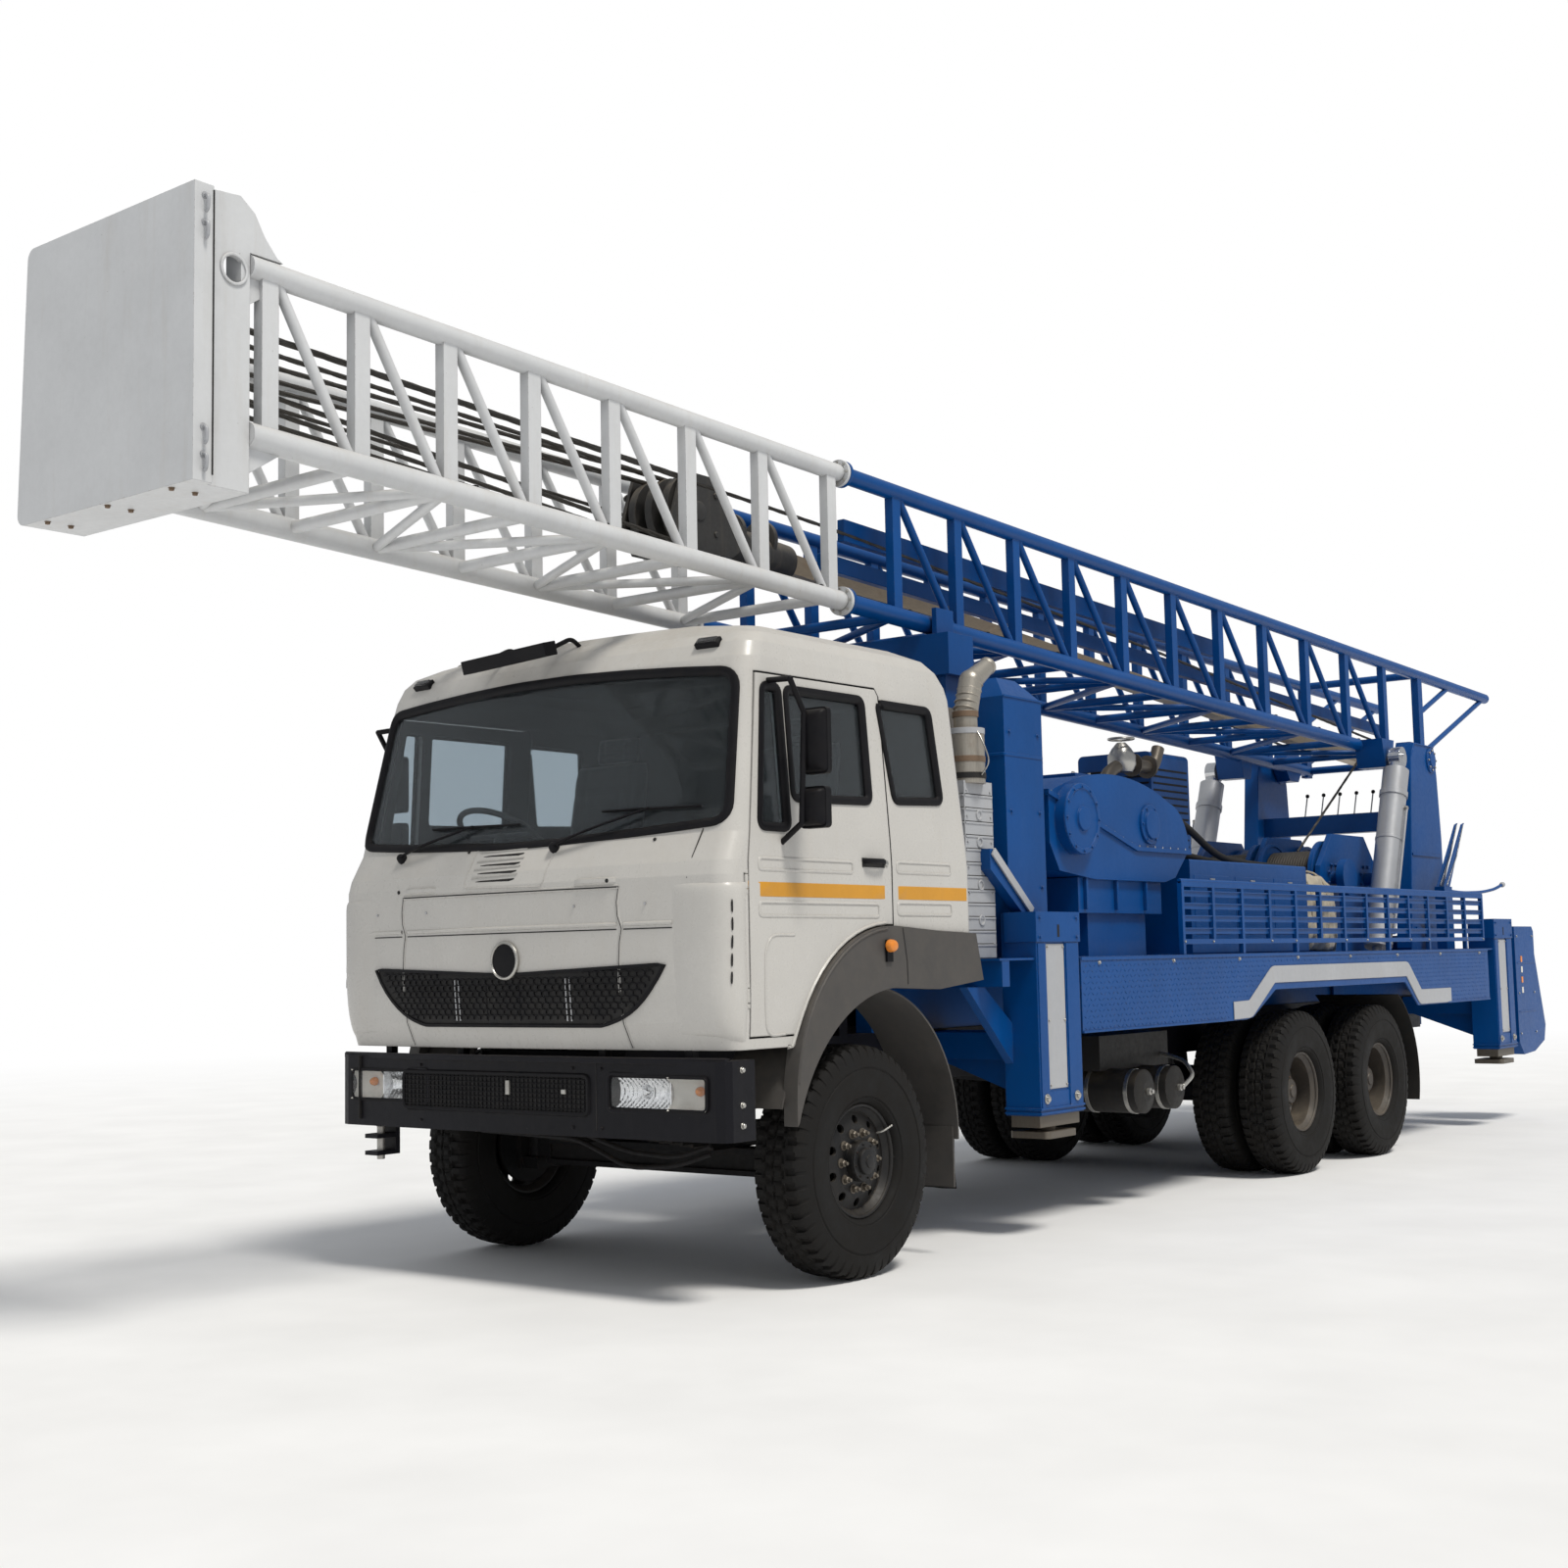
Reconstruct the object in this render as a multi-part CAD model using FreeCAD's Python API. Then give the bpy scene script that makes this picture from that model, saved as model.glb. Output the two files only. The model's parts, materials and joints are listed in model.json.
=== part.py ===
import FreeCAD, Part
import math
import os

# Truck-mounted rotary drilling rig, standing on its wheels with the mast laid down.
# Millimetres. The vehicle faces -Y, its left side is +X, the ground is z = 0.
# Stations along the vehicle (y in the code below) are counted from the middle of the cab's arch;
# the finished shapes are moved so that the origin is under the middle of the rig.

V = FreeCAD.Vector

# ---------------------------------------------------------------- driving dimensions
STATION_0 = -4000.0             # station 0 in the finished frame

# running gear
TYRE_R = 525.0
FRONT_TYRE_W = 280.0
REAR_TYRE_W = 275.0
RIM_R = 258.0                   # bead seat radius
FRONT_WHEEL_X = 1050.0          # centre plane of a front tyre
FRONT_WHEEL_Y = 55.0            # front axle, behind the origin of the stations
REAR_OUTER_X = 1082.0           # centre planes of the twin rear tyres
REAR_INNER_X = 762.0
REAR_AXLES = (4938.0, 6277.0)
KINGPIN_X = 890.0
SEAT = 0.3                      # gap of a piece seated on its neighbour
BEARING = 0.5                   # radial gap of a pin or shaft in its bore
ARM_Y, ARM_Z = 195.0, 440.0     # ball studs on the steering arms
MOVE_GAP = 8.0                  # gap round a door or other moving piece

# chassis
RAIL_X0, RAIL_X1 = 380.0, 460.0
RAIL_Z0, RAIL_Z1 = 780.0, 1050.0
RAIL_Y0, RAIL_Y1 = -760.0, 9130.0
RAIL_WALL = 10.0

# deck
DECK_HALF = 1240.0
DECK_Y0, DECK_Y1 = 1150.0, 9130.0
DECK_Z = 1425.0
DECK_T = 12.0
BEARER_H = 130.0
SKIRT_T = 10.0
SKIRT_Z0 = 1022.0
SKIRT_Y0, SKIRT_Y1 = 1950.0, 8520.0
ARCH_FOOT = (4039.0, 6969.0)    # wheel opening in the skirts, at its foot and its top
ARCH_TOP = (4398.0, 6717.0)
ARCH_Z = 1195.0
RAILING_Y0, RAILING_Y1 = 3190.0, 8500.0
RAILING_Z0, RAILING_Z1 = 1485.0, 1851.0
RAILING_BAYS = 13

# cab
CAB_HALF = 1220.0
CAB_FACE = -967.0                # front panel where it meets its rounded corners
CAB_BOW = 55.0                   # bulge of the front panel at the middle
CAB_REAR = 950.0
CAB_Z0, CAB_TOP = 1065.0, 2985.0
CAB_WALL = 45.0
CAB_FLOOR = 1625.0
FOOTWELL_Z = CAB_Z0 + CAB_WALL   # floor in front of the seats
CAB_UNDER = CAB_FLOOR - 60.0    # underside of the floor over the engine
FOOTWELL_Y = -500.0
TUNNEL_Z = 1520.0               # top of the cover over the engine's nose
ARCH_CENTRE = (220.0, 830.0)    # cab wheel arch, y and z
ARCH_R = 755.0
FLARE_X0, FLARE_X1 = CAB_HALF - 50.0, CAB_HALF + 25.0
FLARE_TOP = (280.0, 1583.0)     # where the flare's top edge turns down to the rear
FLARE_MID = (620.0, 1561.0)
FLARE_END = (930.0, 1550.0)
FLARE_TAIL = (988.0, 1322.0)     # its lowest point behind the arch
GLASS_T = 6.0
DOOR_Y0, DOOR_Y1 = -815.0, 258.0
DOOR_Z0 = CAB_Z0 + CAB_WALL
DOOR_HINGE = (CAB_HALF - 10.0, DOOR_Y0 - 6.0)   # x, y
HINGE_Z = (1260.0, 1740.0)      # foot of each door hinge
HINGE_H = 60.0
HINGE_R, HINGE_PIN_R = 12.0, 7.0
BUMPER_Z0, BUMPER_Z1 = 690.0, 1025.0
BUMPER_HALF = 1218.0
BUMPER_FRONT, BUMPER_BACK = -992.0, -850.0
BUMPER_RETURN = -790.0           # rear end of the bumper's side returns
LAMP_X = (572.0, 1120.0)         # headlamp openings
LAMP_Z = (812.0, 960.0)
TOW_JAW = (-980.0, -925.0)      # tow pin, x and y
TOW_R = 22.0

# columns behind the cab
COLUMN_X0, COLUMN_X1 = 790.0, 1040.0
COLUMN_Y0, COLUMN_Y1 = 1588.0, 1982.0
COLUMN_Z = 2810.0
CASING_X1 = 1050.0               # outer face of the casing under the silencer
COLUMN_HIP = 115.0              # height of a column's hipped top

# mast, lying down
MAST_HALF = 510.0               # chord centres
LOW_CHORD_R, TOP_CHORD_R = 50.0, 45.0
MAST_Y0 = -2750.0               # first panel point
MAST_LOW_Z0, MAST_LOW_SLOPE = 3403.0, -0.0315
MAST_TOP_Z0, MAST_TOP_SLOPE = 4044.0, -0.0219
BAY_FIRST, BAY_GROWTH = 440.0, 21.7
MAST_BAYS = 18
MAST_SPLIT_Y = 900.0            # flange between the upper and the lower mast
MAST_FOOT_Y = 9350.0
MAST_TIP_Y = 11080.0
POST_W, POST_D = 76.0, 50.0
BRACE_R = 22.0
CROSS_R = 28.0
CROWN_Y0, CROWN_Y1 = -3105.0, -2840.0
CROWN_SEAM_Y = -3022.0          # between the front plate and the side plates
CROWN_Z0, CROWN_Z1 = 3182.0, 4285.0
CROWN_HALF = 560.0
CROWN_SIDE = 530.0              # outer face of the side plates
SHEAVE_Y, SHEAVE_Z = -2955.0, 3780.0    # crown sheaves

KELLY_W = 110.0
BLOCK_Y, BLOCK_Z = 150.0, 3690.0
SWIVEL_LEN = 510.0

# mast pivot and hoist cylinders
PIVOT_Y, PIVOT_Z = 8950.0, 3000.0
PIN_R = 45.0
EYE_Y, EYE_Z = 8000.0, 2950.0
BASE_Y, BASE_Z = 7340.0, 1330.0
HOIST_X = 790.0
BARREL_R, ROD_R = 100.0, 62.0
BARREL_FOOT = 126.0             # base pin to the closed end of the barrel

# jacks
JACK_X0, JACK_X1 = 1045.0, 1250.0
JACK_LEN = 440.0
JACK_Y = (1490.0, 8690.0)       # front edge of each housing
JACK_Z0, JACK_Z1 = 620.0, 1655.0
JACK_WALL = 12.0
JACK_HEAD_Z = 1505.0             # underside of the head box
FOOT_Z = 500.0

# rotary table
TABLE_Y, TABLE_Z = 9400.0, 1320.0
TABLE_HALF = 330.0
TABLE_BORE = 130.0


# ---------------------------------------------------------------- helpers
def box(x0, x1, y0, y1, z0, z1):
    return Part.makeBox(x1 - x0, y1 - y0, z1 - z0, V(x0, y0, z0))


def rod(start, end, radius):
    start, end = V(*start), V(*end)
    return Part.makeCylinder(radius, (end - start).Length, start, end - start)


def x_disc(x0, x1, y, z, radius):
    return rod((x0, y, z), (x1, y, z), radius)


def fuse(pieces):
    return pieces[0].fuse(list(pieces[1:])) if len(pieces) > 1 else pieces[0]


def flip(shape):
    return shape.mirror(V(0, 0, 0), V(1, 0, 0))


def sign(value):
    return 1 if value > 0 else -1


def pair(shape):
    return [shape, flip(shape)]


def prism(edges, direction):
    return Part.Face(Part.Wire(edges)).extrude(direction)


def polygon(points):
    corners = [V(*p) for p in points]
    return [Part.makeLine(a, b) for a, b in zip(corners, corners[1:] + corners[:1])]


def yz_prism(points, x0, x1):
    return prism(polygon([(x0, y, z) for y, z in points]), V(x1 - x0, 0, 0))


def xz_prism(points, y0, y1):
    return prism(polygon([(x, y0, z) for x, z in points]), V(0, y1 - y0, 0))


def xy_prism(points, z0, z1):
    return prism(polygon([(x, y, z0) for x, y in points]), V(0, 0, z1 - z0))


def rounded(shape, radius, axis):
    edges = [e for e in shape.Edges if abs(e.tangentAt(e.FirstParameter).dot(axis)) > 0.999]
    return shape.makeFillet(radius, edges)


def x_ring(profile):
    """Turn a closed outline of (x, radius) points about the X axis."""
    face = Part.Face(Part.Wire(polygon([(x, 0, r) for x, r in profile])))
    return face.revolve(V(0, 0, 0), V(1, 0, 0), 360)


def beam(start, end, width, depth, side=V(1, 0, 0)):
    """A rectangular bar whose width runs along side."""
    start, end = V(*start), V(*end)
    run = end - start
    across = run.cross(side).normalize() * depth
    half = side * width
    corners = [start + half * i + across * j for i, j in ((-.5, -.5), (.5, -.5), (.5, .5), (-.5, .5))]
    return Part.Face(Part.makePolygon(corners + corners[:1])).extrude(run)


# ---------------------------------------------------------------- wheels
def tyre(x, width):
    half = width / 2
    shoulder, crown = 34.0, 12.0
    outline = [(-half + 46, RIM_R), (-half + 20, RIM_R + 22), (-half, RIM_R + 130),
               (-half + 8, TYRE_R - 70), (-half + shoulder, TYRE_R - crown), (-half + 80, TYRE_R)]
    outline += [(-a, r) for a, r in reversed(outline)]
    return x_ring([(x + a, r) for a, r in outline])


def rim(x, width, face_x, attach_x, bore):
    """One wheel: barrel with two flanges and a dished disc from attach_x to face_x."""
    half = width / 2 - 50
    seat = RIM_R - SEAT
    barrel = [(-half, seat), (-half, seat - 10), (-half + 30, seat - 38), (half - 30, seat - 38),
              (half, seat - 10), (half, seat), (half - 14, seat - 4), (half - 40, seat - 24),
              (-half + 40, seat - 24), (-half + 14, seat - 4)]
    shell = x_ring([(x + a, r) for a, r in barrel])
    disc = x_ring([(face_x - 6, bore), (face_x - 6, 150), (attach_x - 7, seat - 30),
                   (attach_x + 7, seat - 30), (face_x + 8, 156), (face_x + 8, bore)])
    return fuse([shell, disc])


def front_rim():
    bore = 50 + BEARING
    face_x = FRONT_WHEEL_X + 70
    wheel = rim(FRONT_WHEEL_X, FRONT_TYRE_W, face_x, face_x - 26, bore)
    hub = x_ring([(face_x - 58, bore), (face_x - 58, 92), (face_x + 44, 92), (face_x + 44, bore)])
    wheel = wheel.fuse(hub)
    cap = x_disc(FRONT_WHEEL_X + 110, FRONT_WHEEL_X + 136, 0, 0, 60)
    holes = []
    for i in range(10):
        angle = math.radians(36 * i + 18)
        y, z = 186 * math.cos(angle), 186 * math.sin(angle)
        holes.append(x_disc(FRONT_WHEEL_X, FRONT_WHEEL_X + 120, y, z, 20))
    return wheel.fuse(cap).cut(Part.makeCompound(holes))


def rear_rim():
    middle = (REAR_OUTER_X + REAR_INNER_X) / 2
    bore = 60 + BEARING
    outer = rim(REAR_OUTER_X, REAR_TYRE_W, middle + 8, REAR_OUTER_X - 62, bore)
    inner = rim(REAR_INNER_X, REAR_TYRE_W, middle - 10, REAR_INNER_X + 62, bore)
    hub = x_ring([(middle - 150, 60 + BEARING), (middle - 150, 150), (middle + 60, 150),
                  (middle + 60, 120), (middle + 160, 105), (middle + 160, 60 + BEARING)])
    cap = x_disc(middle + 155, middle + 178, 0, 0, 80)
    return fuse([outer, inner, hub, cap])


def at_axle(shape, y, height=TYRE_R):
    moved = shape.copy()
    moved.translate(V(0, y, height))
    return moved


# ---------------------------------------------------------------- axles and chassis
def knuckle():
    x = KINGPIN_X
    kingpin = rod((x, 0, TYRE_R - 125), (x, 0, TYRE_R + 125), 38)
    upper = box(x - 45, x + 62, -60, 60, TYRE_R + 66, TYRE_R + 125)
    lower = box(x - 45, x + 62, -60, 60, TYRE_R - 125, TYRE_R - 66)
    back = box(x + 60, x + 85, -75, 75, TYRE_R - 125, TYRE_R + 125)
    plate = x_disc(x + 80, x + 98, 0, TYRE_R, 200)
    spindle = x_disc(x + 90, FRONT_WHEEL_X + 100, 0, TYRE_R, 50)
    arm = box(x - 45, x, 55, ARM_Y + 25, ARM_Z - 40, ARM_Z)
    return fuse([kingpin, upper, lower, back, plate, spindle, arm])


def tie_rod():
    """Track rod between the two steering arms, with a ball stud over each."""
    x = KINGPIN_X - 22
    bar = rod((-x, ARM_Y, ARM_Z + 30), (x, ARM_Y, ARM_Z + 30), 18)
    studs = [rod((s * x, ARM_Y, ARM_Z + SEAT), (s * x, ARM_Y, ARM_Z + 48), 22) for s in (-1, 1)]
    return fuse([bar] + studs)


def front_axle():
    eye_r = 54
    web = box(-780, 780, -30, 30, TYRE_R - 95, TYRE_R + 20)
    top = box(-780, 780, -60, 60, TYRE_R + 5, TYRE_R + 35)
    bottom = box(-780, 780, -60, 60, TYRE_R - 95, TYRE_R - 70)
    pieces = [web, top, bottom]
    for side in (-1, 1):
        x = side * KINGPIN_X
        neck = box(min(side * 770, x), max(side * 770, x), -45, 45, TYRE_R - 60, TYRE_R + 35)
        eye = rod((x, 0, TYRE_R - 60), (x, 0, TYRE_R + 60), eye_r)
        bore = rod((x, 0, TYRE_R - 80), (x, 0, TYRE_R + 80), 38 + BEARING)
        pieces.append(fuse([neck, eye]).cut(bore))
    return fuse(pieces)


def rear_axles():
    solids = []
    for y in REAR_AXLES:
        casing = x_disc(-600, 600, y, TYRE_R, 78)
        bowl = x_disc(-120, 120, y, TYRE_R, 205)
        nose = rod((0, y - 330, TYRE_R + 40), (0, y, TYRE_R + 40), 80)
        spindle = x_disc(-1070, 1070, y, TYRE_R, 60)
        plates = [x_disc(s * 590, s * 612, y, TYRE_R, 205) for s in (-1, 1)]
        solids.append(fuse([casing, bowl, nose, spindle] + plates))
    return solids


def leaf_pack(x, y, z, length, leaves, width, upward):
    pieces = []
    for i in range(leaves):
        half = length / 2 * (1 - i / (leaves + 2))
        z0 = z + upward * 14 * i
        pieces.append(box(x - width / 2, x + width / 2, y - half, y + half, z0, z0 + 14))
    return fuse(pieces)


def leaf_springs():
    solids = []
    rail_x = (RAIL_X0 + RAIL_X1) / 2
    seat_z = TYRE_R + 35 + SEAT
    for side in (-1, 1):
        pack = leaf_pack(side * rail_x, FRONT_WHEEL_Y, seat_z + 98, 1450, 8, 80, -1)
        hangers = [box(side * rail_x - 30, side * rail_x + 30, y - 45, y + 45, seat_z + 105,
                       RAIL_Z0 - SEAT) for y in (FRONT_WHEEL_Y - 680, FRONT_WHEEL_Y + 680)]
        solids.append(fuse([pack] + hangers))
        middle = sum(REAR_AXLES) / 2
        seat = TYRE_R + 78 + SEAT
        pack = leaf_pack(side * 530, middle, seat, 1500, 7, 90, 1)
        trunnion = box(side * 530 - 44, side * 530 + 44, middle - 150, middle + 150, seat + 90,
                       seat + 150)
        inner = sorted((side * (RAIL_X1 + SEAT), side * 575))
        bracket = box(inner[0], inner[1], middle - 120, middle + 120, seat + 120, RAIL_Z1 - 60)
        solids.append(fuse([pack, trunnion, bracket]))
    return solids


def chassis_frame():
    pieces = []
    for side in (-1, 1):
        x0, x1 = sorted((side * RAIL_X0, side * RAIL_X1))
        web = side * RAIL_X1
        w0, w1 = sorted((web, web - side * RAIL_WALL))
        pieces.append(box(w0, w1, RAIL_Y0, RAIL_Y1, RAIL_Z0, RAIL_Z1))
        pieces.append(box(x0, x1, RAIL_Y0, RAIL_Y1, RAIL_Z0, RAIL_Z0 + RAIL_WALL))
        pieces.append(box(x0, x1, RAIL_Y0, RAIL_Y1, RAIL_Z1 - RAIL_WALL, RAIL_Z1))
    for y in (-700, 1750, 2900, 4150, 5450, 5750, 7200, 8300, 9000):
        pieces.append(box(-RAIL_X1 + 5, RAIL_X1 - 5, y - 40, y + 40, RAIL_Z1 - 90, RAIL_Z1 - 5))
    for side in (-1, 1):
        front = sorted((side * 425, side * RAIL_X1))
        pieces.append(box(front[0], front[1], RAIL_Y0, RAIL_Y0 + 80, RAIL_Z1 - 5, CAB_Z0 - SEAT))
        x0, x1 = sorted((side * RAIL_X0, side * RAIL_X1))
        pieces.append(box(x0, x1, 850, 920, RAIL_Z1 - 5, CAB_UNDER - SEAT))
    return fuse(pieces)


def engine():
    block = box(-320, 320, -420, 780, 880, 1470)
    sump = box(-200, 200, -300, 600, 700, 880)
    gearbox = xz_prism([(-180, 780), (180, 780), (230, 1080), (120, 1180), (-120, 1180), (-230, 1080)],
                       780, 1600)
    shaft = rod((0, 1590, 880), (0, REAR_AXLES[0] - 336, TYRE_R + 40), 50)
    radiator = box(-340, 340, -640, -520, 800, 1460)
    hoses = [rod((x, -525, 1330), (x, -415, 1330), 35) for x in (-180, 180)]
    return fuse([block, sump, gearbox, shaft, radiator] + hoses)


def tanks():
    top = RAIL_Z0 + 230
    fuel = rounded(box(-1130, -560, 2250, 3450, 560, 1000), 70, V(0, 1, 0))
    straps = [box(-1135, -555, y - 25, y + 25, 555, 1005).cut(box(-1130, -560, 0, 4000, 560, 1000))
              for y in (2550, 3150)]
    bracket = box(-560, -RAIL_X1 - SEAT, 2500, 3200, 800, 980)
    solids = [fuse([fuel, bracket] + straps)]
    for y in (2890, 3275):
        tank = x_disc(560, 1080, y, 655, 125)
        ends = [Part.makeSphere(300, V(x, y, 655)).common(x_disc(510, 1130, y, 655, 125))
                for x in (560 + 275, 1080 - 275)]
        solids.append(fuse([tank] + ends))
    hanger = box(RAIL_X1 + SEAT, 900, 2760, 3610, 770, 970)
    plate = box(RAIL_X1 + SEAT, RAIL_X1 + 20, 2700, 3450, 790, top)
    bank = fuse([solids[1], solids[2], hanger, plate])
    return [solids[0], bank]


# ---------------------------------------------------------------- cab
def cab_section(z, face, half, rear, corner, inset):
    """Plan outline of the cab at height z, drawn inset from the outer skin."""
    half -= inset
    face += inset
    rear -= inset
    corner = max(corner - inset, 30)
    inner = half - corner
    k = corner * (1 - math.sqrt(0.5))
    points = {
        "a": V(-inner, face, z), "mid": V(0, face - CAB_BOW, z), "b": V(inner, face, z),
        "bc": V(half - k, face + k * 1.08, z), "c": V(half, face + corner, z),
        "d": V(half, rear - 60, z), "de": V(half - 18, rear - 18, z), "e": V(half - 60, rear, z),
        "f": V(-half + 60, rear, z), "fg": V(-half + 18, rear - 18, z), "g": V(-half, rear - 60, z),
        "h": V(-half, face + corner, z), "ha": V(-half + k, face + k * 1.08, z)}

    def arc(i, j, m):
        return Part.Arc(points[i], points[j], points[m]).toShape()

    def line(i, j):
        return Part.makeLine(points[i], points[j])

    return Part.Wire([arc("a", "mid", "b"), arc("b", "bc", "c"), line("c", "d"),
                      arc("d", "de", "e"), line("e", "f"), arc("f", "fg", "g"), line("g", "h"),
                      arc("h", "ha", "a")])


def cab_body(inset):
    """Outer form of the cab, or the same form drawn in by inset."""
    face, half, rear = CAB_FACE, CAB_HALF, CAB_REAR
    sides = [(CAB_Z0 + inset, face + 49, half - 12, rear, 80), (1180, face + 17, half - 4, rear, 80),
             (1340, face + 2, half, rear, 80), (1800, face, half, rear, 80),
             (1860, face + 16, half, rear, 84), (1985, face + 78, half - 6, rear - 6, 95),
             (2700, face + 232, half - 58, rear - 50, 100)]
    roof = [(CAB_TOP - 225, face + 248, half - 65, rear - 70, 100),
            (CAB_TOP - 155, face + 280, half - 78, rear - 126, 104),
            (CAB_TOP - 105, face + 328, half - 102, rear - 205, 110),
            (CAB_TOP - 60, face + 410, half - 190, rear - 360, 120),
            (CAB_TOP - 25, face + 450, half - 450, rear - 520, 130),
            (CAB_TOP, face + 560, half - 820, rear - 700, 140)]
    sections = [cab_section(*s, inset) for s in sides]
    sections += [cab_section(s[0] - inset, *s[1:], inset) for s in roof]
    return Part.makeLoft(sections, True, True)


def arch_cutter(radius, x0, x1):
    """Space of a front wheel arch in the side of the cab."""
    y, z = ARCH_CENTRE
    drum = x_disc(x0, x1, y, z, radius)
    behind = box(x0, x1, y, CAB_REAR + 100, z, CAB_Z0 + 330)
    return fuse([drum, behind])


def flare_block():
    """Side of the cab that the rear half of the arch flare covers."""
    y, z = FLARE_END
    return yz_prism([(FLARE_TOP[0] - 5, 1000), FLARE_TOP, (FLARE_MID[0], FLARE_MID[1] + SEAT), (y, z + SEAT),
                     (y + 80, z - 20), (y + 80, 1000)], FLARE_X0 - SEAT, 1400)


QUARTER_LIGHT = [(-712, 2020), (-520, 2020), (-520, 2620), (-625, 2620)]
DOOR_WINDOW = [(-455, 2150), (105, 2165), (105, 2625), (-455, 2620)]
SLEEPER_WINDOW = [(325, 2180), (705, 2195), (665, 2620), (250, 2620)]
SCREEN_LOW = (1150.0, 2034.0, 1992.0)    # half width, height at the ends and in the middle
SCREEN_TOP = (1094.0, 2688.0, 2733.0)


def window_block(outline, margin, x0, x1):
    centre_y = sum(p[0] for p in outline) / len(outline)
    centre_z = sum(p[1] for p in outline) / len(outline)
    grown = []
    for y, z in outline:
        grown.append((y + margin * sign(y - centre_y), z + margin * sign(z - centre_z)))
    return rounded(yz_prism(grown, x0, x1), 35, V(1, 0, 0))


def door_block(gap):
    cut_y, cut_z = ARCH_CENTRE
    outline = [(DOOR_Y0 + gap, DOOR_Z0 + gap), (DOOR_Y0 + gap, 1860), (-672 + gap, 2690 - gap),
               (DOOR_Y1 - 30, 2700 - gap), (DOOR_Y1 - gap, 2660), (DOOR_Y1 - gap, DOOR_Z0 + gap)]
    slab = yz_prism(outline, 900, 1400)
    arch = x_disc(900, 1400, cut_y, cut_z, ARCH_R + gap)
    return slab.cut(arch)


def door_hinges():
    """Notches in the pillar, the lugs with their pins, and the leaves of the left door."""
    x, y = DOOR_HINGE
    notches, lugs, leaves = [], [], []
    for z0 in HINGE_Z:
        z1 = z0 + HINGE_H
        notches.append(box(x - 60, x + 40, y - 22, y + 12, z0 - 6, z1 + 6))
        for foot in (z0 - 22, z1 + 3):
            plate = box(x - 50, x, y - 26, y + 6, foot, foot + 19)
            lugs += [plate, rod((x, y, foot), (x, y, foot + 19), HINGE_R)]
        lugs.append(rod((x, y, z0 - 20), (x, y, z1 + 20), HINGE_PIN_R))
        knuckle_tube = rod((x, y, z0), (x, y, z1), HINGE_R).fuse(box(x - 40, x - 3, y - 4, y + 24, z0, z1))
        leaves.append(knuckle_tube.cut(rod((x, y, z0 - 1), (x, y, z1 + 1), HINGE_PIN_R + BEARING)))
    return notches, lugs, leaves


def cab_parts():
    outer = cab_body(0)
    hollow = cab_body(CAB_WALL)
    room = hollow.common(box(-1300, 1300, -1300, 1300, CAB_FLOOR, CAB_TOP + 50))
    well = hollow.common(box(-1300, 1300, -1300, FOOTWELL_Y, FOOTWELL_Z, CAB_FLOOR + 5))
    shell = outer.cut(fuse([room, well]))
    for x0, x1 in ((600, 1400), (-1400, -600)):
        shell = shell.cut(arch_cutter(ARCH_R + SEAT, x0, x1))
    tunnel = box(-600, 600, FOOTWELL_Y + 45, CAB_REAR + 60, CAB_Z0 - 60, CAB_UNDER)
    nose = box(-420, 420, -860, FOOTWELL_Y + 60, CAB_Z0 - 60, 1480)
    tunnel_skin = box(-460, 460, -930, FOOTWELL_Y, FOOTWELL_Z - 20, TUNNEL_Z).common(outer)
    shell = shell.fuse(tunnel_skin).cut(tunnel).cut(nose)
    rear_cut = box(-1400, 1400, 500, CAB_REAR + 100, CAB_Z0 - 60, 1395)
    shell = shell.cut(rear_cut)
    for block in pair(flare_block()):
        shell = shell.cut(block)
    shell = shell.cut(screen_block(0))
    left = door_block(0).cut(cab_body(CAB_WALL + MOVE_GAP))
    panel = outer.cut(hollow).common(door_block(MOVE_GAP)).cut(window_block(QUARTER_LIGHT, 0, 900, 1400))
    panel = panel.cut(window_block(DOOR_WINDOW, 0, 900, 1400))
    for side in (left, flip(left)):
        shell = shell.cut(side)
    opening = window_block(SLEEPER_WINDOW, 0, 900, 1400)
    shell = shell.cut(opening).cut(flip(opening))
    notches, lugs, leaves = door_hinges()
    shell = shell.cut(notches + [flip(n) for n in notches])
    shell = shell.fuse(lugs + [flip(p) for p in lugs])
    panel = panel.fuse(leaves)

    pane_skin = cab_body(14).cut(cab_body(14 + GLASS_T))
    fit = -SEAT
    front_pane = pane_skin.common(screen_block(fit))
    side_pane = pane_skin.common(window_block(SLEEPER_WINDOW, fit, 900, 1400))
    door_panes = [pane_skin.common(window_block(w, fit, 900, 1400)) for w in (QUARTER_LIGHT, DOOR_WINDOW)]
    return shell, [front_pane] + pair(side_pane), panel, door_panes


def screen_block(margin):
    """Windscreen opening, or with a margin below zero its pane, as a bar along the vehicle."""
    low, low_end, low_mid = SCREEN_LOW[0] + margin, SCREEN_LOW[1] - margin, SCREEN_LOW[2] - margin
    top, top_end, top_mid = SCREEN_TOP[0] + margin, SCREEN_TOP[1] + margin, SCREEN_TOP[2] + margin
    y = -1300
    edges = [Part.Arc(V(-low, y, low_end), V(0, y, low_mid), V(low, y, low_end)).toShape(),
             Part.makeLine(V(low, y, low_end), V(top, y, top_end)),
             Part.Arc(V(top, y, top_end), V(0, y, top_mid), V(-top, y, top_end)).toShape(),
             Part.makeLine(V(-top, y, top_end), V(-low, y, low_end))]
    return rounded(prism(edges, V(0, 800, 0)), 80, V(0, 1, 0))


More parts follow.
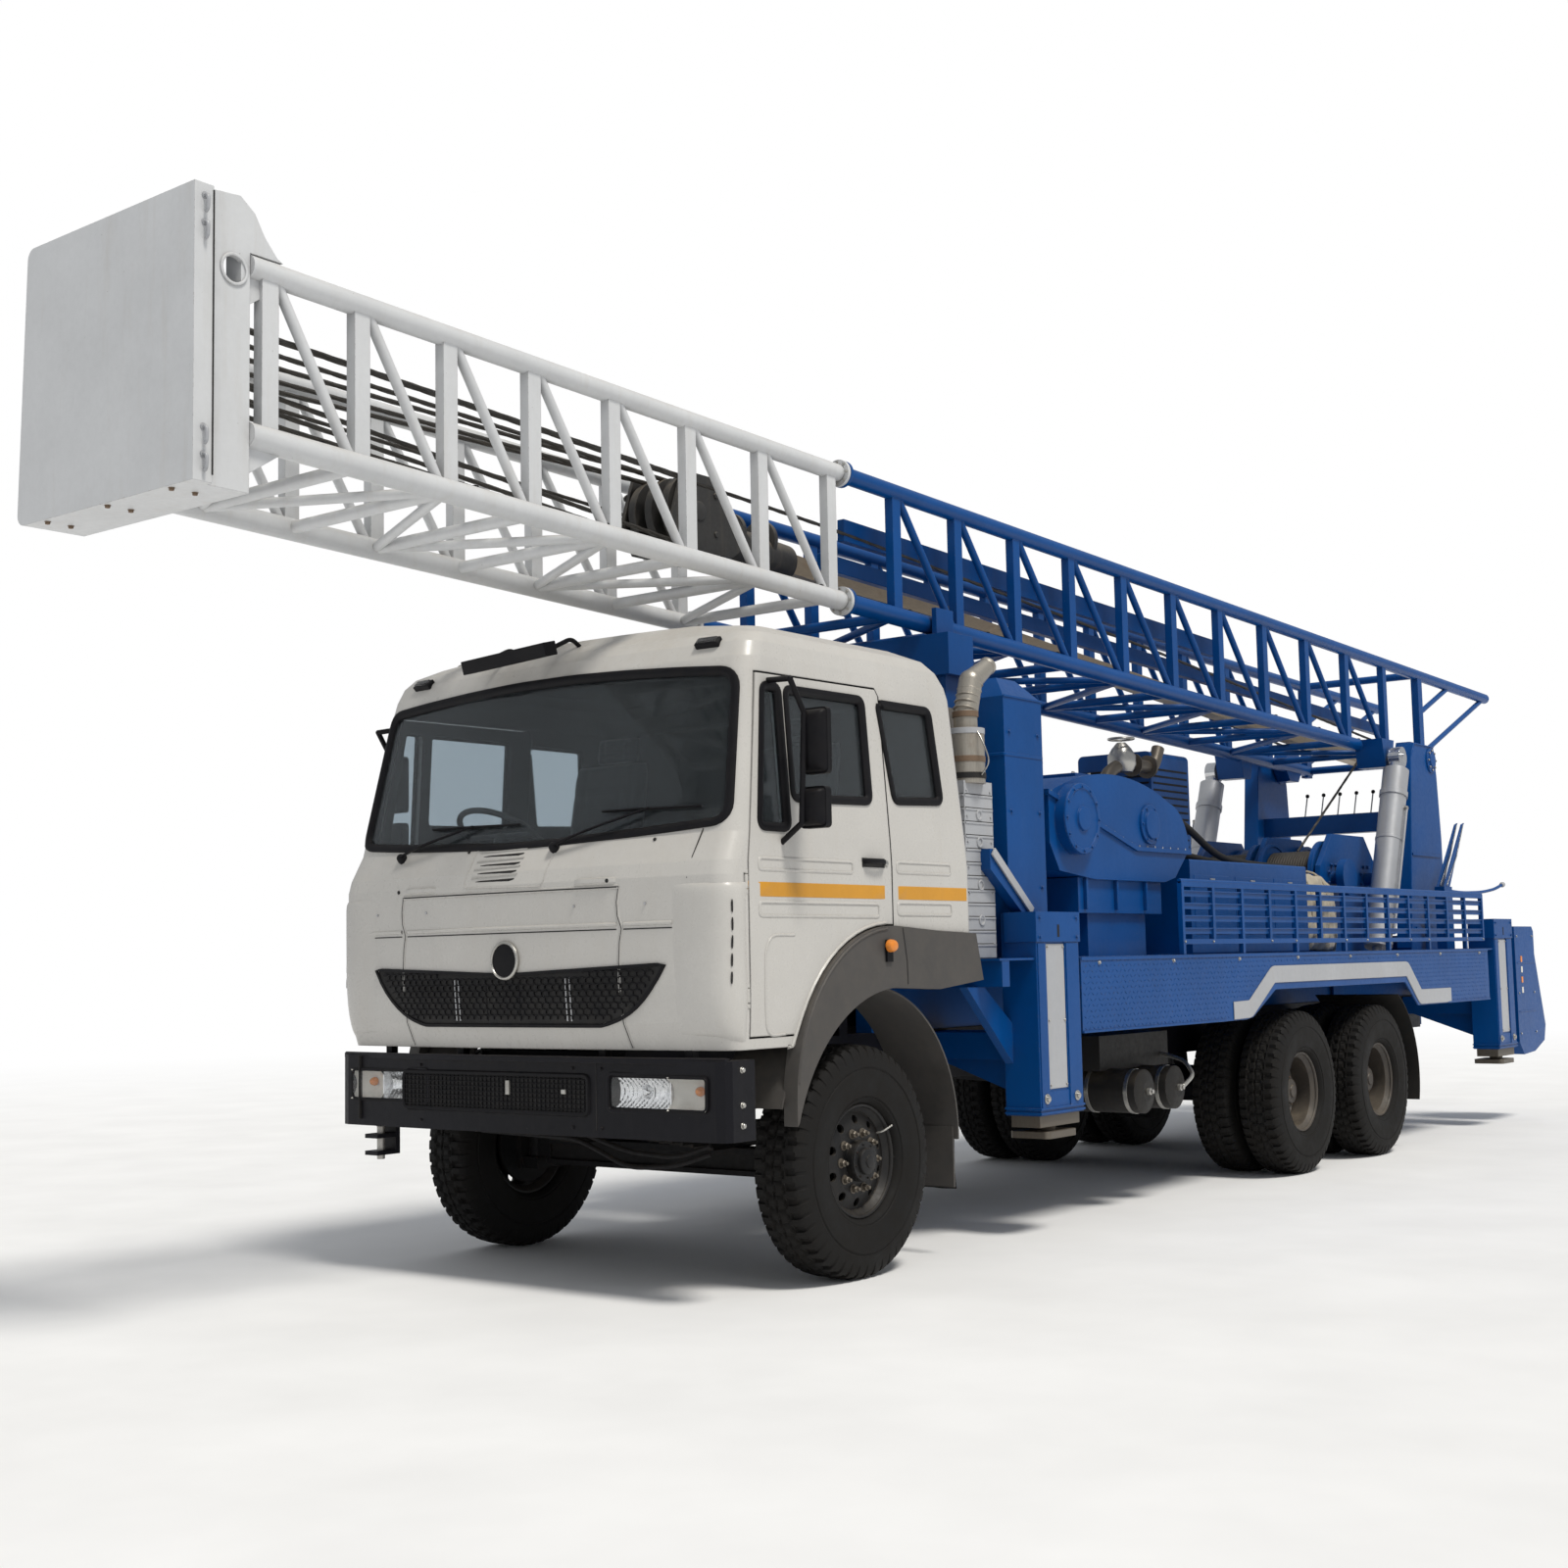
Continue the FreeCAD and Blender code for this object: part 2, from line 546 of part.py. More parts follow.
def front_bumper():
    """Bumper with side returns, openings for the headlamps, stays and a tow jaw."""
    y0, y1, end = BUMPER_FRONT, BUMPER_BACK, BUMPER_RETURN
    half, wall = BUMPER_HALF, 60
    left = [(half - wall, y1), (half - wall, end), (half, end), (half, y0 + 55), (half - 18, y0 + 30),
            (half - 60, y0 + 16), (600, y0)]
    bar = xy_prism(left + [(-x, y) for x, y in reversed(left)], BUMPER_Z0, BUMPER_Z1)
    for side in (-1, 1):
        bar = bar.cut(lamp_block(side, 0))
    jaw_x, jaw_y = TOW_JAW
    ears = [box(jaw_x - 45, jaw_x + 45, jaw_y - 60, jaw_y + 60, z, z + 20)
            for z in (BUMPER_Z0 - 140, BUMPER_Z0 - 60)]
    web = box(jaw_x - 45, jaw_x + 45, jaw_y + 55, jaw_y + 80, BUMPER_Z0 - 140, BUMPER_Z0 + 5)
    jaw = fuse(ears + [web]).cut(rod((jaw_x, jaw_y, 400), (jaw_x, jaw_y, BUMPER_Z0 - 5), TOW_R))
    stays = [box(min(s * 385, s * 455), max(s * 385, s * 455), y1 - 5, RAIL_Y0 - SEAT, 800, 1000)
             for s in (-1, 1)]
    return fuse([bar, jaw] + stays)


def lamp_block(side, inset):
    x0, x1 = sorted((side * (LAMP_X[0] + inset), side * (LAMP_X[1] - inset)))
    opening = box(x0, x1, BUMPER_FRONT - 60, BUMPER_FRONT + 95 - inset, LAMP_Z[0] + inset, LAMP_Z[1] - inset)
    return rounded(opening, 22, V(0, 1, 0))


def lamps():
    solids = []
    y0 = BUMPER_FRONT + 5
    for side in (-1, 1):
        x0, x1, x2 = side * LAMP_X[0], side * 980, side * LAMP_X[1]
        outline = [(x0, y0), (x1, y0 + 10), (x2, y0 + 16), (x2, y0 + 180), (x0, y0 + 180)]
        body = xy_prism(outline, LAMP_Z[0] - 10, LAMP_Z[1] + 10).common(lamp_block(side, SEAT))
        solids.append(body)
    for side in (-1, 1):
        x0, x1 = sorted((side * 965, side * 1215))
        solids.append(box(x0, x1, LAMP_BOX_Y1 + SEAT, LAMP_BOX_Y1 + 32, 1380, 1520))
    return solids


def mudguards():
    """Arch flare, inner liner and mud flap of each front wheel."""
    y, z = ARCH_CENTRE
    x = FLARE_X0
    rise = FLARE_TOP[0] - y
    top = V(x, FLARE_TOP[0], z + math.sqrt(ARCH_R ** 2 - rise ** 2))
    middle, end, tail = V(x, *FLARE_MID), V(x, *FLARE_END), V(x, *FLARE_TAIL)
    outer_arc = Part.Arc(V(x, y - ARCH_R, z), V(x, y - ARCH_R * 0.7071, z + ARCH_R * 0.7071), top)
    inner_arc = Part.Arc(V(x, 220, 1300), V(x, -255, 1118), V(x, -522, 740))
    edges = [Part.makeLine(V(x, -534, 725), V(x, y - ARCH_R, 745)),
             Part.makeLine(V(x, y - ARCH_R, 745), V(x, y - ARCH_R, z)), outer_arc.toShape(),
             Part.makeLine(top, middle), Part.makeLine(middle, end), Part.makeLine(end, tail),
             Part.makeLine(tail, V(x, 600, 1285)),
             Part.makeLine(V(x, 600, 1285), V(x, 220, 1300)), inner_arc.toShape(),
             Part.makeLine(V(x, -522, 740), V(x, -534, 725))]
    flare = prism(edges, V(FLARE_X1 - FLARE_X0, 0, 0))
    cy, cz, radius, skin = 120.0, 600.0, 710.0, 10.0
    ring = x_disc(830, x + 8, cy, cz, radius).cut(x_disc(800, x + 30, cy, cz, radius - skin))
    keep = box(700, 1300, -900, 1000, 800, 1400)
    keep = keep.fuse(box(700, 1300, cy + 200, 1000, 560, 900))
    liner = ring.common(keep)
    flap = box(860, 1150, 816, 828, 330, 620)
    return pair(fuse([flare, liner, flap]))


def dashboard():
    """Dash panel with the steering column and wheel on the right-hand side."""
    desk = yz_prism([(-860, 1700), (-560, 1690), (-520, 1800), (-540, 1960), (-800, 1985)], -1150, 1150)
    desk = desk.common(cab_body(CAB_WALL + 12))
    console = box(-190, 190, -800, -600, TUNNEL_Z + SEAT, 1720)
    hub, lower = V(-620, -455, 2075), V(-620, -600, 1840)
    column = rod(tuple(lower), tuple(hub), 30)
    axis = (hub - lower).normalize()
    wheel = Part.makeTorus(225, 15, hub, axis)
    spokes = [rod((hub.x - 215, hub.y, hub.z), (hub.x + 215, hub.y, hub.z), 13)]
    return fuse([desk, console, column, wheel] + spokes)


def seats():
    solids = []
    for x in (-620, 620):
        cushion = rounded(box(x - 260, x + 260, -230, 260, 1840, 1960), 40, V(0, 1, 0))
        back = yz_prism([(225, 1950), (340, 2500), (430, 2480), (345, 1940)], x - 240, x + 240)
        head = yz_prism([(345, 2500), (365, 2640), (450, 2625), (430, 2480)], x - 130, x + 130)
        base = box(x - 180, x + 180, -150, 200, CAB_FLOOR + SEAT, 1842)
        solids.append(fuse([cushion, back, head, base]))
    bunk = box(-1120, 1120, 470, 860, CAB_FLOOR + SEAT, 2000)
    solids.append(bunk)
    return solids


def mirrors():
    """Two mirror heads on a bent arm that is clamped to the door."""
    x = 1330.0
    arm = [(1100, -560, 2660), (x, -640, 2640), (x, -545, 2500), (x, -575, 2020), (1150, -560, 1905)]
    pieces = [rod(a, b, 13) for a, b in zip(arm, arm[1:])]
    pieces += [Part.makeSphere(13, V(*p)) for p in arm[1:-1]]
    main = rounded(box(x - 40, x + 90, -500, -470, 2235, 2525), 20, V(0, 1, 0))
    wide = rounded(box(x - 50, x + 90, -520, -480, 2000, 2180), 20, V(0, 1, 0))
    lug_a = rod((x, -550, 2400), (x, -490, 2400), 12)
    lug_b = rod((x, -570, 2090), (x, -500, 2090), 12)
    return fuse(pieces + [main, wide, lug_a, lug_b]).cut(cab_body(-SEAT))


# ---------------------------------------------------------------- deck
def deck():
    pieces = [box(-DECK_HALF, DECK_HALF, DECK_Y0, DECK_Y1, DECK_Z - DECK_T, DECK_Z)]
    low = DECK_Z - DECK_T
    for side in (-1, 1):
        x0, x1 = sorted((side * 350, side * 450))
        pieces.append(box(x0, x1, DECK_Y0, DECK_Y1, RAIL_Z1 + SEAT, low + 2))
    stations = [DECK_Y0 + 60, 2300, 3100, 3900, 4700, 5500, 6300, 7100, 7900, DECK_Y1 - 60]
    for y in stations:
        pieces.append(box(-DECK_HALF + 2, DECK_HALF - 2, y - 35, y + 35, low - BEARER_H, low + 2))
    body = fuse(pieces)
    for y in JACK_Y:
        for notch in pair(box(JACK_X0 - SEAT, JACK_X1 + 20, y - SEAT, y + JACK_LEN + SEAT, 900, 1500)):
            body = body.cut(notch)
    for slot in pair(box(HOIST_X - 112, HOIST_X + 112, BASE_Y - 110, BASE_Y + 210, DECK_Z - 20, DECK_Z + 5)):
        body = body.cut(slot)
    return body


def side_skirts():
    panel = yz_prism([(SKIRT_Y0, DECK_Z - 3), (SKIRT_Y0, SKIRT_Z0), (ARCH_FOOT[0] - 60, SKIRT_Z0),
                      (ARCH_FOOT[0] + 40, SKIRT_Z0 + 12), (ARCH_TOP[0] + 30, ARCH_Z),
                      (ARCH_TOP[1] - 30, ARCH_Z),
                      (ARCH_FOOT[1] - 40, SKIRT_Z0), (SKIRT_Y1, SKIRT_Z0), (SKIRT_Y1, DECK_Z - 3)],
                     DECK_HALF + SEAT, DECK_HALF + SEAT + SKIRT_T)
    return pair(panel)


def side_railings():
    x0, x1 = DECK_HALF - 30, DECK_HALF
    pieces = [box(x0, x1, RAILING_Y0, RAILING_Y1, z, z + 30) for z in (RAILING_Z0, RAILING_Z1 - 30)]
    pitch = (RAILING_Y1 - RAILING_Y0 - 30) / RAILING_BAYS
    for i in range(RAILING_BAYS + 1):
        y = RAILING_Y0 + pitch * i
        foot = DECK_Z + SEAT if i % 2 == 0 else RAILING_Z0
        pieces.append(box(x0, x1, y, y + 30, foot, RAILING_Z1))
    for i in range(1, 5):
        z = RAILING_Z0 + (RAILING_Z1 - RAILING_Z0) * i / 5
        pieces.append(box(x0 + 12, x0 + 18, RAILING_Y0 + 5, RAILING_Y1 - 5, z - 14, z + 22))
    return pair(fuse(pieces))


def jack_housings():
    """Four jack legs' housings, each with a head box and a plate pocket; a brace ahead of the front ones."""
    solids = []
    for y in JACK_Y:
        y1 = y + JACK_LEN
        outer = box(JACK_X0, JACK_X1, y, y1, JACK_Z0, JACK_Z1)
        head = box(JACK_X0 + 20, JACK_X1 + 8, y - 6, y1 + 8, JACK_HEAD_Z, JACK_Z1 + 6)
        inner = box(JACK_X0 + JACK_WALL, JACK_X1 - JACK_WALL, y + JACK_WALL, y1 - JACK_WALL,
                    JACK_Z0 - 10, JACK_Z1 - JACK_WALL)
        pocket = box(JACK_X1 - 5, JACK_X1 + 5, y + 95, y + 290, JACK_HEAD_Z - 765, JACK_HEAD_Z)
        beam_in = box(RAIL_X1 + SEAT, JACK_X0 + 5, y + 60, y1 - 60, 900, 1040)
        gusset = xz_prism([(RAIL_X1 + 15, 905), (JACK_X0 + 5, 905), (JACK_X0 + 5, 700)], y + 180, y + 220)
        pieces = [outer, head, beam_in, gusset]
        if y == JACK_Y[0]:
            low = DECK_Z - DECK_T - BEARER_H - SEAT
            pieces.append(yz_prism([(y - 420, low), (y - 260, low), (y + 5, 1090), (y + 5, 880)],
                                   JACK_X0 + 2, JACK_X0 + 50))
        solids += pair(fuse(pieces).cut(inner).cut(pocket))
    return solids


def jack_leg(y):
    gap = 6.0
    y1 = y + JACK_LEN
    inset = JACK_WALL + gap
    leg = box(JACK_X0 + inset, JACK_X1 - inset, y + inset, y1 - inset, FOOT_Z + 60, JACK_Z1 - 100)
    middle = ((JACK_X0 + JACK_X1) / 2, y + JACK_LEN / 2)
    stem = rod((middle[0], middle[1], FOOT_Z + 30), (middle[0], middle[1], FOOT_Z + 70), 50)
    foot = rounded(box(JACK_X0 - 30, JACK_X1, middle[1] - 150, middle[1] + 150, FOOT_Z, FOOT_Z + 35),
                   30, V(0, 0, 1))
    pad = JACK_WALL + SEAT
    collar = box(JACK_X0 + pad, JACK_X1 - pad, y + pad, y1 - pad, JACK_Z1 - 190, JACK_Z1 - 110)
    return fuse([leg, stem, foot, collar])


def mast_rest():
    """Portal that carries the mast behind the cab, between two tall columns."""
    base = box(-COLUMN_X1, COLUMN_X1, COLUMN_Y0, COLUMN_Y1, DECK_Z + SEAT, DECK_Z + 90)
    top = low_chord_z(1600) - LOW_CHORD_R - 22
    bridge = box(-700, 700, 1600, 1850, top - 230, top)
    pieces = [base, bridge]
    for side in (-1, 1):
        x0, x1 = sorted((side * 450, side * 650))
        pieces.append(box(x0, x1, 1640, 1830, DECK_Z + 80, top - 225))
        a0, a1 = sorted((side * (MAST_HALF + LOW_CHORD_R + 12), side * (MAST_HALF + LOW_CHORD_R + 42)))
        pieces.append(box(a0, a1, 1640, 1810, top - 10, top + 150))
        x0, x1 = sorted((side * COLUMN_X0, side * COLUMN_X1))
        column = box(x0, x1, COLUMN_Y0, COLUMN_Y1, DECK_Z + SEAT, COLUMN_Z)
        rings = []
        for z, inset in ((COLUMN_Z, 0), (COLUMN_Z + COLUMN_HIP, 100)):
            corners = [V(x0 + inset, COLUMN_Y0 + inset, z), V(x1 - inset, COLUMN_Y0 + inset, z),
                       V(x1 - inset, COLUMN_Y1 - inset, z), V(x0 + inset, COLUMN_Y1 - inset, z)]
            rings.append(Part.makePolygon(corners + corners[:1]))
        hip = Part.makeLoft(rings, True, True)
        foot = JACK_Z1 + 6 + SEAT
        s0, s1 = sorted((side * (COLUMN_X1 - 5), side * (CASING_X1 + 10)))
        pieces.append(box(s0, s1, COLUMN_Y0 + 10, COLUMN_Y0 + 150, foot, foot + 110))
        s0, s1 = sorted((side * (CASING_X1 + SEAT), side * (COLUMN_X1 + 70)))
        pieces.append(yz_prism([(1300, 1880), (1300, 1985), (1345, 1985), (1780, foot), (1600, foot)], s0, s1))
        pieces += [column, hip]
    return fuse(pieces)


def mud_pump():
    """Pump casing: rounded hood, split flange, sump and pedestal."""
    x0, x1 = 330.0, 1000.0
    hood = [Part.Arc(V(x0, 2110, 2330), V(x0, 2560, 2450), V(x0, 3560, 2340)).toShape(),
            Part.Arc(V(x0, 3560, 2340), V(x0, 3740, 2230), V(x0, 3800, 2050)).toShape()]
    hood.append(Part.makeLine(V(x0, 3800, 2050), V(x0, 3110, 2050)))
    hood.append(Part.makeLine(V(x0, 3110, 2050), V(x0, 2100, 2330)))
    hood.append(Part.makeLine(V(x0, 2100, 2330), V(x0, 2110, 2330)))
    cover = prism(hood, V(x1 - x0, 0, 0))
    sump = yz_prism([(2100, 2330), (3110, 2050), (3780, 2050), (3600, 1890), (3460, 1860), (2600, 1860),
                     (2200, 1900), (2100, 2050)], x0, x1)
    flange = yz_prism([(2080, 2345), (3105, 2062), (3800, 2062), (3800, 2036), (3100, 2036), (2080, 2318)],
                      x0 - 15, x1 + 15)
    boss = x_disc(x0 - 50, x1 + 60, 2360, 2190, 200)
    base = box(x0 + 30, x1 - 30, 2450, 3460, 1670, 1870)
    plinth = box(x0 + 60, x1 - 60, 2600, 3300, DECK_Z + SEAT, 1675)
    return fuse([cover, sump, flange, boss, base, plinth])


def power_pack():
    """Deck engine under a hood with its radiator, on the right of the deck."""
    skid = box(-1150, 150, 2050, 5600, DECK_Z + SEAT, DECK_Z + 120)
    hood = rounded(box(-1080, -320, 2700, 4550, DECK_Z + 110, 2450), 60, V(0, 1, 0))
    radiator = box(-1130, -270, 2150, 2500, DECK_Z + 110, 2480)
    duct = box(-980, -420, 2490, 2710, 1700, 2300)
    gear = box(-1000, -400, 4540, 5300, DECK_Z + 110, 2150)
    stack = rod((-700, 3600, 2440), (-700, 3600, 2950), 60)
    cooler = rounded(box(-420, 150, 5000, 5580, DECK_Z + 110, 2840), 40, V(0, 1, 0))
    return fuse([skid, hood, radiator, duct, gear, stack, cooler])


def tool_box():
    return rounded(box(330, 950, 3900, 5700, DECK_Z + SEAT, 2015), 12, V(0, 1, 0))


def tarpaulin():
    bundle = rounded(box(350, 930, 5720, 6420, DECK_Z + SEAT, 2060), 90, V(1, 0, 0))
    return bundle


def drawworks():
    """Two winch drums on one frame."""
    frames = []
    for x in (-560, -40, 480):
        frames.append(yz_prism([(6900, DECK_Z + 60), (7000, 2080), (7250, 2330), (7900, 2330), (8150, 2080),
                                (8250, DECK_Z + 60)], x, x + 40))
    skid = box(-600, 560, 6850, 8300, DECK_Z + SEAT, DECK_Z + 70)
    pieces = frames + [skid]
    for y in (7250, 7900):
        shaft = x_disc(-640, 600, y, 1990, 50)
        core = x_disc(-525, 485, y, 1990, 150)
        discs = [x_disc(x, x + 25, y, 1990, 285) for x in (-500, -85, 20, 435)]
        pieces += [shaft, core] + discs
    motor = x_disc(595, 655, 7250, 1990, 140)
    pieces.append(motor)
    return fuse(pieces)


def exhaust_stack():
    """Silencer, elbow and horn tip on a tall sheet-metal casing behind the left corner of the cab."""
    x, y = 1010.0, 1260.0
    casing = box(x - 150, CASING_X1, 1162, 1430, DECK_Z + SEAT, 2330)
    back = box(x - 150, x - 110, 1162, 1430, 2320, 2730)
    can = rod((x, y, 2320), (x, y, 2600), 95)
    strap = box(x - 115, x, 1300, 1330, 2440, 2500)
    neck = rod((x, y, 2590), (x, y, 2680), 62)
    elbow = rod((x, y, 2665), (x, y + 60, 2860), 62)
    knee = Part.makeSphere(62, V(x, y + 60, 2860))
    tip = Part.makeCone(60, 44, 200, V(x, y + 60, 2860), V(0, 190, 110))
    return fuse([casing, back, can, strap, neck, elbow, knee, tip])


# ---------------------------------------------------------------- rear of the rig
LAMP_BOX_Y0, LAMP_BOX_Y1 = 9292.0, 9800.0


def rear_frame():
    """A-posts that carry the mast pin, their ties and the rotary table's bearers."""
    pieces = []
    for side in (-1, 1):
        x0, x1 = sorted((side * 610, side * 720))
        top = PIVOT_Z + 115
        post = yz_prism([(8300, DECK_Z + SEAT), (8480, top - 130), (8570, top), (9035, top), (9080, top - 240),
                         (9125, 2350), (9125, DECK_Z + SEAT)], x0, x1)
        post = post.cut(x_disc(x0 - 5, x1 + 5, PIVOT_Y, PIVOT_Z, PIN_R + BEARING))
        pieces.append(post)
    pieces.append(box(-615, 615, 8560, 8700, 2410, 2570))
    pieces.append(box(-615, 615, 8700, 8900, DECK_Z + SEAT, DECK_Z + 120))
    posts = fuse(pieces)
    arms = []
    for side in (-1, 1):
        x0, x1 = sorted((side * 200, side * 340))
        arms.append(box(x0, x1, RAIL_Y1 + SEAT, 9520, 1060, TABLE_Z - 130))
    cross = box(-950 + SEAT, 950 - SEAT, 9400, 9520, 1060, TABLE_Z - 130)
    back = box(-460, 460, RAIL_Y1 + SEAT, RAIL_Y1 + 30, 800, TABLE_Z - 130)
    bed = box(-TABLE_HALF, TABLE_HALF, RAIL_Y1 + SEAT, TABLE_Y + 300, TABLE_Z - 132, TABLE_Z - 100)
    ring = rod((0, TABLE_Y, TABLE_Z - 105), (0, TABLE_Y, TABLE_Z - 40), 260)
    bore = rod((0, TABLE_Y, TABLE_Z - 400), (0, TABLE_Y, TABLE_Z), TABLE_BORE)
    carrier = fuse(arms + [cross, back, bed, ring]).cut(bore)
    stand = box(860, 940, 8500, 8680, DECK_Z + SEAT, 1930)
    blades = []
    for y, x in ((8505, 872), (8545, 912)):
        blades.append(yz_prism([(y, 1925), (y + 130, 1925), (y + 520, 2440), (y + 560, 2470), (y + 500, 2455)],
                               x, x + 12))
    return [posts, carrier, fuse([stand] + blades)]


def rotary_table():
    disc = rod((0, TABLE_Y, TABLE_Z - 40 + SEAT), (0, TABLE_Y, TABLE_Z), 240)
    collar = rod((0, TABLE_Y, TABLE_Z - 90), (0, TABLE_Y, TABLE_Z), TABLE_BORE - 2)
    square = box(-65, 65, TABLE_Y - 65, TABLE_Y + 65, TABLE_Z - 100, TABLE_Z + 10)
    return fuse([disc, collar]).cut(square)


def rear_lamp_boxes():
    outline = [(LAMP_BOX_Y0, 650), (LAMP_BOX_Y0 + 110, 545), (LAMP_BOX_Y0 + 400, 560),
               (LAMP_BOX_Y1 + 160, 640), (LAMP_BOX_Y1 + 210, 770), (LAMP_BOX_Y1, 1370), (LAMP_BOX_Y1, 1560),
               (LAMP_BOX_Y1 - 40, 1602), (LAMP_BOX_Y0, 1602)]
    return pair(yz_prism(outline, 950, 1225))


# ---------------------------------------------------------------- mast
def low_chord_z(y):
    return MAST_LOW_Z0 + MAST_LOW_SLOPE * (y - MAST_Y0)


def top_chord_z(y):
    return MAST_TOP_Z0 + MAST_TOP_SLOPE * (y - MAST_Y0)


def panel_y(i):
    return MAST_Y0 + BAY_FIRST * i + BAY_GROWTH * i * (i - 1) / 2


def lattice(first, last, y0, y1):
    """Chords from y0 to y1 with the posts and braces of the panels between."""
    pieces = []
    for side in (-1, 1):
        x = side * MAST_HALF
        pieces.append(rod((x, y0, low_chord_z(y0)), (x, y1, low_chord_z(y1)), LOW_CHORD_R))
        pieces.append(rod((x, y0, top_chord_z(y0)), (x, y1, top_chord_z(y1)), TOP_CHORD_R))
        for i in range(first, last + 1):
            y = panel_y(i)
            pieces.append(box(x - POST_D / 2, x + POST_D / 2, y - POST_W / 2, y + POST_W / 2,
                              low_chord_z(y), top_chord_z(y)))
        for i in range(first, last):
            a, b = panel_y(i) + 30, panel_y(i + 1) - 30
            pieces.append(rod((x, a, top_chord_z(a)), (x, b, low_chord_z(b)), BRACE_R))
    for i in range(first, last + 1):
        y = panel_y(i)
        pieces.append(rod((-MAST_HALF, y, low_chord_z(y)), (MAST_HALF, y, low_chord_z(y)), CROSS_R))
    for i in range(first, last):
        a, b = panel_y(i), panel_y(i + 1)
        side = MAST_HALF if i % 2 == 0 else -MAST_HALF
        pieces.append(rod((side, a, low_chord_z(a)), (-side, b, low_chord_z(b)), BRACE_R))
    return pieces


def split_index():
    return max(i for i in range(MAST_BAYS) if panel_y(i) < MAST_SPLIT_Y)


def mast_upper():
    y0 = CROWN_Y1 + SEAT
    pieces = lattice(0, split_index(), CROWN_Y1 + 2, MAST_SPLIT_Y - SEAT / 2)
    for x in (-MAST_HALF, MAST_HALF):
        for z in (low_chord_z(y0), top_chord_z(y0)):
            pieces.append(yz_prism([(y0, z - 30), (y0, z - 150), (y0 + 180, z - 30)], x - 8, x + 8))
    return fuse(pieces)


def mast_lower():
    n = split_index()
    pieces = lattice(n + 1, MAST_BAYS, MAST_SPLIT_Y + SEAT / 2, MAST_FOOT_Y)
    for side in (-1, 1):
        x = side * MAST_HALF
        foot, tip = MAST_FOOT_Y, MAST_TIP_Y
        pieces.append(rod((x, foot, top_chord_z(foot)), (x, tip, top_chord_z(tip)), TOP_CHORD_R))
        pieces.append(box(x - 30, x + 30, foot - 100, foot, low_chord_z(foot) - 60, top_chord_z(foot)))
        pieces.append(rod((x, foot - 40, low_chord_z(foot) + 60), (x, tip - 30, top_chord_z(tip)), BRACE_R))
        pieces.append(rod((x, foot - 40, low_chord_z(foot) + 420), (x, 10130, top_chord_z(10130)), BRACE_R))
        p0, p1 = sorted((side * (MAST_HALF - 20), side * 720))
        pieces.append(x_disc(p0, p1, PIVOT_Y, PIVOT_Z, PIN_R))
        c0, c1 = sorted((side * (MAST_HALF - 30), side * 600))
        cheek = yz_prism([(PIVOT_Y - 190, low_chord_z(PIVOT_Y)), (PIVOT_Y - 90, PIVOT_Z - 90),
                          (PIVOT_Y + 90, PIVOT_Z - 90), (PIVOT_Y + 190, low_chord_z(PIVOT_Y)),
                          (PIVOT_Y + 120, PIVOT_Z + 160), (PIVOT_Y - 120, PIVOT_Z + 160)], c0, c1)
        pieces.append(cheek)
        l0, l1 = sorted((side * (MAST_HALF - 20), side * (HOIST_X - 70)))
        lug = yz_prism([(EYE_Y - 130, low_chord_z(EYE_Y) + 40), (EYE_Y - 70, EYE_Z - 70),
                        (EYE_Y + 70, EYE_Z - 70), (EYE_Y + 130, low_chord_z(EYE_Y) + 40)], l0, l1)
        pieces.append(lug)
    for z in (low_chord_z(MAST_FOOT_Y - 50), top_chord_z(MAST_FOOT_Y - 50)):
        pieces.append(rod((-MAST_HALF, MAST_FOOT_Y - 50, z), (MAST_HALF, MAST_FOOT_Y - 50, z), BRACE_R + 10))
    return fuse(pieces)


def crown_head():
    """Crown box: front pan, narrower side plates with a stepped shoulder, floor, roof and sheaves."""
    low, top, rear = CROWN_Z0, CROWN_Z1, CROWN_Y1
    pan = xz_prism([(-CROWN_HALF - 14, low), (CROWN_HALF, low), (CROWN_HALF, top), (-CROWN_HALF + 36, top)],
                   CROWN_Y0, CROWN_SEAM_Y)
    far = [e for e in pan.Edges if e.Vertexes[0].X < 0 and abs(e.tangentAt(e.FirstParameter).y) > 0.999]
    pieces = [pan.makeFillet(45, far)]
    side = CROWN_SIDE
    shoulder_z = top_chord_z(rear) + TOP_CHORD_R + 1
    outline = [(CROWN_SEAM_Y - 5, low), (rear, low), (rear, shoulder_z), (rear + 150, shoulder_z),
               (rear + 125, shoulder_z + 12), (rear + 68, top - 116), (rear + 22, top - 36),
               (rear - 43, top + 14),
               (CROWN_SEAM_Y - 5, top)]
    pieces.append(box(-side, side, CROWN_SEAM_Y - 5, rear, low, low + 20))
    pieces.append(box(-side, side, CROWN_SEAM_Y - 5, rear - 60, top - 20, top))
    for x in (-side, side - 16):
        plate = yz_prism(outline, x, x + 16)
        pieces.append(plate.cut(x_disc(x - 5, x + 21, rear - 72, 4011, 49)))
    for hand in (-1, 1):
        x0, x1 = sorted((hand * 440, hand * side))
        pieces.append(box(x0, x1, rear - 40, rear, low + 15, top - 60))
    pieces.append(x_disc(-side + 5, side - 5, SHEAVE_Y, SHEAVE_Z, 45))
    for x in (-330, -170, -10, 150, 310):
        pieces.append(x_disc(x, x + 40, SHEAVE_Y, SHEAVE_Z, 118))
    return fuse(pieces)


def kelly_line():
    """Start, direction and length of the kelly, which rests on the last cross tube of the mast."""
    start = V(0, BLOCK_Y + 900, BLOCK_Z - 110)
    rest_y = panel_y(MAST_BAYS)
    rest_z = low_chord_z(rest_y) + CROSS_R + SEAT + KELLY_W / 2 * 1.002
    along = (V(0, rest_y, rest_z) - start).normalize()
    return start, along, (MAST_FOOT_Y - 130 - start.y) / along.y


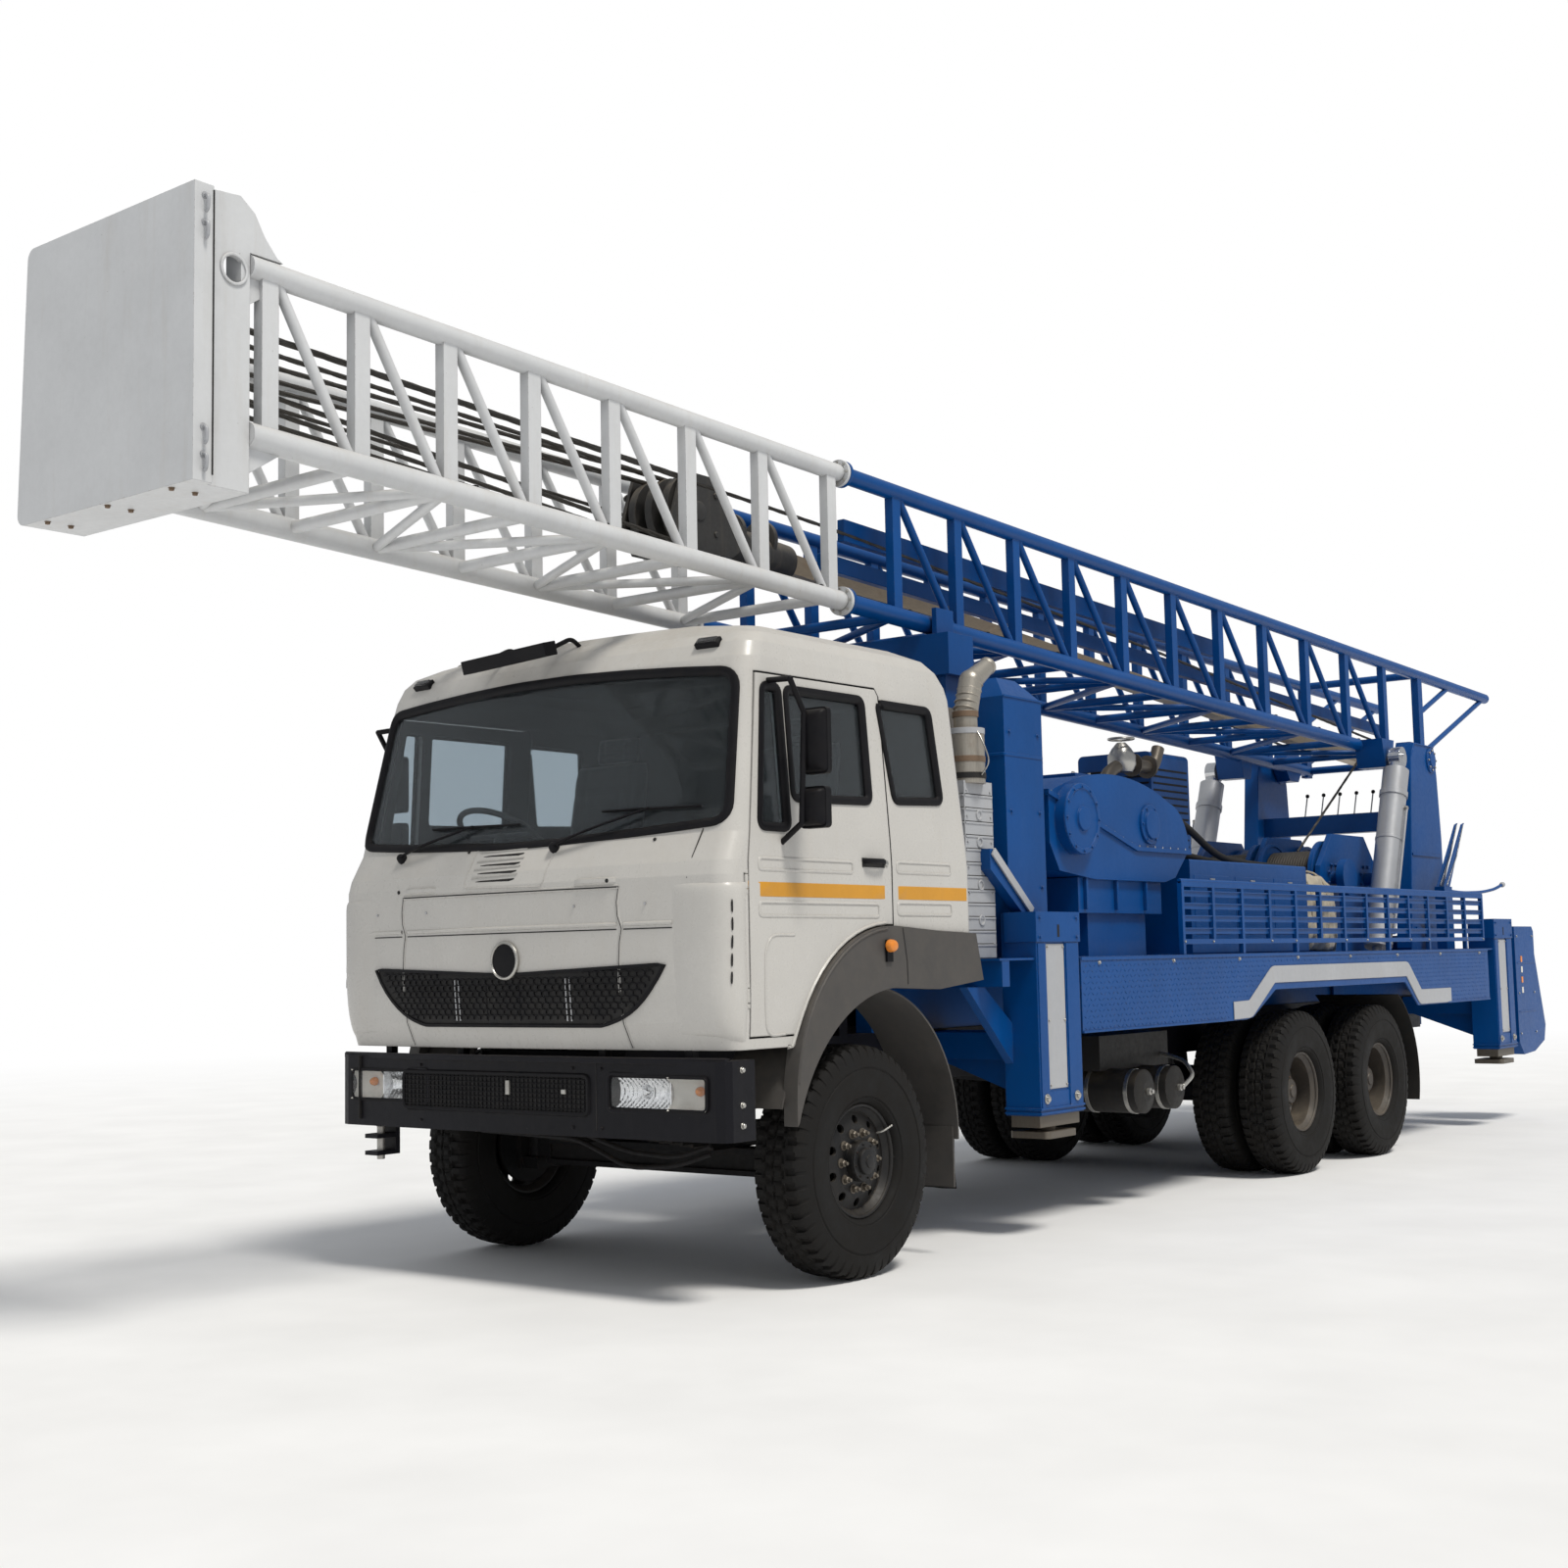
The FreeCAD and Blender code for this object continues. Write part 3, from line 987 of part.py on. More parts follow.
def travelling_block():
    """Block with its sheaves and the swivel under it, lashed inside the mast."""
    y, z = BLOCK_Y, BLOCK_Z
    start, along, _ = kelly_line()
    sheaves = [x_disc(x, x + 45, y, z, 190) for x in (-130, -22, 86)]
    pin = x_disc(-175, 175, y, z, 40)
    cheeks = [yz_prism([(y - 210, z - 60), (y - 120, z + 190), (y + 120, z + 190), (y + 260, z + 60),
                        (y + 420, z - 90), (y + 260, z - 200), (y - 120, z - 200)], x, x + 20)
              for x in (-175, 155)]
    hook = box(-155, 155, y + 230, y + 400, z - 110, z - 10)
    swivel = Part.makeCylinder(105, SWIVEL_LEN, start - along * (SWIVEL_LEN + SEAT), along)
    return fuse(sheaves + [pin, hook, swivel] + cheeks)


def kelly():
    """Square kelly bar lying along the mast from the swivel to the foot."""
    start, along, length = kelly_line()
    return beam(tuple(start), tuple(start + along * length), KELLY_W, KELLY_W)


# ---------------------------------------------------------------- hoist cylinders
def hoist_line():
    base, eye = V(0, BASE_Y, BASE_Z), V(0, EYE_Y, EYE_Z)
    return base, eye, (eye - base).normalize()


def hoist_barrels():
    base, eye, along = hoist_line()
    length = (eye - base).Length
    x = HOIST_X
    lift = V(x, 0, 0)
    bore = Part.makeCylinder(ROD_R + BEARING, length, base + lift + along * (BARREL_FOOT + 15), along)
    tube = Part.makeCylinder(BARREL_R, length - BARREL_FOOT - 112, base + lift + along * BARREL_FOOT, along)
    lug = x_disc(x - 38, x + 38, BASE_Y, BASE_Z, 85)
    neck = Part.makeCylinder(38, BARREL_FOOT - 10, base + lift + along * 20, along)
    hole = x_disc(x - 50, x + 50, BASE_Y, BASE_Z, PIN_R + BEARING)
    return pair(fuse([tube, neck, lug]).cut(bore).cut(hole))


def hoist_rods():
    base, eye, along = hoist_line()
    length = (eye - base).Length
    x = HOIST_X
    lift = V(x, 0, 0)
    bottom = BARREL_FOOT + 18
    stem = Part.makeCylinder(ROD_R, length - bottom, base + lift + along * bottom, along)
    lug = x_disc(x - 45, x + 45, EYE_Y, EYE_Z, 85)
    pin = x_disc(x - 70 + SEAT, x + 62, EYE_Y, EYE_Z, 40)
    return pair(fuse([stem, lug, pin]))


def hoist_feet():
    """Clevis feet under the deck, bolted to the rails, that carry the hoist cylinders."""
    solids = []
    for side in (-1, 1):
        ears = []
        for inner in (-88, 60):
            a, b = sorted((side * (HOIST_X + inner), side * (HOIST_X + inner + 28)))
            front = [(BASE_Y - 60, BASE_Z - 150), (BASE_Y - 90, BASE_Z), (BASE_Y - 60, BASE_Z + 55)]
            rear = [(2 * BASE_Y - y, z) for y, z in reversed(front)]
            ears.append(yz_prism(front + rear, a, b))
        a, b = sorted((side * (HOIST_X - 85), side * (HOIST_X + 85)))
        ears.append(x_disc(a, b, BASE_Y, BASE_Z, PIN_R))
        a, b = sorted((side * (RAIL_X1 + SEAT), side * (HOIST_X + 88)))
        ears.append(box(a, b, BASE_Y - 60, BASE_Y + 60, BASE_Z - 150, BASE_Z - 105))
        a, b = sorted((side * (RAIL_X1 + SEAT), side * (RAIL_X1 + 20)))
        ears.append(box(a, b, BASE_Y - 90, BASE_Y + 90, RAIL_Z0 + 20, BASE_Z - 110))
        solids.append(fuse(ears))
    return solids


# ---------------------------------------------------------------- all nodes
def nodes():
    shell, glass, door, door_panes = cab_parts()
    parts = {
        "chassis_frame": chassis_frame(), "deck": deck(), "side_skirts": side_skirts(),
        "side_railings": side_railings(), "cab_shell": shell, "cab_glass": glass,
        "front_bumper": front_bumper(), "lamps": lamps(), "mudguards": mudguards(),
        "dashboard": dashboard(), "seats": seats(), "front_axle": at_axle(front_axle(), FRONT_WHEEL_Y, 0),
        "tie_rod": at_axle(tie_rod(), FRONT_WHEEL_Y, 0),
        "rear_axles": rear_axles(), "leaf_springs": leaf_springs(), "engine": engine(),
        "tanks": tanks(), "exhaust_stack": exhaust_stack(), "mast_rest": mast_rest(),
        "jack_housings": jack_housings(), "mud_pump": mud_pump(), "drawworks": drawworks(),
        "power_pack": power_pack(), "rear_frame": rear_frame(), "hoist_feet": hoist_feet(),
        "tool_box": tool_box(), "tarpaulin": tarpaulin(), "rear_lamp_boxes": rear_lamp_boxes(),
        "mast_upper": mast_upper(), "mast_lower": mast_lower(), "crown_head": crown_head(),
        "travelling_block": travelling_block(), "kelly": kelly(),
        "hoist_barrels": hoist_barrels(), "hoist_rods": hoist_rods(), "rotary_table": rotary_table()}
    mirror_arm = mirrors()
    front_tyre = at_axle(tyre(FRONT_WHEEL_X, FRONT_TYRE_W), FRONT_WHEEL_Y)
    front_disc = at_axle(front_rim(), FRONT_WHEEL_Y)
    steer = at_axle(knuckle(), FRONT_WHEEL_Y, 0)
    for side, turn in (("left", lambda s: s), ("right", flip)):
        parts["door_" + side] = turn(door)
        parts["door_glass_" + side] = [turn(p) for p in door_panes]
        parts["mirrors_" + side] = turn(mirror_arm)
        parts["knuckle_" + side] = turn(steer)
        parts["front_tyre_" + side] = turn(front_tyre)
        parts["front_rim_" + side] = turn(front_disc)
        for n, y in enumerate(REAR_AXLES, 1):
            twins = [at_axle(tyre(x, REAR_TYRE_W), y) for x in (REAR_INNER_X, REAR_OUTER_X)]
            parts["rear_tyres_%d_%s" % (n, side)] = [turn(t) for t in twins]
            parts["rear_rims_%d_%s" % (n, side)] = turn(at_axle(rear_rim(), y))
        for name, y in zip(("front", "rear"), JACK_Y):
            parts["%s_jack_%s" % (name, side)] = turn(jack_leg(y))
    return parts


def main():
    os.makedirs("parts", exist_ok=True)
    for name, shape in nodes().items():
        if isinstance(shape, (list, tuple)):
            shape = Part.makeCompound(list(shape))
        shape.translate(V(0, STATION_0, 0))
        shape.exportStep("parts/%s.step" % name)
        box_ = shape.BoundBox
        print("%-22s solids %2d  x %6.0f %6.0f  y %6.0f %6.0f  z %5.0f %5.0f" % (
            name, len(shape.Solids), box_.XMin, box_.XMax, box_.YMin, box_.YMax, box_.ZMin, box_.ZMax))


main()
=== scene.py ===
import json
import math

import bmesh
import bpy
from mathutils import Matrix, Vector
from mathutils.bvhtree import BVHTree


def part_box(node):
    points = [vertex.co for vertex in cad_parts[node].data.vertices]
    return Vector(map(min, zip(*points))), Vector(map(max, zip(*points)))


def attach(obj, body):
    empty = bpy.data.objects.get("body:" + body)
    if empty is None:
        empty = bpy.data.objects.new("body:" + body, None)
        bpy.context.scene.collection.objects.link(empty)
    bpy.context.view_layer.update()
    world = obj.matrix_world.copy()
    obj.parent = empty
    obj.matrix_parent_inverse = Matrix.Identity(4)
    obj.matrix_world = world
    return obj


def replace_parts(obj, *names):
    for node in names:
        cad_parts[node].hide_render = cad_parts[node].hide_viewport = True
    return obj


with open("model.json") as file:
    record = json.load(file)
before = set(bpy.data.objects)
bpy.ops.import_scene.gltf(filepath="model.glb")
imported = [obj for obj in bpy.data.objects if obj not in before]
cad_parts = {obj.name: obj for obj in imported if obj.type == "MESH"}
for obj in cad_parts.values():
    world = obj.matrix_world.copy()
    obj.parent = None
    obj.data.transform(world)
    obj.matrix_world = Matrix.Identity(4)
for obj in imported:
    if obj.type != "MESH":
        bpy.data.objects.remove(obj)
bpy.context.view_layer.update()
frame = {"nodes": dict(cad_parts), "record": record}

# Truck-mounted rotary drilling rig. Metres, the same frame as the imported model:
# the vehicle faces -Y, its left side is +X, the ground is z = 0.


# ---------------------------------------------------------------- node graphs
class Graph:
    """A material under construction, with short calls for its nodes."""

    def __init__(self, name):
        self.material = bpy.data.materials.new(name)
        self.material.use_nodes = True
        self.tree = self.material.node_tree
        self.tree.nodes.clear()
        self.output = self.tree.nodes.new("ShaderNodeOutputMaterial")
        self.place = self.add("TexCoord").outputs["Object"]
        self.normal = self.add("TexCoord").outputs["Normal"]

    def add(self, kind, inputs=None, **settings):
        node = self.tree.nodes.new("ShaderNode" + kind)
        for key, value in settings.items():
            setattr(node, key, value)
        for key, value in (inputs or {}).items():
            self.feed(node.inputs[key], value)
        return node

    def feed(self, socket, value):
        if isinstance(value, bpy.types.NodeSocket):
            self.tree.links.new(value, socket)
        elif socket.type == "RGBA" and len(value) == 3:
            socket.default_value = (*value, 1.0)
        else:
            socket.default_value = value

    def math(self, operation, a, b=0.0, clamp=False):
        node = self.add("Math", {0: a, 1: b}, operation=operation, use_clamp=clamp)
        return node.outputs[0]

    def mix(self, factor, a, b):
        node = self.add("Mix", {0: factor, 6: a, 7: b}, data_type="RGBA")
        return node.outputs[2]

    def band(self, value, low, high, to_low=0.0, to_high=1.0):
        """value carried from low..high to to_low..to_high, held at the ends."""
        node = self.add("MapRange", {0: value, 1: low, 2: high, 3: to_low, 4: to_high})
        return node.outputs[0]

    def scaled(self, stretch):
        return self.add("Mapping", {"Vector": self.place, "Scale": stretch}).outputs[0]

    def noise(self, scale, detail, roughness=0.55, place=None):
        node = self.add("TexNoise", {"Vector": place or self.place, "Scale": scale, "Detail": detail,
                                     "Roughness": roughness})
        return node.outputs[0]

    def cells(self, scale):
        node = self.add("TexVoronoi", {"Vector": self.place, "Scale": scale})
        return node.outputs["Distance"]

    def axis(self, vector, index):
        return self.add("SeparateXYZ", {0: vector}).outputs[index]

    def occlusion(self, distance):
        node = self.add("AmbientOcclusion", {"Distance": distance}, samples=3)
        return node.outputs["AO"]

    def rounded(self, radius):
        return self.add("Bevel", {"Radius": radius}, samples=4).outputs[0]

    def edge(self, rounded_normal):
        """1 along sharp edges, where the rounded normal leaves the true one."""
        true = self.add("NewGeometry").outputs["Normal"]
        dot = self.add("VectorMath", {0: rounded_normal, 1: true}, operation="DOT_PRODUCT").outputs["Value"]
        return self.band(dot, 0.995, 0.86)

    def facing(self, middle):
        """1 on faces that look towards middle, as a hollow shell's inner faces do."""
        toward = self.add("VectorMath", {0: middle, 1: self.place}, operation="SUBTRACT").outputs["Vector"]
        dot = self.add("VectorMath", {0: toward, 1: self.normal}, operation="DOT_PRODUCT").outputs["Value"]
        return self.band(dot, -0.01, 0.01)

    def bump(self, height, strength, distance, normal=None):
        inputs = {"Height": height, "Strength": strength, "Distance": distance}
        if normal is not None:
            inputs["Normal"] = normal
        return self.add("Bump", inputs).outputs[0]

    def finish(self, color, roughness, normal=None, metallic=0.0, **sockets):
        inputs = {"Base Color": color, "Roughness": roughness, "Metallic": metallic}
        if normal is not None:
            inputs["Normal"] = normal
        inputs.update({key.replace("_", " "): value for key, value in sockets.items()})
        shader = self.add("BsdfPrincipled", inputs)
        self.tree.links.new(shader.outputs[0], self.output.inputs[0])
        return self.material


SAND = (0.36, 0.29, 0.20)
# near-black colour painted into corners as shade
PAINTED_SHADE = (0.035, 0.030, 0.025)
RUST = (0.12, 0.045, 0.018)
PRIMER = (0.20, 0.17, 0.14)
LINING = (0.016, 0.016, 0.018)   # dark cloth and board inside the cab
CAB_MIDDLE = (0.0, -3.95, 2.05)


def painted(name, color, roughness, dust, wear, corner_shade=0.45, chip=PRIMER, blotch=0.16, streaks=0.22,
            round_edge=0.004, ripple=0.10, metallic=0.0, shine=0.5, lining=None):
    """Sprayed metal: clouded colour, settled dust, patchy painted shade in corners, streaks and worn edges.
    """
    g = Graph(name)
    cloud = g.noise(1.7, 5.0, 0.6)
    fine = g.noise(34.0, 6.0, 0.7)
    dark = tuple(c * (1 - blotch) for c in color)
    light = tuple(min(1.0, c * (1 + blotch)) for c in color)
    tone = g.mix(g.band(cloud, 0.32, 0.68), dark, light)
    tone = g.mix(g.band(fine, 0.35, 0.75, 0.0, 0.16), tone, tuple(c * 0.7 for c in color))
    run = g.noise(3.0, 5.0, 0.65, g.scaled((5.0, 5.0, 0.45)))
    washed = tuple(0.5 * (a + b) for a, b in zip(SAND, color))
    tone = g.mix(g.band(run, 0.52, 0.74, 0.0, streaks), tone, washed)
    # patchy darkening in corners that the occlusion finds: painted shade
    corner = g.band(g.occlusion(0.12), 0.85, 0.25)
    painted_shade_mask = g.math("MULTIPLY", corner, g.band(g.noise(9.0, 4.0), 0.30, 0.60))
    tone = g.mix(g.math("MULTIPLY", painted_shade_mask, corner_shade), tone, PAINTED_SHADE)
    up = g.band(g.axis(g.normal, 2), 0.25, 0.95)
    settle = g.math("MULTIPLY", up, g.band(g.noise(6.0, 6.0, 0.7), 0.32, 0.66))
    settle = g.math("MULTIPLY", settle, dust)
    tone = g.mix(settle, tone, SAND)
    normal = g.rounded(round_edge)
    rim = g.edge(normal)
    nick = g.math("MULTIPLY", rim, g.band(g.noise(46.0, 5.0, 0.75), 0.52, 0.60))
    spot = g.band(g.noise(75.0, 3.0, 0.6), 0.735, 0.76)
    bare = g.math("MULTIPLY", g.math("MAXIMUM", nick, spot), wear, clamp=True)
    tone = g.mix(bare, tone, chip)
    rough = g.band(fine, 0.3, 0.7, roughness * 0.85, roughness * 1.25)
    rough = g.math("ADD", rough, g.math("MULTIPLY", settle, 0.5), clamp=True)
    rough = g.math("ADD", rough, g.math("MULTIPLY", bare, 0.3), clamp=True)
    waves = g.noise(5.5, 2.0, 0.4)
    normal = g.bump(waves, ripple, 0.012, normal)
    normal = g.bump(g.noise(420.0, 2.0, 0.5), 0.05, 0.0006, normal)
    normal = g.bump(bare, 0.35, -0.0006, normal)
    if lining:
        inside = g.facing(lining)
        tone = g.mix(inside, tone, LINING)
        rough = g.math("MAXIMUM", rough, g.math("MULTIPLY", inside, 0.8))
    return g.finish(tone, rough, normal, metallic, Specular_IOR_Level=shine)


def bare_metal(name, color, roughness, grain=(40.0, 40.0, 2.0), *, dirt, dirt_and_shade_color=(0.10, 0.075, 0.05),
               metallic=0.9):
    """Worn or drawn metal with a grain along one axis, dirt in random patches and painted shade in its
    corners.
    """
    g = Graph(name)
    line = g.noise(9.0, 5.0, 0.7, g.scaled(grain))
    cloud = g.noise(4.0, 5.0, 0.65)
    tone = g.mix(g.band(line, 0.3, 0.7), tuple(c * 0.78 for c in color),
                 tuple(min(1, c * 1.12) for c in color))
    # corners that the occlusion finds are darkened in the dirt's colour: painted shade; the cloudy patches
    # are dirt, and dirt sets the strength of both
    corner = g.band(g.occlusion(0.08), 0.8, 0.25)
    patch = g.math("MAXIMUM", corner, g.band(cloud, 0.55, 0.72, 0.0, 0.8))
    patch = g.math("MULTIPLY", patch, dirt)
    tone = g.mix(patch, tone, dirt_and_shade_color)
    rough = g.math("ADD", g.band(line, 0.3, 0.7, roughness * 0.8, roughness * 1.3),
                   g.math("MULTIPLY", patch, 0.35), clamp=True)
    normal = g.rounded(0.003)
    normal = g.bump(line, 0.12, 0.0012, normal)
    metal = g.band(patch, 0.0, 0.7, metallic, metallic * 0.25)
    return g.finish(tone, rough, normal, metal)


def rubber(name, color=(0.0060, 0.0056, 0.0054), dust=0.09):
    """Black rubber with scuffs and a little brown dust."""
    g = Graph(name)
    cloud = g.noise(7.0, 6.0, 0.7)
    film = g.math("MULTIPLY", g.band(cloud, 0.38, 0.72), dust)
    film = g.math("MULTIPLY", film, g.band(g.occlusion(0.03), 0.2, 1.0, 1.0, 0.45))
    tone = g.mix(film, color, (0.105, 0.082, 0.058))
    scuff = g.noise(120.0, 4.0, 0.6)
    normal = g.bump(scuff, 0.18, 0.0008, g.rounded(0.003))
    rough = g.band(cloud, 0.3, 0.7, 0.62, 0.88)
    return g.finish(tone, rough, normal, Specular_IOR_Level=0.25)


def moulded(name, color, roughness, dust, grain=260.0, shine=0.4):
    """Textured plastic with a film of dust."""
    g = Graph(name)
    cloud = g.noise(5.0, 5.0, 0.6)
    tone = g.mix(g.band(cloud, 0.3, 0.7), tuple(c * 0.85 for c in color), tuple(c * 1.15 for c in color))
    up = g.band(g.axis(g.normal, 2), 0.1, 0.9)
    film = g.math("MULTIPLY", g.math("MAXIMUM", up, 0.25), g.band(g.noise(14.0, 6.0, 0.7), 0.35, 0.68))
    tone = g.mix(g.math("MULTIPLY", film, dust), tone, SAND)
    normal = g.bump(g.cells(grain), 0.12, 0.0005, g.rounded(0.004))
    rough = g.band(cloud, 0.3, 0.7, roughness * 0.85, min(1.0, roughness * 1.2))
    return g.finish(tone, rough, normal, Specular_IOR_Level=shine)


def clear_glass(name, tint, dirt):
    """Tinted glass with a thin film of dirt."""
    g = Graph(name)
    film = g.band(g.noise(6.0, 6.0, 0.7), 0.40, 0.80, 0.0, dirt)
    tone = g.mix(film, tint, (0.55, 0.50, 0.42))
    rough = g.math("ADD", 0.03, g.math("MULTIPLY", film, 0.6))
    wave = g.bump(g.noise(2.5, 1.0), 0.03, 0.01)
    return g.finish(tone, rough, wave, Transmission_Weight=0.97, IOR=1.28)


def woven(name, color, pitch=420.0):
    """Plain-woven cloth: warp and weft threads, sheen and soiling."""
    g = Graph(name)
    bands = []
    for axis in (0, 1, 2):
        step = g.math("MULTIPLY", g.axis(g.place, axis), pitch)
        bands.append(g.math("SINE", step))
    thread = g.math("MULTIPLY", bands[0], bands[1])
    thread = g.math("ADD", thread, g.math("MULTIPLY", bands[1], bands[2]))
    cloud = g.noise(3.5, 6.0, 0.65)
    tone = g.mix(g.band(thread, -1.0, 1.0), tuple(c * 0.65 for c in color), color)
    tone = g.mix(g.band(cloud, 0.38, 0.70, 0.0, 0.5), tone, tuple(c * 0.55 for c in color))
    normal = g.bump(thread, 0.25, 0.0008)
    normal = g.bump(cloud, 0.2, 0.01, normal)
    return g.finish(tone, 0.92, normal, Sheen_Weight=0.25)


BLUE = (0.0004, 0.062, 0.245)
WHITE = (0.555, 0.540, 0.510)


def build_finishes():
    """One finish for each material slot of the record, and a few more for added pieces."""
    made = [
        painted("cab_white", WHITE, 0.28, dust=0.30, corner_shade=0.30, wear=0.30, blotch=0.035, streaks=0.14,
                round_edge=0.010, ripple=0.05, lining=CAB_MIDDLE),
        painted("mast_white", (0.62, 0.63, 0.64), 0.42, dust=0.30, wear=0.75, blotch=0.06, streaks=0.25),
        painted("rig_blue", BLUE, 0.34, dust=0.05, corner_shade=0.35, wear=0.55, blotch=0.10, streaks=0.02,
                shine=0.20),
        painted("chassis_black", (0.006, 0.006, 0.009), 0.40, dust=0.04, wear=0.35,
                chip=(0.08, 0.07, 0.06), streaks=0.02, shine=0.18),
        moulded("trim_black", (0.006, 0.006, 0.008), 0.5, dust=0.04, shine=0.15),
        moulded("flare_grey", (0.065, 0.061, 0.058), 0.60, dust=0.16),
        rubber("tyre"),
        painted("rim_black", (0.012, 0.012, 0.013), 0.45, dust=0.14, wear=0.4, streaks=0.06, shine=0.3),
        painted("rim_grey", (0.050, 0.042, 0.035), 0.50, dust=0.3, wear=0.6, streaks=0.25, chip=RUST),
        painted("axle_iron", (0.010, 0.010, 0.011), 0.65, dust=0.10, corner_shade=0.6, wear=0.5, chip=RUST,
                streaks=0.03, shine=0.2),
        painted("spring_steel", (0.014, 0.013, 0.012), 0.6, dust=0.12, wear=0.7, chip=RUST, streaks=0.03,
                shine=0.2),
        clear_glass("glass", (0.52, 0.58, 0.62), dirt=0.03),
        clear_glass("lamp_glass", (0.86, 0.88, 0.90), dirt=0.2),
        painted("engine_iron", (0.020, 0.020, 0.022), 0.7, dust=0.15, corner_shade=0.7, wear=0.4, chip=RUST,
                streaks=0.04, shine=0.2),
        painted("tank_paint", (0.018, 0.017, 0.016), 0.5, dust=0.22, wear=0.5, streaks=0.05, shine=0.25),
        bare_metal("exhaust_steel", (0.42, 0.39, 0.34), 0.36, dirt=0.6, dirt_and_shade_color=(0.16, 0.11, 0.07),
                   metallic=0.7),
        painted("silver_paint", (0.50, 0.51, 0.53), 0.34, dust=0.28, wear=0.4, metallic=0.55, blotch=0.08),
        bare_metal("rod_chrome", (0.66, 0.67, 0.69), 0.12, grain=(2.0, 60.0, 60.0), dirt=0.15),
        bare_metal("jack_steel", (0.16, 0.14, 0.115), 0.45, grain=(30.0, 30.0, 2.0), dirt=0.7,
                   metallic=0.6),
        painted("block_steel", (0.030, 0.029, 0.028), 0.5, dust=0.5, wear=0.9, chip=(0.16, 0.13, 0.10)),
        bare_metal("kelly_steel", (0.42, 0.34, 0.24), 0.45, grain=(30.0, 2.0, 30.0), dirt=0.6,
                   dirt_and_shade_color=(0.17, 0.09, 0.05), metallic=0.6),
        # near-black finish for panel gaps and small dark fittings, also painted shade in slots, a handle
        # recess and behind the grille and the bumper's mesh
        moulded("gap_and_shade_dark", (0.010, 0.010, 0.011), 0.7, dust=0.10),
        rubber("rubber_black", (0.014, 0.014, 0.014), dust=0.25),
        bare_metal("bright_steel", (0.50, 0.49, 0.46), 0.30, grain=(20.0, 20.0, 20.0), dirt=0.45),
        bare_metal("rusty_steel", (0.22, 0.15, 0.10), 0.55, grain=(20.0, 20.0, 20.0), dirt=0.8,
                   metallic=0.5),
        painted("stripe_amber", (0.62, 0.285, 0.018), 0.34, dust=0.15, corner_shade=0.2, wear=0.2, chip=WHITE,
                blotch=0.08, streaks=0.08),
        bare_metal("mirror_glass", (0.72, 0.75, 0.78), 0.04, grain=(1.0, 1.0, 1.0), dirt=0.12,
                   metallic=1.0),
        bare_metal("reflector", (0.82, 0.83, 0.84), 0.12, grain=(3.0, 3.0, 3.0), dirt=0.10, metallic=1.0),
        clear_glass("lamp_lens", (0.93, 0.94, 0.95), dirt=0.14),
        moulded("amber_lens", (0.75, 0.24, 0.03), 0.22, grain=160.0, dust=0.15),
        moulded("red_lens", (0.42, 0.012, 0.010), 0.22, grain=160.0, dust=0.15),
        moulded("pale_lens", (0.72, 0.70, 0.64), 0.25, grain=160.0, dust=0.15),
        bare_metal("wire_rope", (0.060, 0.055, 0.048), 0.5, grain=(9.0, 3.0, 9.0), dirt=0.6,
                   dirt_and_shade_color=(0.05, 0.035, 0.025), metallic=0.5),
        painted("plate_silver", (0.40, 0.41, 0.43), 0.36, dust=0.22, wear=0.35, blotch=0.05, streaks=0.22),
        woven("seat_fabric", (0.045, 0.045, 0.050)),
        moulded("dash_plastic", (0.055, 0.055, 0.058), 0.55, dust=0.25),
        woven("canvas", (0.52, 0.46, 0.35), pitch=900.0),
    ]
    # where the frame already holds a name, Blender adds a number after a dot
    return {material.name.split(".")[0]: material for material in made}


FINISH = build_finishes()
ORIGIN_Y = -4.0                 # the vehicle's stations start here
UP = (0, 0, 1)
SIDES = ((1, "left"), (-1, "right"))


# ---------------------------------------------------------------- mesh building
class Skin:
    """The outside of some CAD nodes, on which detail is laid."""

    def __init__(self, *nodes):
        corners, faces = [], []
        for node in nodes:
            mesh = frame["nodes"][node].data
            first = len(corners)
            corners += [v.co.copy() for v in mesh.vertices]
            faces += [[first + i for i in face.vertices] for face in mesh.polygons]
        self.tree = BVHTree.FromPolygons(corners, faces)

    def drop(self, start, direction, reach):
        """Where a ray from start meets the skin, or the skin's nearest point to the ray's expected end."""
        start, direction = Vector(start), Vector(direction)
        place, normal, _, distance = self.tree.ray_cast(start, direction)
        if place is None or distance > reach + 0.3:
            place, normal = self.tree.find_nearest(start + direction * reach)[:2]
        return place, (-normal if normal.dot(direction) > 0 else normal)

    def front(self, x, z):
        return self.drop((x, -9.0, z), (0, 1, 0), 4.05)

    def side(self, y, z, side):
        return self.drop((3.0 * side, y, z), (-side, 0, 0), 1.79)

    def top(self, x, y, z=2.98):
        return self.drop((x, y, 9.0), (0, 0, -1), 9.0 - z)

    def nearest(self, point):
        point = Vector(point)
        place, normal = self.tree.find_nearest(point)[:2]
        return place, (normal if normal.dot(point - place) >= 0 else -normal)


def between(a, b, count):
    """count + 1 points from a to b."""
    a, b = Vector(a), Vector(b)
    return [a.lerp(b, i / count) for i in range(count + 1)]


def spread(first, last, count):
    """count + 1 even values from first to last."""
    return [first + (last - first) * i / count for i in range(count + 1)]


def along(points, step):
    """The polyline through points, cut into pieces no longer than step."""
    out = [Vector(points[0])]
    for a, b in zip(points, points[1:]):
        count = max(1, math.ceil((Vector(b) - Vector(a)).length / step))
        out += between(a, b, count)[1:]
    return out


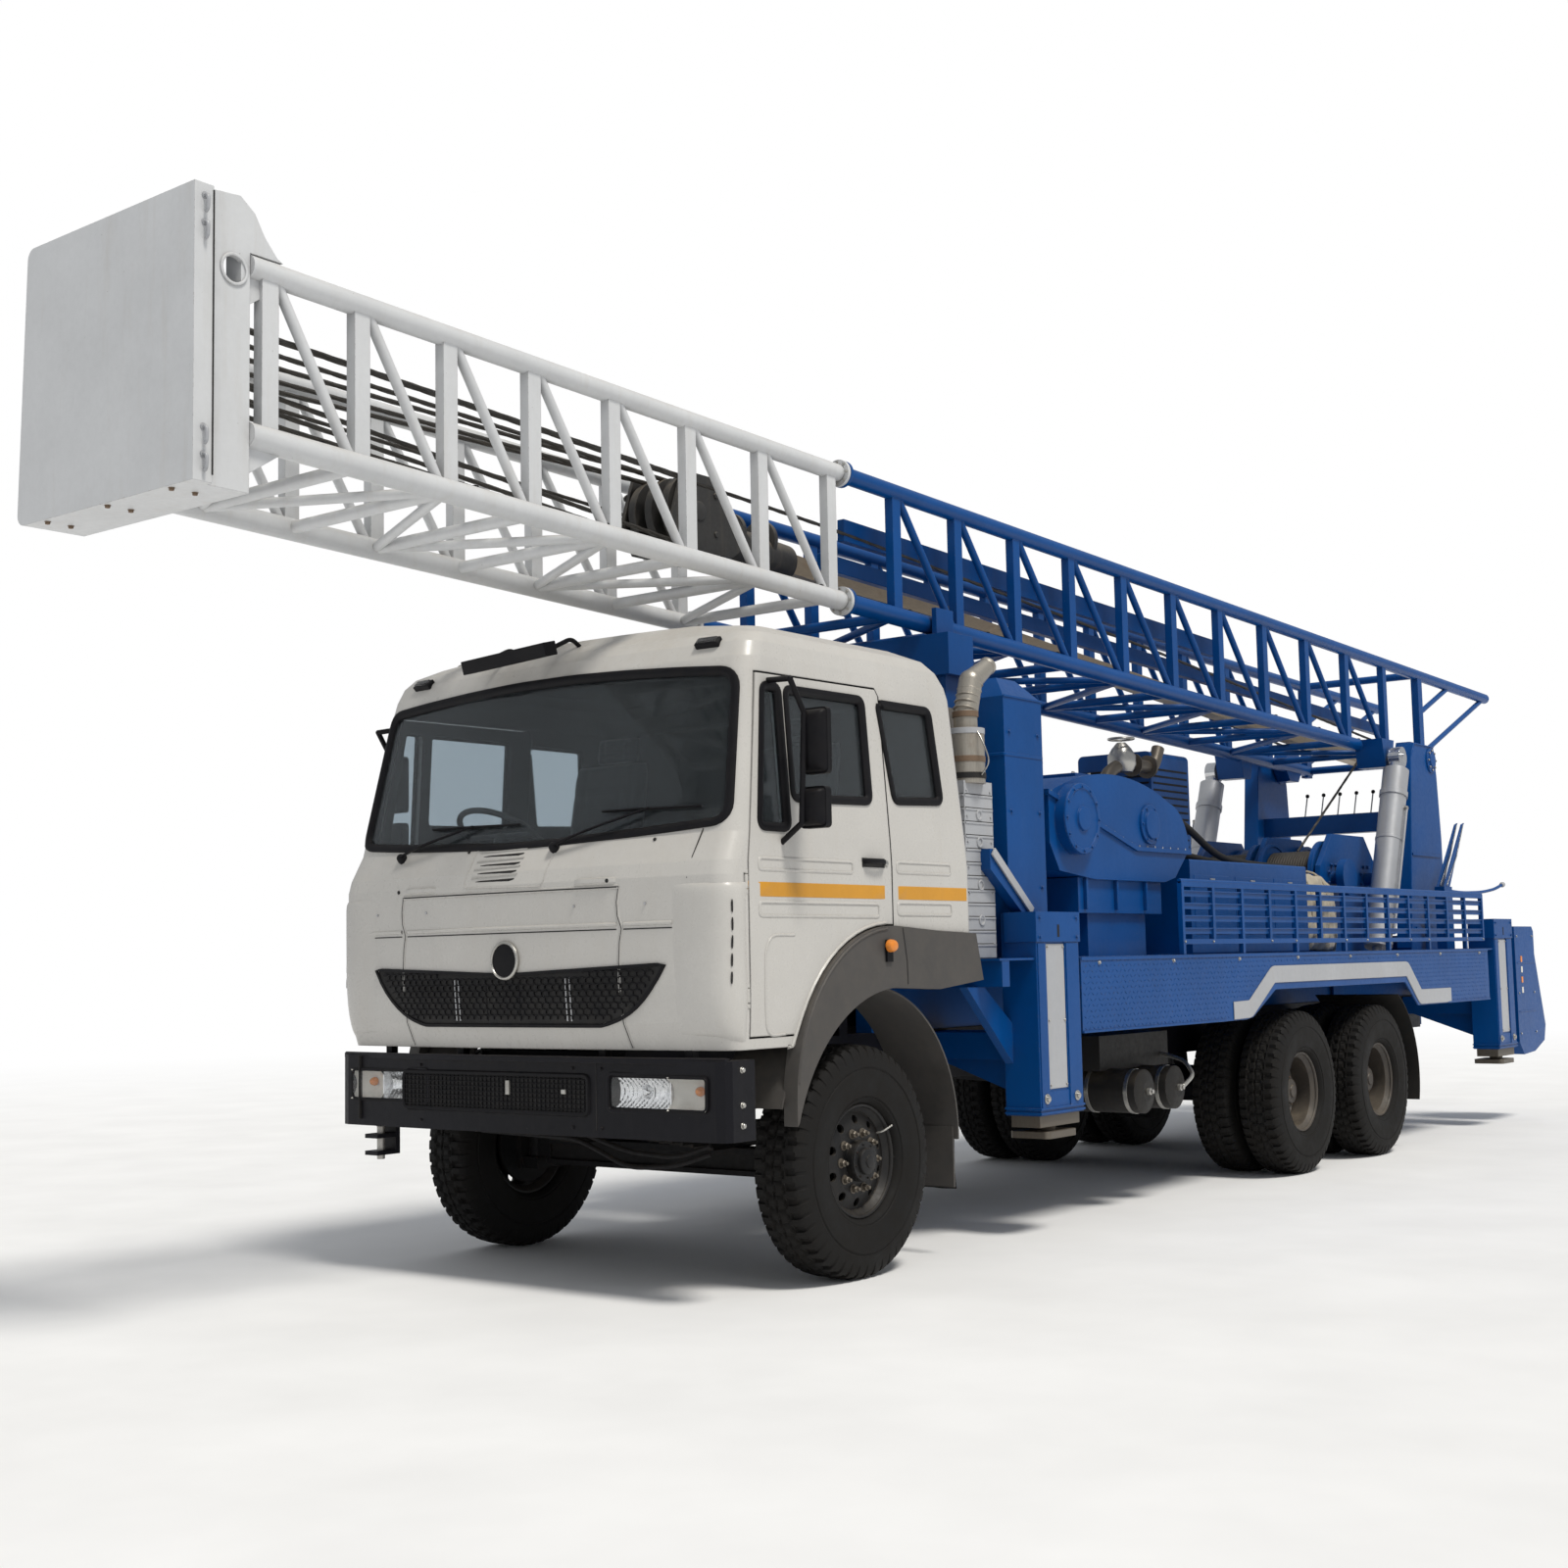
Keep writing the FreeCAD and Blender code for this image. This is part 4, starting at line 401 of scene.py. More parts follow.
def softened(points, radius, steps=5, closed=False):
    """The polyline through points with its corners rounded."""
    points = [Vector(p) for p in points]
    out = []
    for i, corner in enumerate(points):
        if not closed and i in (0, len(points) - 1):
            out.append(corner)
            continue
        before = points[i - 1] - corner
        after = points[(i + 1) % len(points)] - corner
        reach = min(radius, before.length * 0.48, after.length * 0.48)
        start, end = corner + before.normalized() * reach, corner + after.normalized() * reach
        for k in range(steps + 1):
            t = k / steps
            out.append(start * (1 - t) ** 2 + corner * 2 * t * (1 - t) + end * t ** 2)
    return out


class Piece:
    """One visible piece, modelled in the row frame out of closed shapes with their own finishes."""

    def __init__(self):
        self.points, self.faces, self.marks, self.finishes = [], [], [], []

    def add(self, points, faces, finish):
        if finish not in self.finishes:
            self.finishes.append(finish)
        first = len(self.points)
        self.points += [Vector(p) for p in points]
        self.faces += [[first + i for i in face] for face in faces]
        self.marks += [self.finishes.index(finish)] * len(faces)

    def grid(self, rows, finish, round_u=False, round_v=False, caps=False):
        """Faces between rows of points. round_u joins each row's ends, round_v the first and last row."""
        wide, deep = len(rows[0]), len(rows)
        faces = []
        for j in range(deep if round_v else deep - 1):
            for i in range(wide if round_u else wide - 1):
                k, n = (j + 1) % deep, (i + 1) % wide
                faces.append([j * wide + i, j * wide + n, k * wide + n, k * wide + i])
        if caps:
            faces += [list(range(wide))[::-1], [(deep - 1) * wide + i for i in range(wide)]]
        self.add([p for row in rows for p in row], faces, finish)

    def box(self, low, high, finish, turn=None):
        low, high = Vector(map(min, low, high)), Vector(map(max, low, high))
        middle = (low + high) / 2
        corners = [Vector((x, y, z)) for z in (low.z, high.z)
                   for x, y in ((low.x, low.y), (high.x, low.y), (high.x, high.y), (low.x, high.y))]
        if turn is not None:
            corners = [middle + turn @ (c - middle) for c in corners]
        self.grid([corners[:4], corners[4:]], finish, round_u=True, caps=True)

    def block(self, middle, half, finish, turn=None):
        """A box given by its middle and half its size."""
        self.box(middle - Vector(half), middle + Vector(half), finish, turn)

    def sweep(self, path, profile, finish, normals=None, closed=False):
        """profile's (across, out) outline carried along path; out follows normals or stays steady."""
        path = [Vector(p) for p in path]
        rows, out = [], None
        for i, point in enumerate(path):
            back = path[i - 1] if closed or i else point
            ahead = path[(i + 1) % len(path)] if closed or i < len(path) - 1 else point
            run = (ahead - back).normalized()
            if normals:
                out = Vector(normals[i])
            elif out is None:
                out = Vector(UP) if abs(run.z) < 0.9 else Vector((1, 0, 0))
            out = (out - run * out.dot(run)).normalized()
            across = run.cross(out)
            rows.append([point + across * a + out * b for a, b in profile])
        self.grid(rows, finish, round_u=True, round_v=closed, caps=not closed)

    def tube(self, path, radius, finish, sides=10, closed=False):
        ring = [(radius * math.cos(math.tau * i / sides), radius * math.sin(math.tau * i / sides))
                for i in range(sides)]
        self.sweep(path, ring, finish, closed=closed)

    def bar(self, start, end, width, depth, finish, out=UP):
        """A square-edged bar, depth along out."""
        self.sweep([start, end], flat(width / 2, depth / 2, low=-depth / 2), finish, normals=[out, out])

    def lathe(self, profile, origin, axis, finish, sides=28, ring=False):
        """The (along, radius) profile turned about axis. A ring's profile is a closed outline."""
        origin, axis = Vector(origin), Vector(axis).normalized()
        across = axis.orthogonal().normalized()
        other = axis.cross(across)
        rows = []
        for i in range(sides):
            angle = math.tau * i / sides
            spoke = across * math.cos(angle) + other * math.sin(angle)
            rows.append([origin + axis * a + spoke * r for a, r in profile])
        self.grid(rows, finish, round_u=ring, round_v=True)
        for k in () if ring else (0, -1):
            if profile[k][1] > 1e-5:
                rim = [row[k] for row in rows]
                self.add(rim, [list(range(sides))], finish)

    def bolt(self, place, out, size, finish, washer=True):
        """A hexagon head on its washer, standing on place."""
        place, out = Vector(place), Vector(out).normalized()
        if washer:
            self.lathe([(-0.002, size * 1.25), (size * 0.22, size * 1.2)], place, out, finish, sides=16)
        self.lathe([(0, size), (size * 0.95, size), (size * 1.1, size * 0.85)], place, out, finish, sides=6)

    def made(self, name, body, slot, bevel=0.0, angle=35):
        """The object itself, riding on its body. The slot argument is not used."""
        mesh = bpy.data.meshes.new(name)
        mesh.from_pydata(self.points, [], self.faces)
        for finish in self.finishes:
            mesh.materials.append(FINISH[finish])
        mesh.polygons.foreach_set("material_index", self.marks)
        work = bmesh.new()
        work.from_mesh(mesh)
        bmesh.ops.remove_doubles(work, verts=work.verts, dist=1e-6)
        bmesh.ops.recalc_face_normals(work, faces=work.faces)
        work.to_mesh(mesh)
        work.free()
        mesh.shade_smooth()
        mesh.set_sharp_from_angle(angle=math.radians(angle))
        piece = bpy.data.objects.new(name, mesh)
        bpy.context.scene.collection.objects.link(piece)
        if bevel:
            edges = piece.modifiers.new("edges", "BEVEL")
            edges.width = bevel
            edges.segments = 2
            edges.limit_method = "ANGLE"
            edges.angle_limit = math.radians(50)
        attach(piece, body)
        return piece


def at(x, station, z):
    """The point at a station, which is metres behind the vehicle's start line."""
    return Vector((x, ORIGIN_Y + station, z))


def flat(half, top, upper=None, low=-0.002):
    """Outline of a flat band, (across, out): half its width, and upper that of its narrower face."""
    upper = half if upper is None else upper
    return [(-half, low), (half, low), (upper, top), (-upper, top)]


def collar(start, end, inner, outer):
    """Closed outline of a plain ring, (along, radius)."""
    return [(start, inner), (start, outer), (end, outer), (end, inner)]


def laid(drops):
    """Places and normals of dropped points, apart."""
    return [place for place, _ in drops], [normal for _, normal in drops]


def seam(piece, drops, width, lips=None):
    """A dark panel gap, with a rolled lip on each side where lips names their finish."""
    path, normals = laid(drops)
    piece.sweep(path, flat(width / 2, 0.0013), "gap_and_shade_dark", normals)
    for side in (-1, 1) if lips else ():
        near, far, top = side * width / 2, side * (width / 2 + 0.012), side * (width / 2 + 0.003)
        piece.sweep(path, [(near, -0.002), (far, -0.002), (top, 0.0030), (near, 0.0024)], lips, normals)


def ridge(piece, drops, width, height, finish):
    """A rounded bead pressed out of a panel."""
    path, normals = laid(drops)
    piece.sweep(path, [(-width / 2, -0.002), (width / 2, -0.002), (width * 0.3, height * 0.6),
                       (width * 0.12, height), (-width * 0.12, height), (-width * 0.3, height * 0.6)],
                finish, normals)


def pocket(piece, drops, depth, ramp, finish):
    """A closed outline whose panel falls away outside and drops steeply inside, as round a pressed recess.
    drops runs with the recess on the right of its direction."""
    path, normals = laid(drops)
    piece.sweep(path, [(0.006, -0.002), (0.002, depth * 0.9), (-0.003, depth), (-ramp * 0.5, depth * 0.45),
                       (-ramp, -0.002)], finish, normals, closed=True)


def patch(piece, grid_of_drops, height, finish):
    """A panel lying on the skin: rows of drops, raised by height with its edges turned down."""
    rows = []
    deep, wide = len(grid_of_drops), len(grid_of_drops[0])
    for j, row in enumerate(grid_of_drops):
        line = []
        for i, (place, normal) in enumerate(row):
            rim = i in (0, wide - 1) or j in (0, deep - 1)
            line.append(place + normal * (-0.002 if rim else height))
        rows.append(line)
    piece.grid(rows, finish)


# ---------------------------------------------------------------- wheels
FRONT_LOW, FRONT_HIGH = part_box("front_tyre_left")
TYRE_R = (FRONT_HIGH.z - FRONT_LOW.z) / 2
BEAD_R = 0.258
REAR_WIDTH = 0.275              # of one tyre of a pair
PITCHES = 50                    # tread pitches round a tyre
# where the mesh is divided: round one pitch, and across from the tread's edge to near its middle
TURNS = (0.0, 0.03, 0.27, 0.31, 0.50, 0.62, 0.66, 0.72)
SHARES = (-1.0, -0.84, -0.64, -0.60, -0.50, -0.46, -0.38, -0.34, -0.10, -0.06)
# ribbed sidewall: in from the tyre's edge, and out from its bead
WALL = ((0.046, 0.001), (0.034, 0.004), (0.020, 0.016), (0.016, 0.022), (0.017, 0.030), (0.011, 0.034),
        (0.005, 0.075), (0.001, 0.105), (0.0, 0.130), (0.001, 0.150), (0.005, 0.154), (0.005, 0.160),
        (0.001, 0.165))
SHOULDER = ((0.010, 0.050), (0.018, 0.026), (0.030, 0.012))     # in from the edge, and in from the tread
RIM_LIP = ((0, 0.2485), (0.004, 0.2565), (0.009, 0.2565), (0.012, 0.2520), (0.008, 0.2440), (0, 0.2400))


def turned(centre, x, radius, angle):
    """A point about the X axis through centre."""
    return centre + Vector((x, radius * math.cos(angle), radius * math.sin(angle)))


def ring_places(centre, radius, count, start=0.0):
    """Even places on a circle about the X axis."""
    return [turned(centre, 0, radius, start + math.tau * i / count) for i in range(count)]


def bolt_circle(piece, centre, radius, count, out, size, finish, start=0.0, washer=True):
    for place in ring_places(centre, radius, count, start):
        piece.bolt(place, out, size, finish, washer)


def tread_depth(turn, share):
    """Depth of the pattern at turn through one pitch. share is None on the sidewalls, past 1 on the
    shoulders, and from -1 to 1 across the tread."""
    if share is None:
        return 0.0
    side = abs(share)
    if side > 1:
        return 0.010 if 0.03 <= turn < 0.30 else 0.0
    zigzag = 0.035 * (1 if turn < 0.5 else -1)
    if abs(share - zigzag) < 0.045 or abs(side - 0.42 - zigzag) < 0.05:
        return 0.013
    if side > 0.62 and turn < 0.30:
        return 0.014
    if side < 0.40 and 0.62 < turn < 0.72:
        return 0.006
    return 0.0


def tyre_profile(half):
    """Points over a tyre from bead to bead: across, radius, and share as in tread_depth."""
    left = [(inset - half, BEAD_R + rise, None) for inset,
            rise in WALL] + [(0.006 - half, TYRE_R - 0.070, None)]
    left += [(inset - half, TYRE_R - fall, -1.1) for inset, fall in SHOULDER]
    left += [((half - 0.036) * share, TYRE_R - 0.007 * abs(share) ** 3, share) for share in SHARES]
    return left + [(-x, radius, None if share is None else -share) for x, radius, share in reversed(left)]


def add_tyre(piece, centre, width):
    """A tyre about the X axis, with ribbed sidewalls, tread blocks and grooves."""
    half, sides = width / 2, 64
    profile = tyre_profile(half)
    rows = []
    for k in range(PITCHES):
        for turn in TURNS:
            angle = math.tau * (k + turn) / PITCHES
            rows.append([turned(centre, x, radius - tread_depth(turn, share), angle) for x, radius,
                         share in profile])
    piece.grid(rows, "tyre", round_v=True)
    inner = [(half - 0.046, BEAD_R + 0.001), (half - 0.075, BEAD_R + 0.02), (0.075 - half, BEAD_R + 0.02),
             (0.046 - half, BEAD_R + 0.001)]
    rows = [[turned(centre, x, radius, math.tau * i / sides) for x, radius in inner] for i in range(sides)]
    piece.grid(rows, "tyre", round_v=True)


def stud_ring(piece, centre, radius, count, out, size, finish):
    """Wheel nuts on their studs: each a washer, a hexagon and a thread's end."""
    for place in ring_places(centre, radius, count):
        for profile, sides in (([(-0.004, size * 1.35), (0.003, size * 1.35), (0.004, size)], 18),
                               ([(0.003, size), (size * 1.3, size), (size * 1.5, size * 0.8)], 6),
                               ([(size, size * 0.5), (size * 2.3, size * 0.5), (size * 2.4, size * 0.4)],
                                10)):
            piece.lathe(profile, place, out, finish, sides)


def front_wheel(side, name):
    """Tyre, nuts, hub cap, rim lip and valve of one front wheel."""
    body, out = f"wheel_front_{name}", Vector((side, 0, 0))
    centre = Vector((side * (FRONT_LOW.x + FRONT_HIGH.x) / 2, (FRONT_LOW.y + FRONT_HIGH.y) / 2, TYRE_R))
    tyre = Piece()
    add_tyre(tyre, centre, FRONT_HIGH.x - FRONT_LOW.x)
    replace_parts(tyre.made(f"tread_front_{name}", body, "tyre", angle=28), f"front_tyre_{name}")
    trim = Piece()
    stud_ring(trim, centre + out * 0.078, 0.128, 10, out, 0.0165, "jack_steel")
    trim.lathe([(0, 0.090), (0.004, 0.0915), (0.009, 0.090), (0.010, 0.062)], centre + out * 0.113, out,
               "rim_black")
    bolt_circle(trim, centre + out * 0.121, 0.077, 8, out, 0.0055, "axle_iron", 0.2, washer=False)
    trim.lathe([(0, 0.060), (0.006, 0.058), (0.010, 0.050), (0.012, 0.030), (0.018, 0.028), (0.020, 0.020),
                (0.020, 0.0)], centre + out * 0.134, out, "rim_black")
    trim.lathe(RIM_LIP, centre + out * 0.088, out, "rim_black", sides=64, ring=True)
    valve = centre + Vector((side * 0.066, 0.17, 0.11))
    stem = [valve + Vector((side * x, y, z)) for x, y,
            z in ((0, 0, 0), (0.03, 0.012, 0.008), (0.055, 0.05, 0.034))]
    trim.tube(softened(stem, 0.02), 0.0045, "bright_steel", sides=8)
    trim.made(f"wheel_trim_front_{name}", body, "rim_black")


def rear_wheels(side, name, axle):
    """Two tyres, nuts, hub cap and rim lip of one pair of rear wheels."""
    node, body, out = f"rear_tyres_{axle}_{name}", f"wheel_rear_{axle}_{name}", Vector((side, 0, 0))
    low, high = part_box(node)
    centre = Vector(((low.x + high.x) / 2, (low.y + high.y) / 2, TYRE_R))
    reach = out * (high.x - low.x - REAR_WIDTH) / 2
    tyres = Piece()
    for middle in (centre + reach, centre - reach):
        add_tyre(tyres, middle, REAR_WIDTH)
    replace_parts(tyres.made(f"tread_rear_{axle}_{name}", body, "tyre", angle=28), node)
    trim = Piece()
    stud_ring(trim, centre + out * 0.060, 0.1345, 10, out, 0.0150, "rusty_steel")
    bolt_circle(trim, centre + out * 0.160, 0.092, 10, out, 0.007, "rusty_steel", 0.1, washer=False)
    trim.lathe([(0, 0.080), (0.008, 0.078), (0.012, 0.070), (0.013, 0.042), (0.022, 0.038), (0.024, 0.0)],
               centre + out * 0.176, out, "rim_grey")
    trim.lathe(RIM_LIP, centre + reach + out * 0.0865, out, "rim_grey", sides=64, ring=True)
    trim.made(f"wheel_trim_rear_{axle}_{name}", body, "rim_grey")


def wheels():
    for side, name in SIDES:
        front_wheel(side, name)
        for axle in (1, 2):
            rear_wheels(side, name, axle)


# ---------------------------------------------------------------- cab
CAB = Skin("cab_shell", "door_left", "door_right")
SCREEN = Skin("cab_glass")
FLARES = Skin("mudguards")
PUMP = Skin("mud_pump")
SEAL = [(0.020, -0.001), (0.018, 0.007), (0.004, 0.011), (-0.012, 0.007), (-0.022, -0.004), (-0.022, -0.020),
        (-0.004, -0.020), (-0.004, -0.001)]     # outline of a window's rubber, across and out
SEAL_MARGIN = 0.012
HOOD_EDGES = (-0.728, 0.655)
HOOD_TOP, HOOD_FOOT = 1.766, 1.075
GRILLE_MIDDLE, GRILLE_EDGES = -0.02, (-0.938, 0.898)
ARCH = (ORIGIN_Y + 0.220, 0.830)                # y and height of the front wheel arch's centre
# x and y round a corner, from the front panel to the door seam
CORNER_GUIDE = ((0.945, -5.10), (1.02, -5.10), (1.10, -5.08), (1.18, -5.04), (1.235, -4.99), (1.27, -4.94),
                (1.30, -4.90), (1.32, -4.86), (1.33, -4.832))
CORNER_HEIGHTS = (1.085, 1.10, 1.20, 1.32, 1.45, 1.58, 1.70, 1.752, 1.768)
QUARTER_LIGHT = ((-0.712, 2.02), (-0.520, 2.02), (-0.520, 2.62), (-0.625, 2.62))    # station and height
DOOR_WINDOW = ((-0.455, 2.150), (0.105, 2.165), (0.105, 2.625), (-0.455, 2.620))
SLEEPER_WINDOW = ((0.325, 2.180), (0.705, 2.195), (0.665, 2.620), (0.250, 2.620))


def screen_outline():
    """Windscreen opening, x and z, counter-clockwise from the lower left corner."""
    bottom = [(x, 1.992 + 0.042 * (x / 1.15) ** 2)
              for x in (-1.15, -0.9, -0.6, -0.3, 0, 0.3, 0.6, 0.9, 1.15)]
    top = [(x, 2.733 - 0.045 * (x / 1.094) ** 2) for x in (1.094, 0.8, 0.5, 0.2, -0.2, -0.5, -0.8, -1.094)]
    return softened([Vector((x, 0, z)) for x, z in bottom + top], 0.08, steps=6, closed=True)


def opening_seal(piece, outline, drop):
    """A rubber profile round an opening, seated on the panel just outside it."""
    middle = sum(outline, Vector()) / len(outline)
    path, normals = laid([drop(point + (point - middle).normalized() * SEAL_MARGIN) for point in outline])
    centre = sum(path, Vector()) / len(path)
    turn = sum(((a - centre).cross(b - centre) for a, b in zip(path, path[1:])), Vector())
    flip = 1 if turn.dot(normals[0]) > 0 else -1
    piece.sweep(path, [(flip * a, b) for a, b in SEAL], "trim_black", normals, closed=True)


def air_slots(piece):
    """Four slots below the windscreen, each a dark strip of painted shade under a pressed bead, and the
    beaded edge of their panel.
    """
    for z, low in ((1.947, 0.0), (1.905, 0.004), (1.868, 0.008), (1.831, 0.012)):
        across = spread(-0.245 - low * 0.4, 0.060 - low * 1.4, 6)
        # the slot's opening is a dark raised strip: painted shade
        rows = [[CAB.front(x + 0.012 * share, z - 0.008 + (0.009 + 0.017 * i / 6) * (share - 0.5))
                 for i, x in enumerate(across)] for share in (0.0, 0.5, 1.0)]
        patch(piece, rows, 0.0025, "gap_and_shade_dark")
        bead = [CAB.front(x, z + 0.010 + 0.006 * i / 6) for i, x in enumerate(across)]
        ridge(piece, bead, 0.008, 0.005, "cab_white")
    corners = [Vector((x, 0, z)) for x, z in ((-0.30, 1.795), (0.21, 1.785), (0.245, 1.975), (-0.27, 1.985))]
    panel = softened(corners, 0.03, closed=True)
    ridge(piece, [CAB.front(p.x, p.z) for p in along(panel + panel[:1], 0.06)], 0.010, 0.0025, "cab_white")


def hood_seams(piece):
    """Gaps round the front hatch, and the bead and gap across the whole front."""
    seam(piece, [CAB.front(x, HOOD_TOP) for x in spread(*HOOD_EDGES, 24)], 0.006, lips="cab_white")
    sway = ((HOOD_TOP, 0), (1.70, -0.012), (1.64, -0.008), (1.585, 0.014), (1.53, 0.002), (1.44, -0.004),
            (1.30, 0.0), (1.18, 0.006), (HOOD_FOOT, 0.03))
    for edge in HOOD_EDGES:
        line = along([Vector((edge + shift, 0, z)) for z, shift in sway], 0.03)
        seam(piece, [CAB.front(p.x, p.z) for p in line], 0.005, lips="cab_white")
    for first, last in ((-1.02, -0.742), (-0.70, 0.64), (0.68, 0.94)):
        line = spread(first, last, max(2, round((last - first) / 0.05)))
        ridge(piece, [CAB.front(x, 1.605) for x in line], 0.022, 0.006, "cab_white")
        seam(piece, [CAB.front(x, 1.583) for x in line], 0.005)


def cab_front():
    """Windscreen seal, slots, seams, handles with their locks, and small fittings on the front."""
    piece = Piece()
    opening_seal(piece, screen_outline(), lambda p: CAB.front(p.x, p.z))
    air_slots(piece)
    hood_seams(piece)
    for x in (-0.56, 0.40, 0.80, -0.93):
        piece.bolt(*CAB.front(x, 1.69), 0.006, "silver_paint", washer=False)
    for x0, x1, lock in ((-0.72, -0.49, -0.765), (0.40, 0.645, 0.60)):
        rows = [[CAB.front(x, z) for x in spread(x0, x1, 8)] for z in (1.778, 1.786, 1.803, 1.811)]
        patch(piece, rows, 0.012, "cab_white")
        place, normal = CAB.front(lock, 1.794)
        lift = 0.011 if x0 < lock < x1 else 0.0
        piece.lathe([(0, 0.009), (0.003, 0.009), (0.004, 0.006)], place + normal * lift, normal, "gap_and_shade_dark",
                    14)
    for x in (-0.33, 0.80):
        place, normal = CAB.front(x, 1.965)
        piece.lathe([(0, 0.008), (0.004, 0.008), (0.006, 0.004)], place, normal, "gap_and_shade_dark", 12)
    seam(piece, [CAB.front(x, z) for x, z in ((1.02, 1.79), (1.03, 1.88), (1.045, 2.0))], 0.004)
    piece.made("cab_front_trim", "chassis", "cab_white")


def smile_bounds(x):
    """Lower and upper edge of the grille at x."""
    low_half, half, foot = 0.56, 0.92, 1.170
    reach = abs(x - GRILLE_MIDDLE)
    top = 1.43 - 0.035 * max(0.0, 1 - reach / half)
    if reach <= low_half:
        return foot, top
    share = (reach - low_half) / (half - low_half)
    return foot + (top - foot) * (0.30 * share + 0.70 * share ** 2.6), top


def in_grille(x, z):
    """True well inside the grille's edges."""
    low, high = smile_bounds(x)
    return -0.915 < x < 0.875 and low + 0.004 < z < high - 0.004


def honeycomb(piece):
    """Walls between the grille's cells; each cell adds the two above it and the one on its right."""
    pitch_x, pitch_z, shoulder = 0.044, 0.027, 0.0055
    for j in range(-1, 11):
        for i in range(-22, 23):
            x = GRILLE_MIDDLE + (i + (0.5 if j % 2 else 0.0)) * pitch_x
            z = 1.180 + j * pitch_z
            left, right = x - pitch_x / 2, x + pitch_x / 2
            corners = [(x, z + 0.012), (right, z + shoulder), (right, z - shoulder - 0.004)]
            if all(in_grille(a, b) for a, b in corners + [(left, z)]):
                path, normals = laid([CAB.front(a, b) for a, b in [(left, z + shoulder)] + corners])
                piece.sweep(path, flat(0.0022, 0.009, low=0.002), "trim_black", normals)


def grille():
    """A black honeycomb insert across the front on a dark sheet of painted shade, under a plain round boss.
    """
    piece = Piece()
    across = spread(*GRILLE_EDGES, 46)
    bounds = [(x, *smile_bounds(x)) for x in across]
    # dark sheet over the whole opening: painted shade for the space behind the cells
    rows = [[CAB.front(x, low + (high - low) * share) for x, low, high in bounds]
            for share in (0.0, 0.06, 0.5, 0.94, 1.0)]
    patch(piece, rows, 0.003, "gap_and_shade_dark")
    path, normals = laid([CAB.front(x, low) for x, low, _ in bounds] +
                         [CAB.front(x, high) for x, _, high in bounds[-2:0:-1]])
    piece.sweep(path, flat(0.008, 0.009, 0.007), "trim_black", normals, closed=True)
    honeycomb(piece)
    for x in (-0.36, -0.335, 0.345, 0.37, -0.15, 0.06):
        low, high = smile_bounds(x)
        path, normals = laid([CAB.front(x, z) for z in (low + 0.02, (low + high) / 2, high - 0.03)])
        finish = "trim_black" if abs(x) < 0.2 else "silver_paint"
        piece.sweep(path, flat(0.003, 0.005, low=0.001), finish, normals)
    place, normal = CAB.front(-0.021, 1.460)
    piece.lathe([(-0.02, 0.088), (0.012, 0.088), (0.017, 0.084), (0.018, 0.078), (0.012, 0.074)], place,
                normal, "bright_steel", 48, ring=True)
    piece.lathe([(-0.01, 0.0745), (0.0125, 0.0745), (0.0145, 0.05), (0.0150, 0.0)], place, normal,
                "trim_black", 48)
    piece.made("grille", "chassis", "trim_black")


def corner_slots(piece, side):
    """A broken line of five narrow slots down one corner panel, drawn as dark strips of painted shade."""
    for k in range(5):
        low, high = 1.335 + 0.075 * k, 1.397 + 0.075 * k
        path, normals = [], []
        for z in (low, (low + high) / 2, high):
            lean = 0.020 * (z - 1.5)
            place, normal = CAB.nearest((side * (1.262 + lean), -4.955 + lean, z))
            path.append(place + normal * 0.0145)
            normals.append(normal)
        # dark strip for the slot's opening: painted shade
        piece.sweep(path, flat(0.005, 0.003, low=0), "gap_and_shade_dark", normals)


def corner_panels():
    """Raised wind deflectors round the front corners."""
    last, top = len(CORNER_GUIDE) - 1, len(CORNER_HEIGHTS) - 1
    for side, name in SIDES:
        piece = Piece()
        rows = []
        for j, z in enumerate(CORNER_HEIGHTS):
            line = []
            for i, (x, y) in enumerate(CORNER_GUIDE):
                place, normal = CAB.nearest((side * x, y, z))
                fade = min(1.0, i / 1.6) * min(1.0, (last - i) / 0.8)
                fade *= min(1.0, j / 1.5) * min(1.0, (top - j) / 0.9)
                line.append(place + normal * (-0.001 + 0.016 * fade))
            rows.append(line)
        piece.grid(rows, "cab_white")
        corner_slots(piece, side)
        panel = piece.made(f"corner_panel_{name}", "chassis", "cab_white", angle=60)
        smooth = panel.modifiers.new("smooth", "SUBSURF")
        smooth.levels = smooth.render_levels = 1


def wiper(piece, pivot, heel, tip):
    """Pivot cap, cranked arm and blade, all lying just off the glass."""
    place, normal = CAB.front(*pivot)
    piece.lathe([(-0.005, 0.026), (0.012, 0.024), (0.028, 0.017), (0.034, 0.009), (0.035, 0.0)], place,
                normal, "trim_black", 20)
    (a, normal_a), (b, normal_b) = SCREEN.front(*heel), SCREEN.front(*tip)
    middle = (a + b) / 2
    start = place + normal * 0.026
    knee = start.lerp(middle, 0.35) + normal * 0.022
    arm = softened([start, knee, middle + normal_a * 0.034], 0.08)
    piece.sweep(arm, flat(0.008, 0.004, 0.006, -0.004), "trim_black")
    piece.sweep([a + normal_a * 0.006, b + normal_b * 0.006], flat(0.003, 0.012, 0.0045, 0), "rubber_black",
                [normal_a, normal_b])
    piece.sweep([a + normal_a * 0.018, middle + normal_a * 0.024, b + normal_b * 0.018],
                flat(0.006, 0.006, 0.003), "trim_black", [normal_a, normal_a, normal_b])


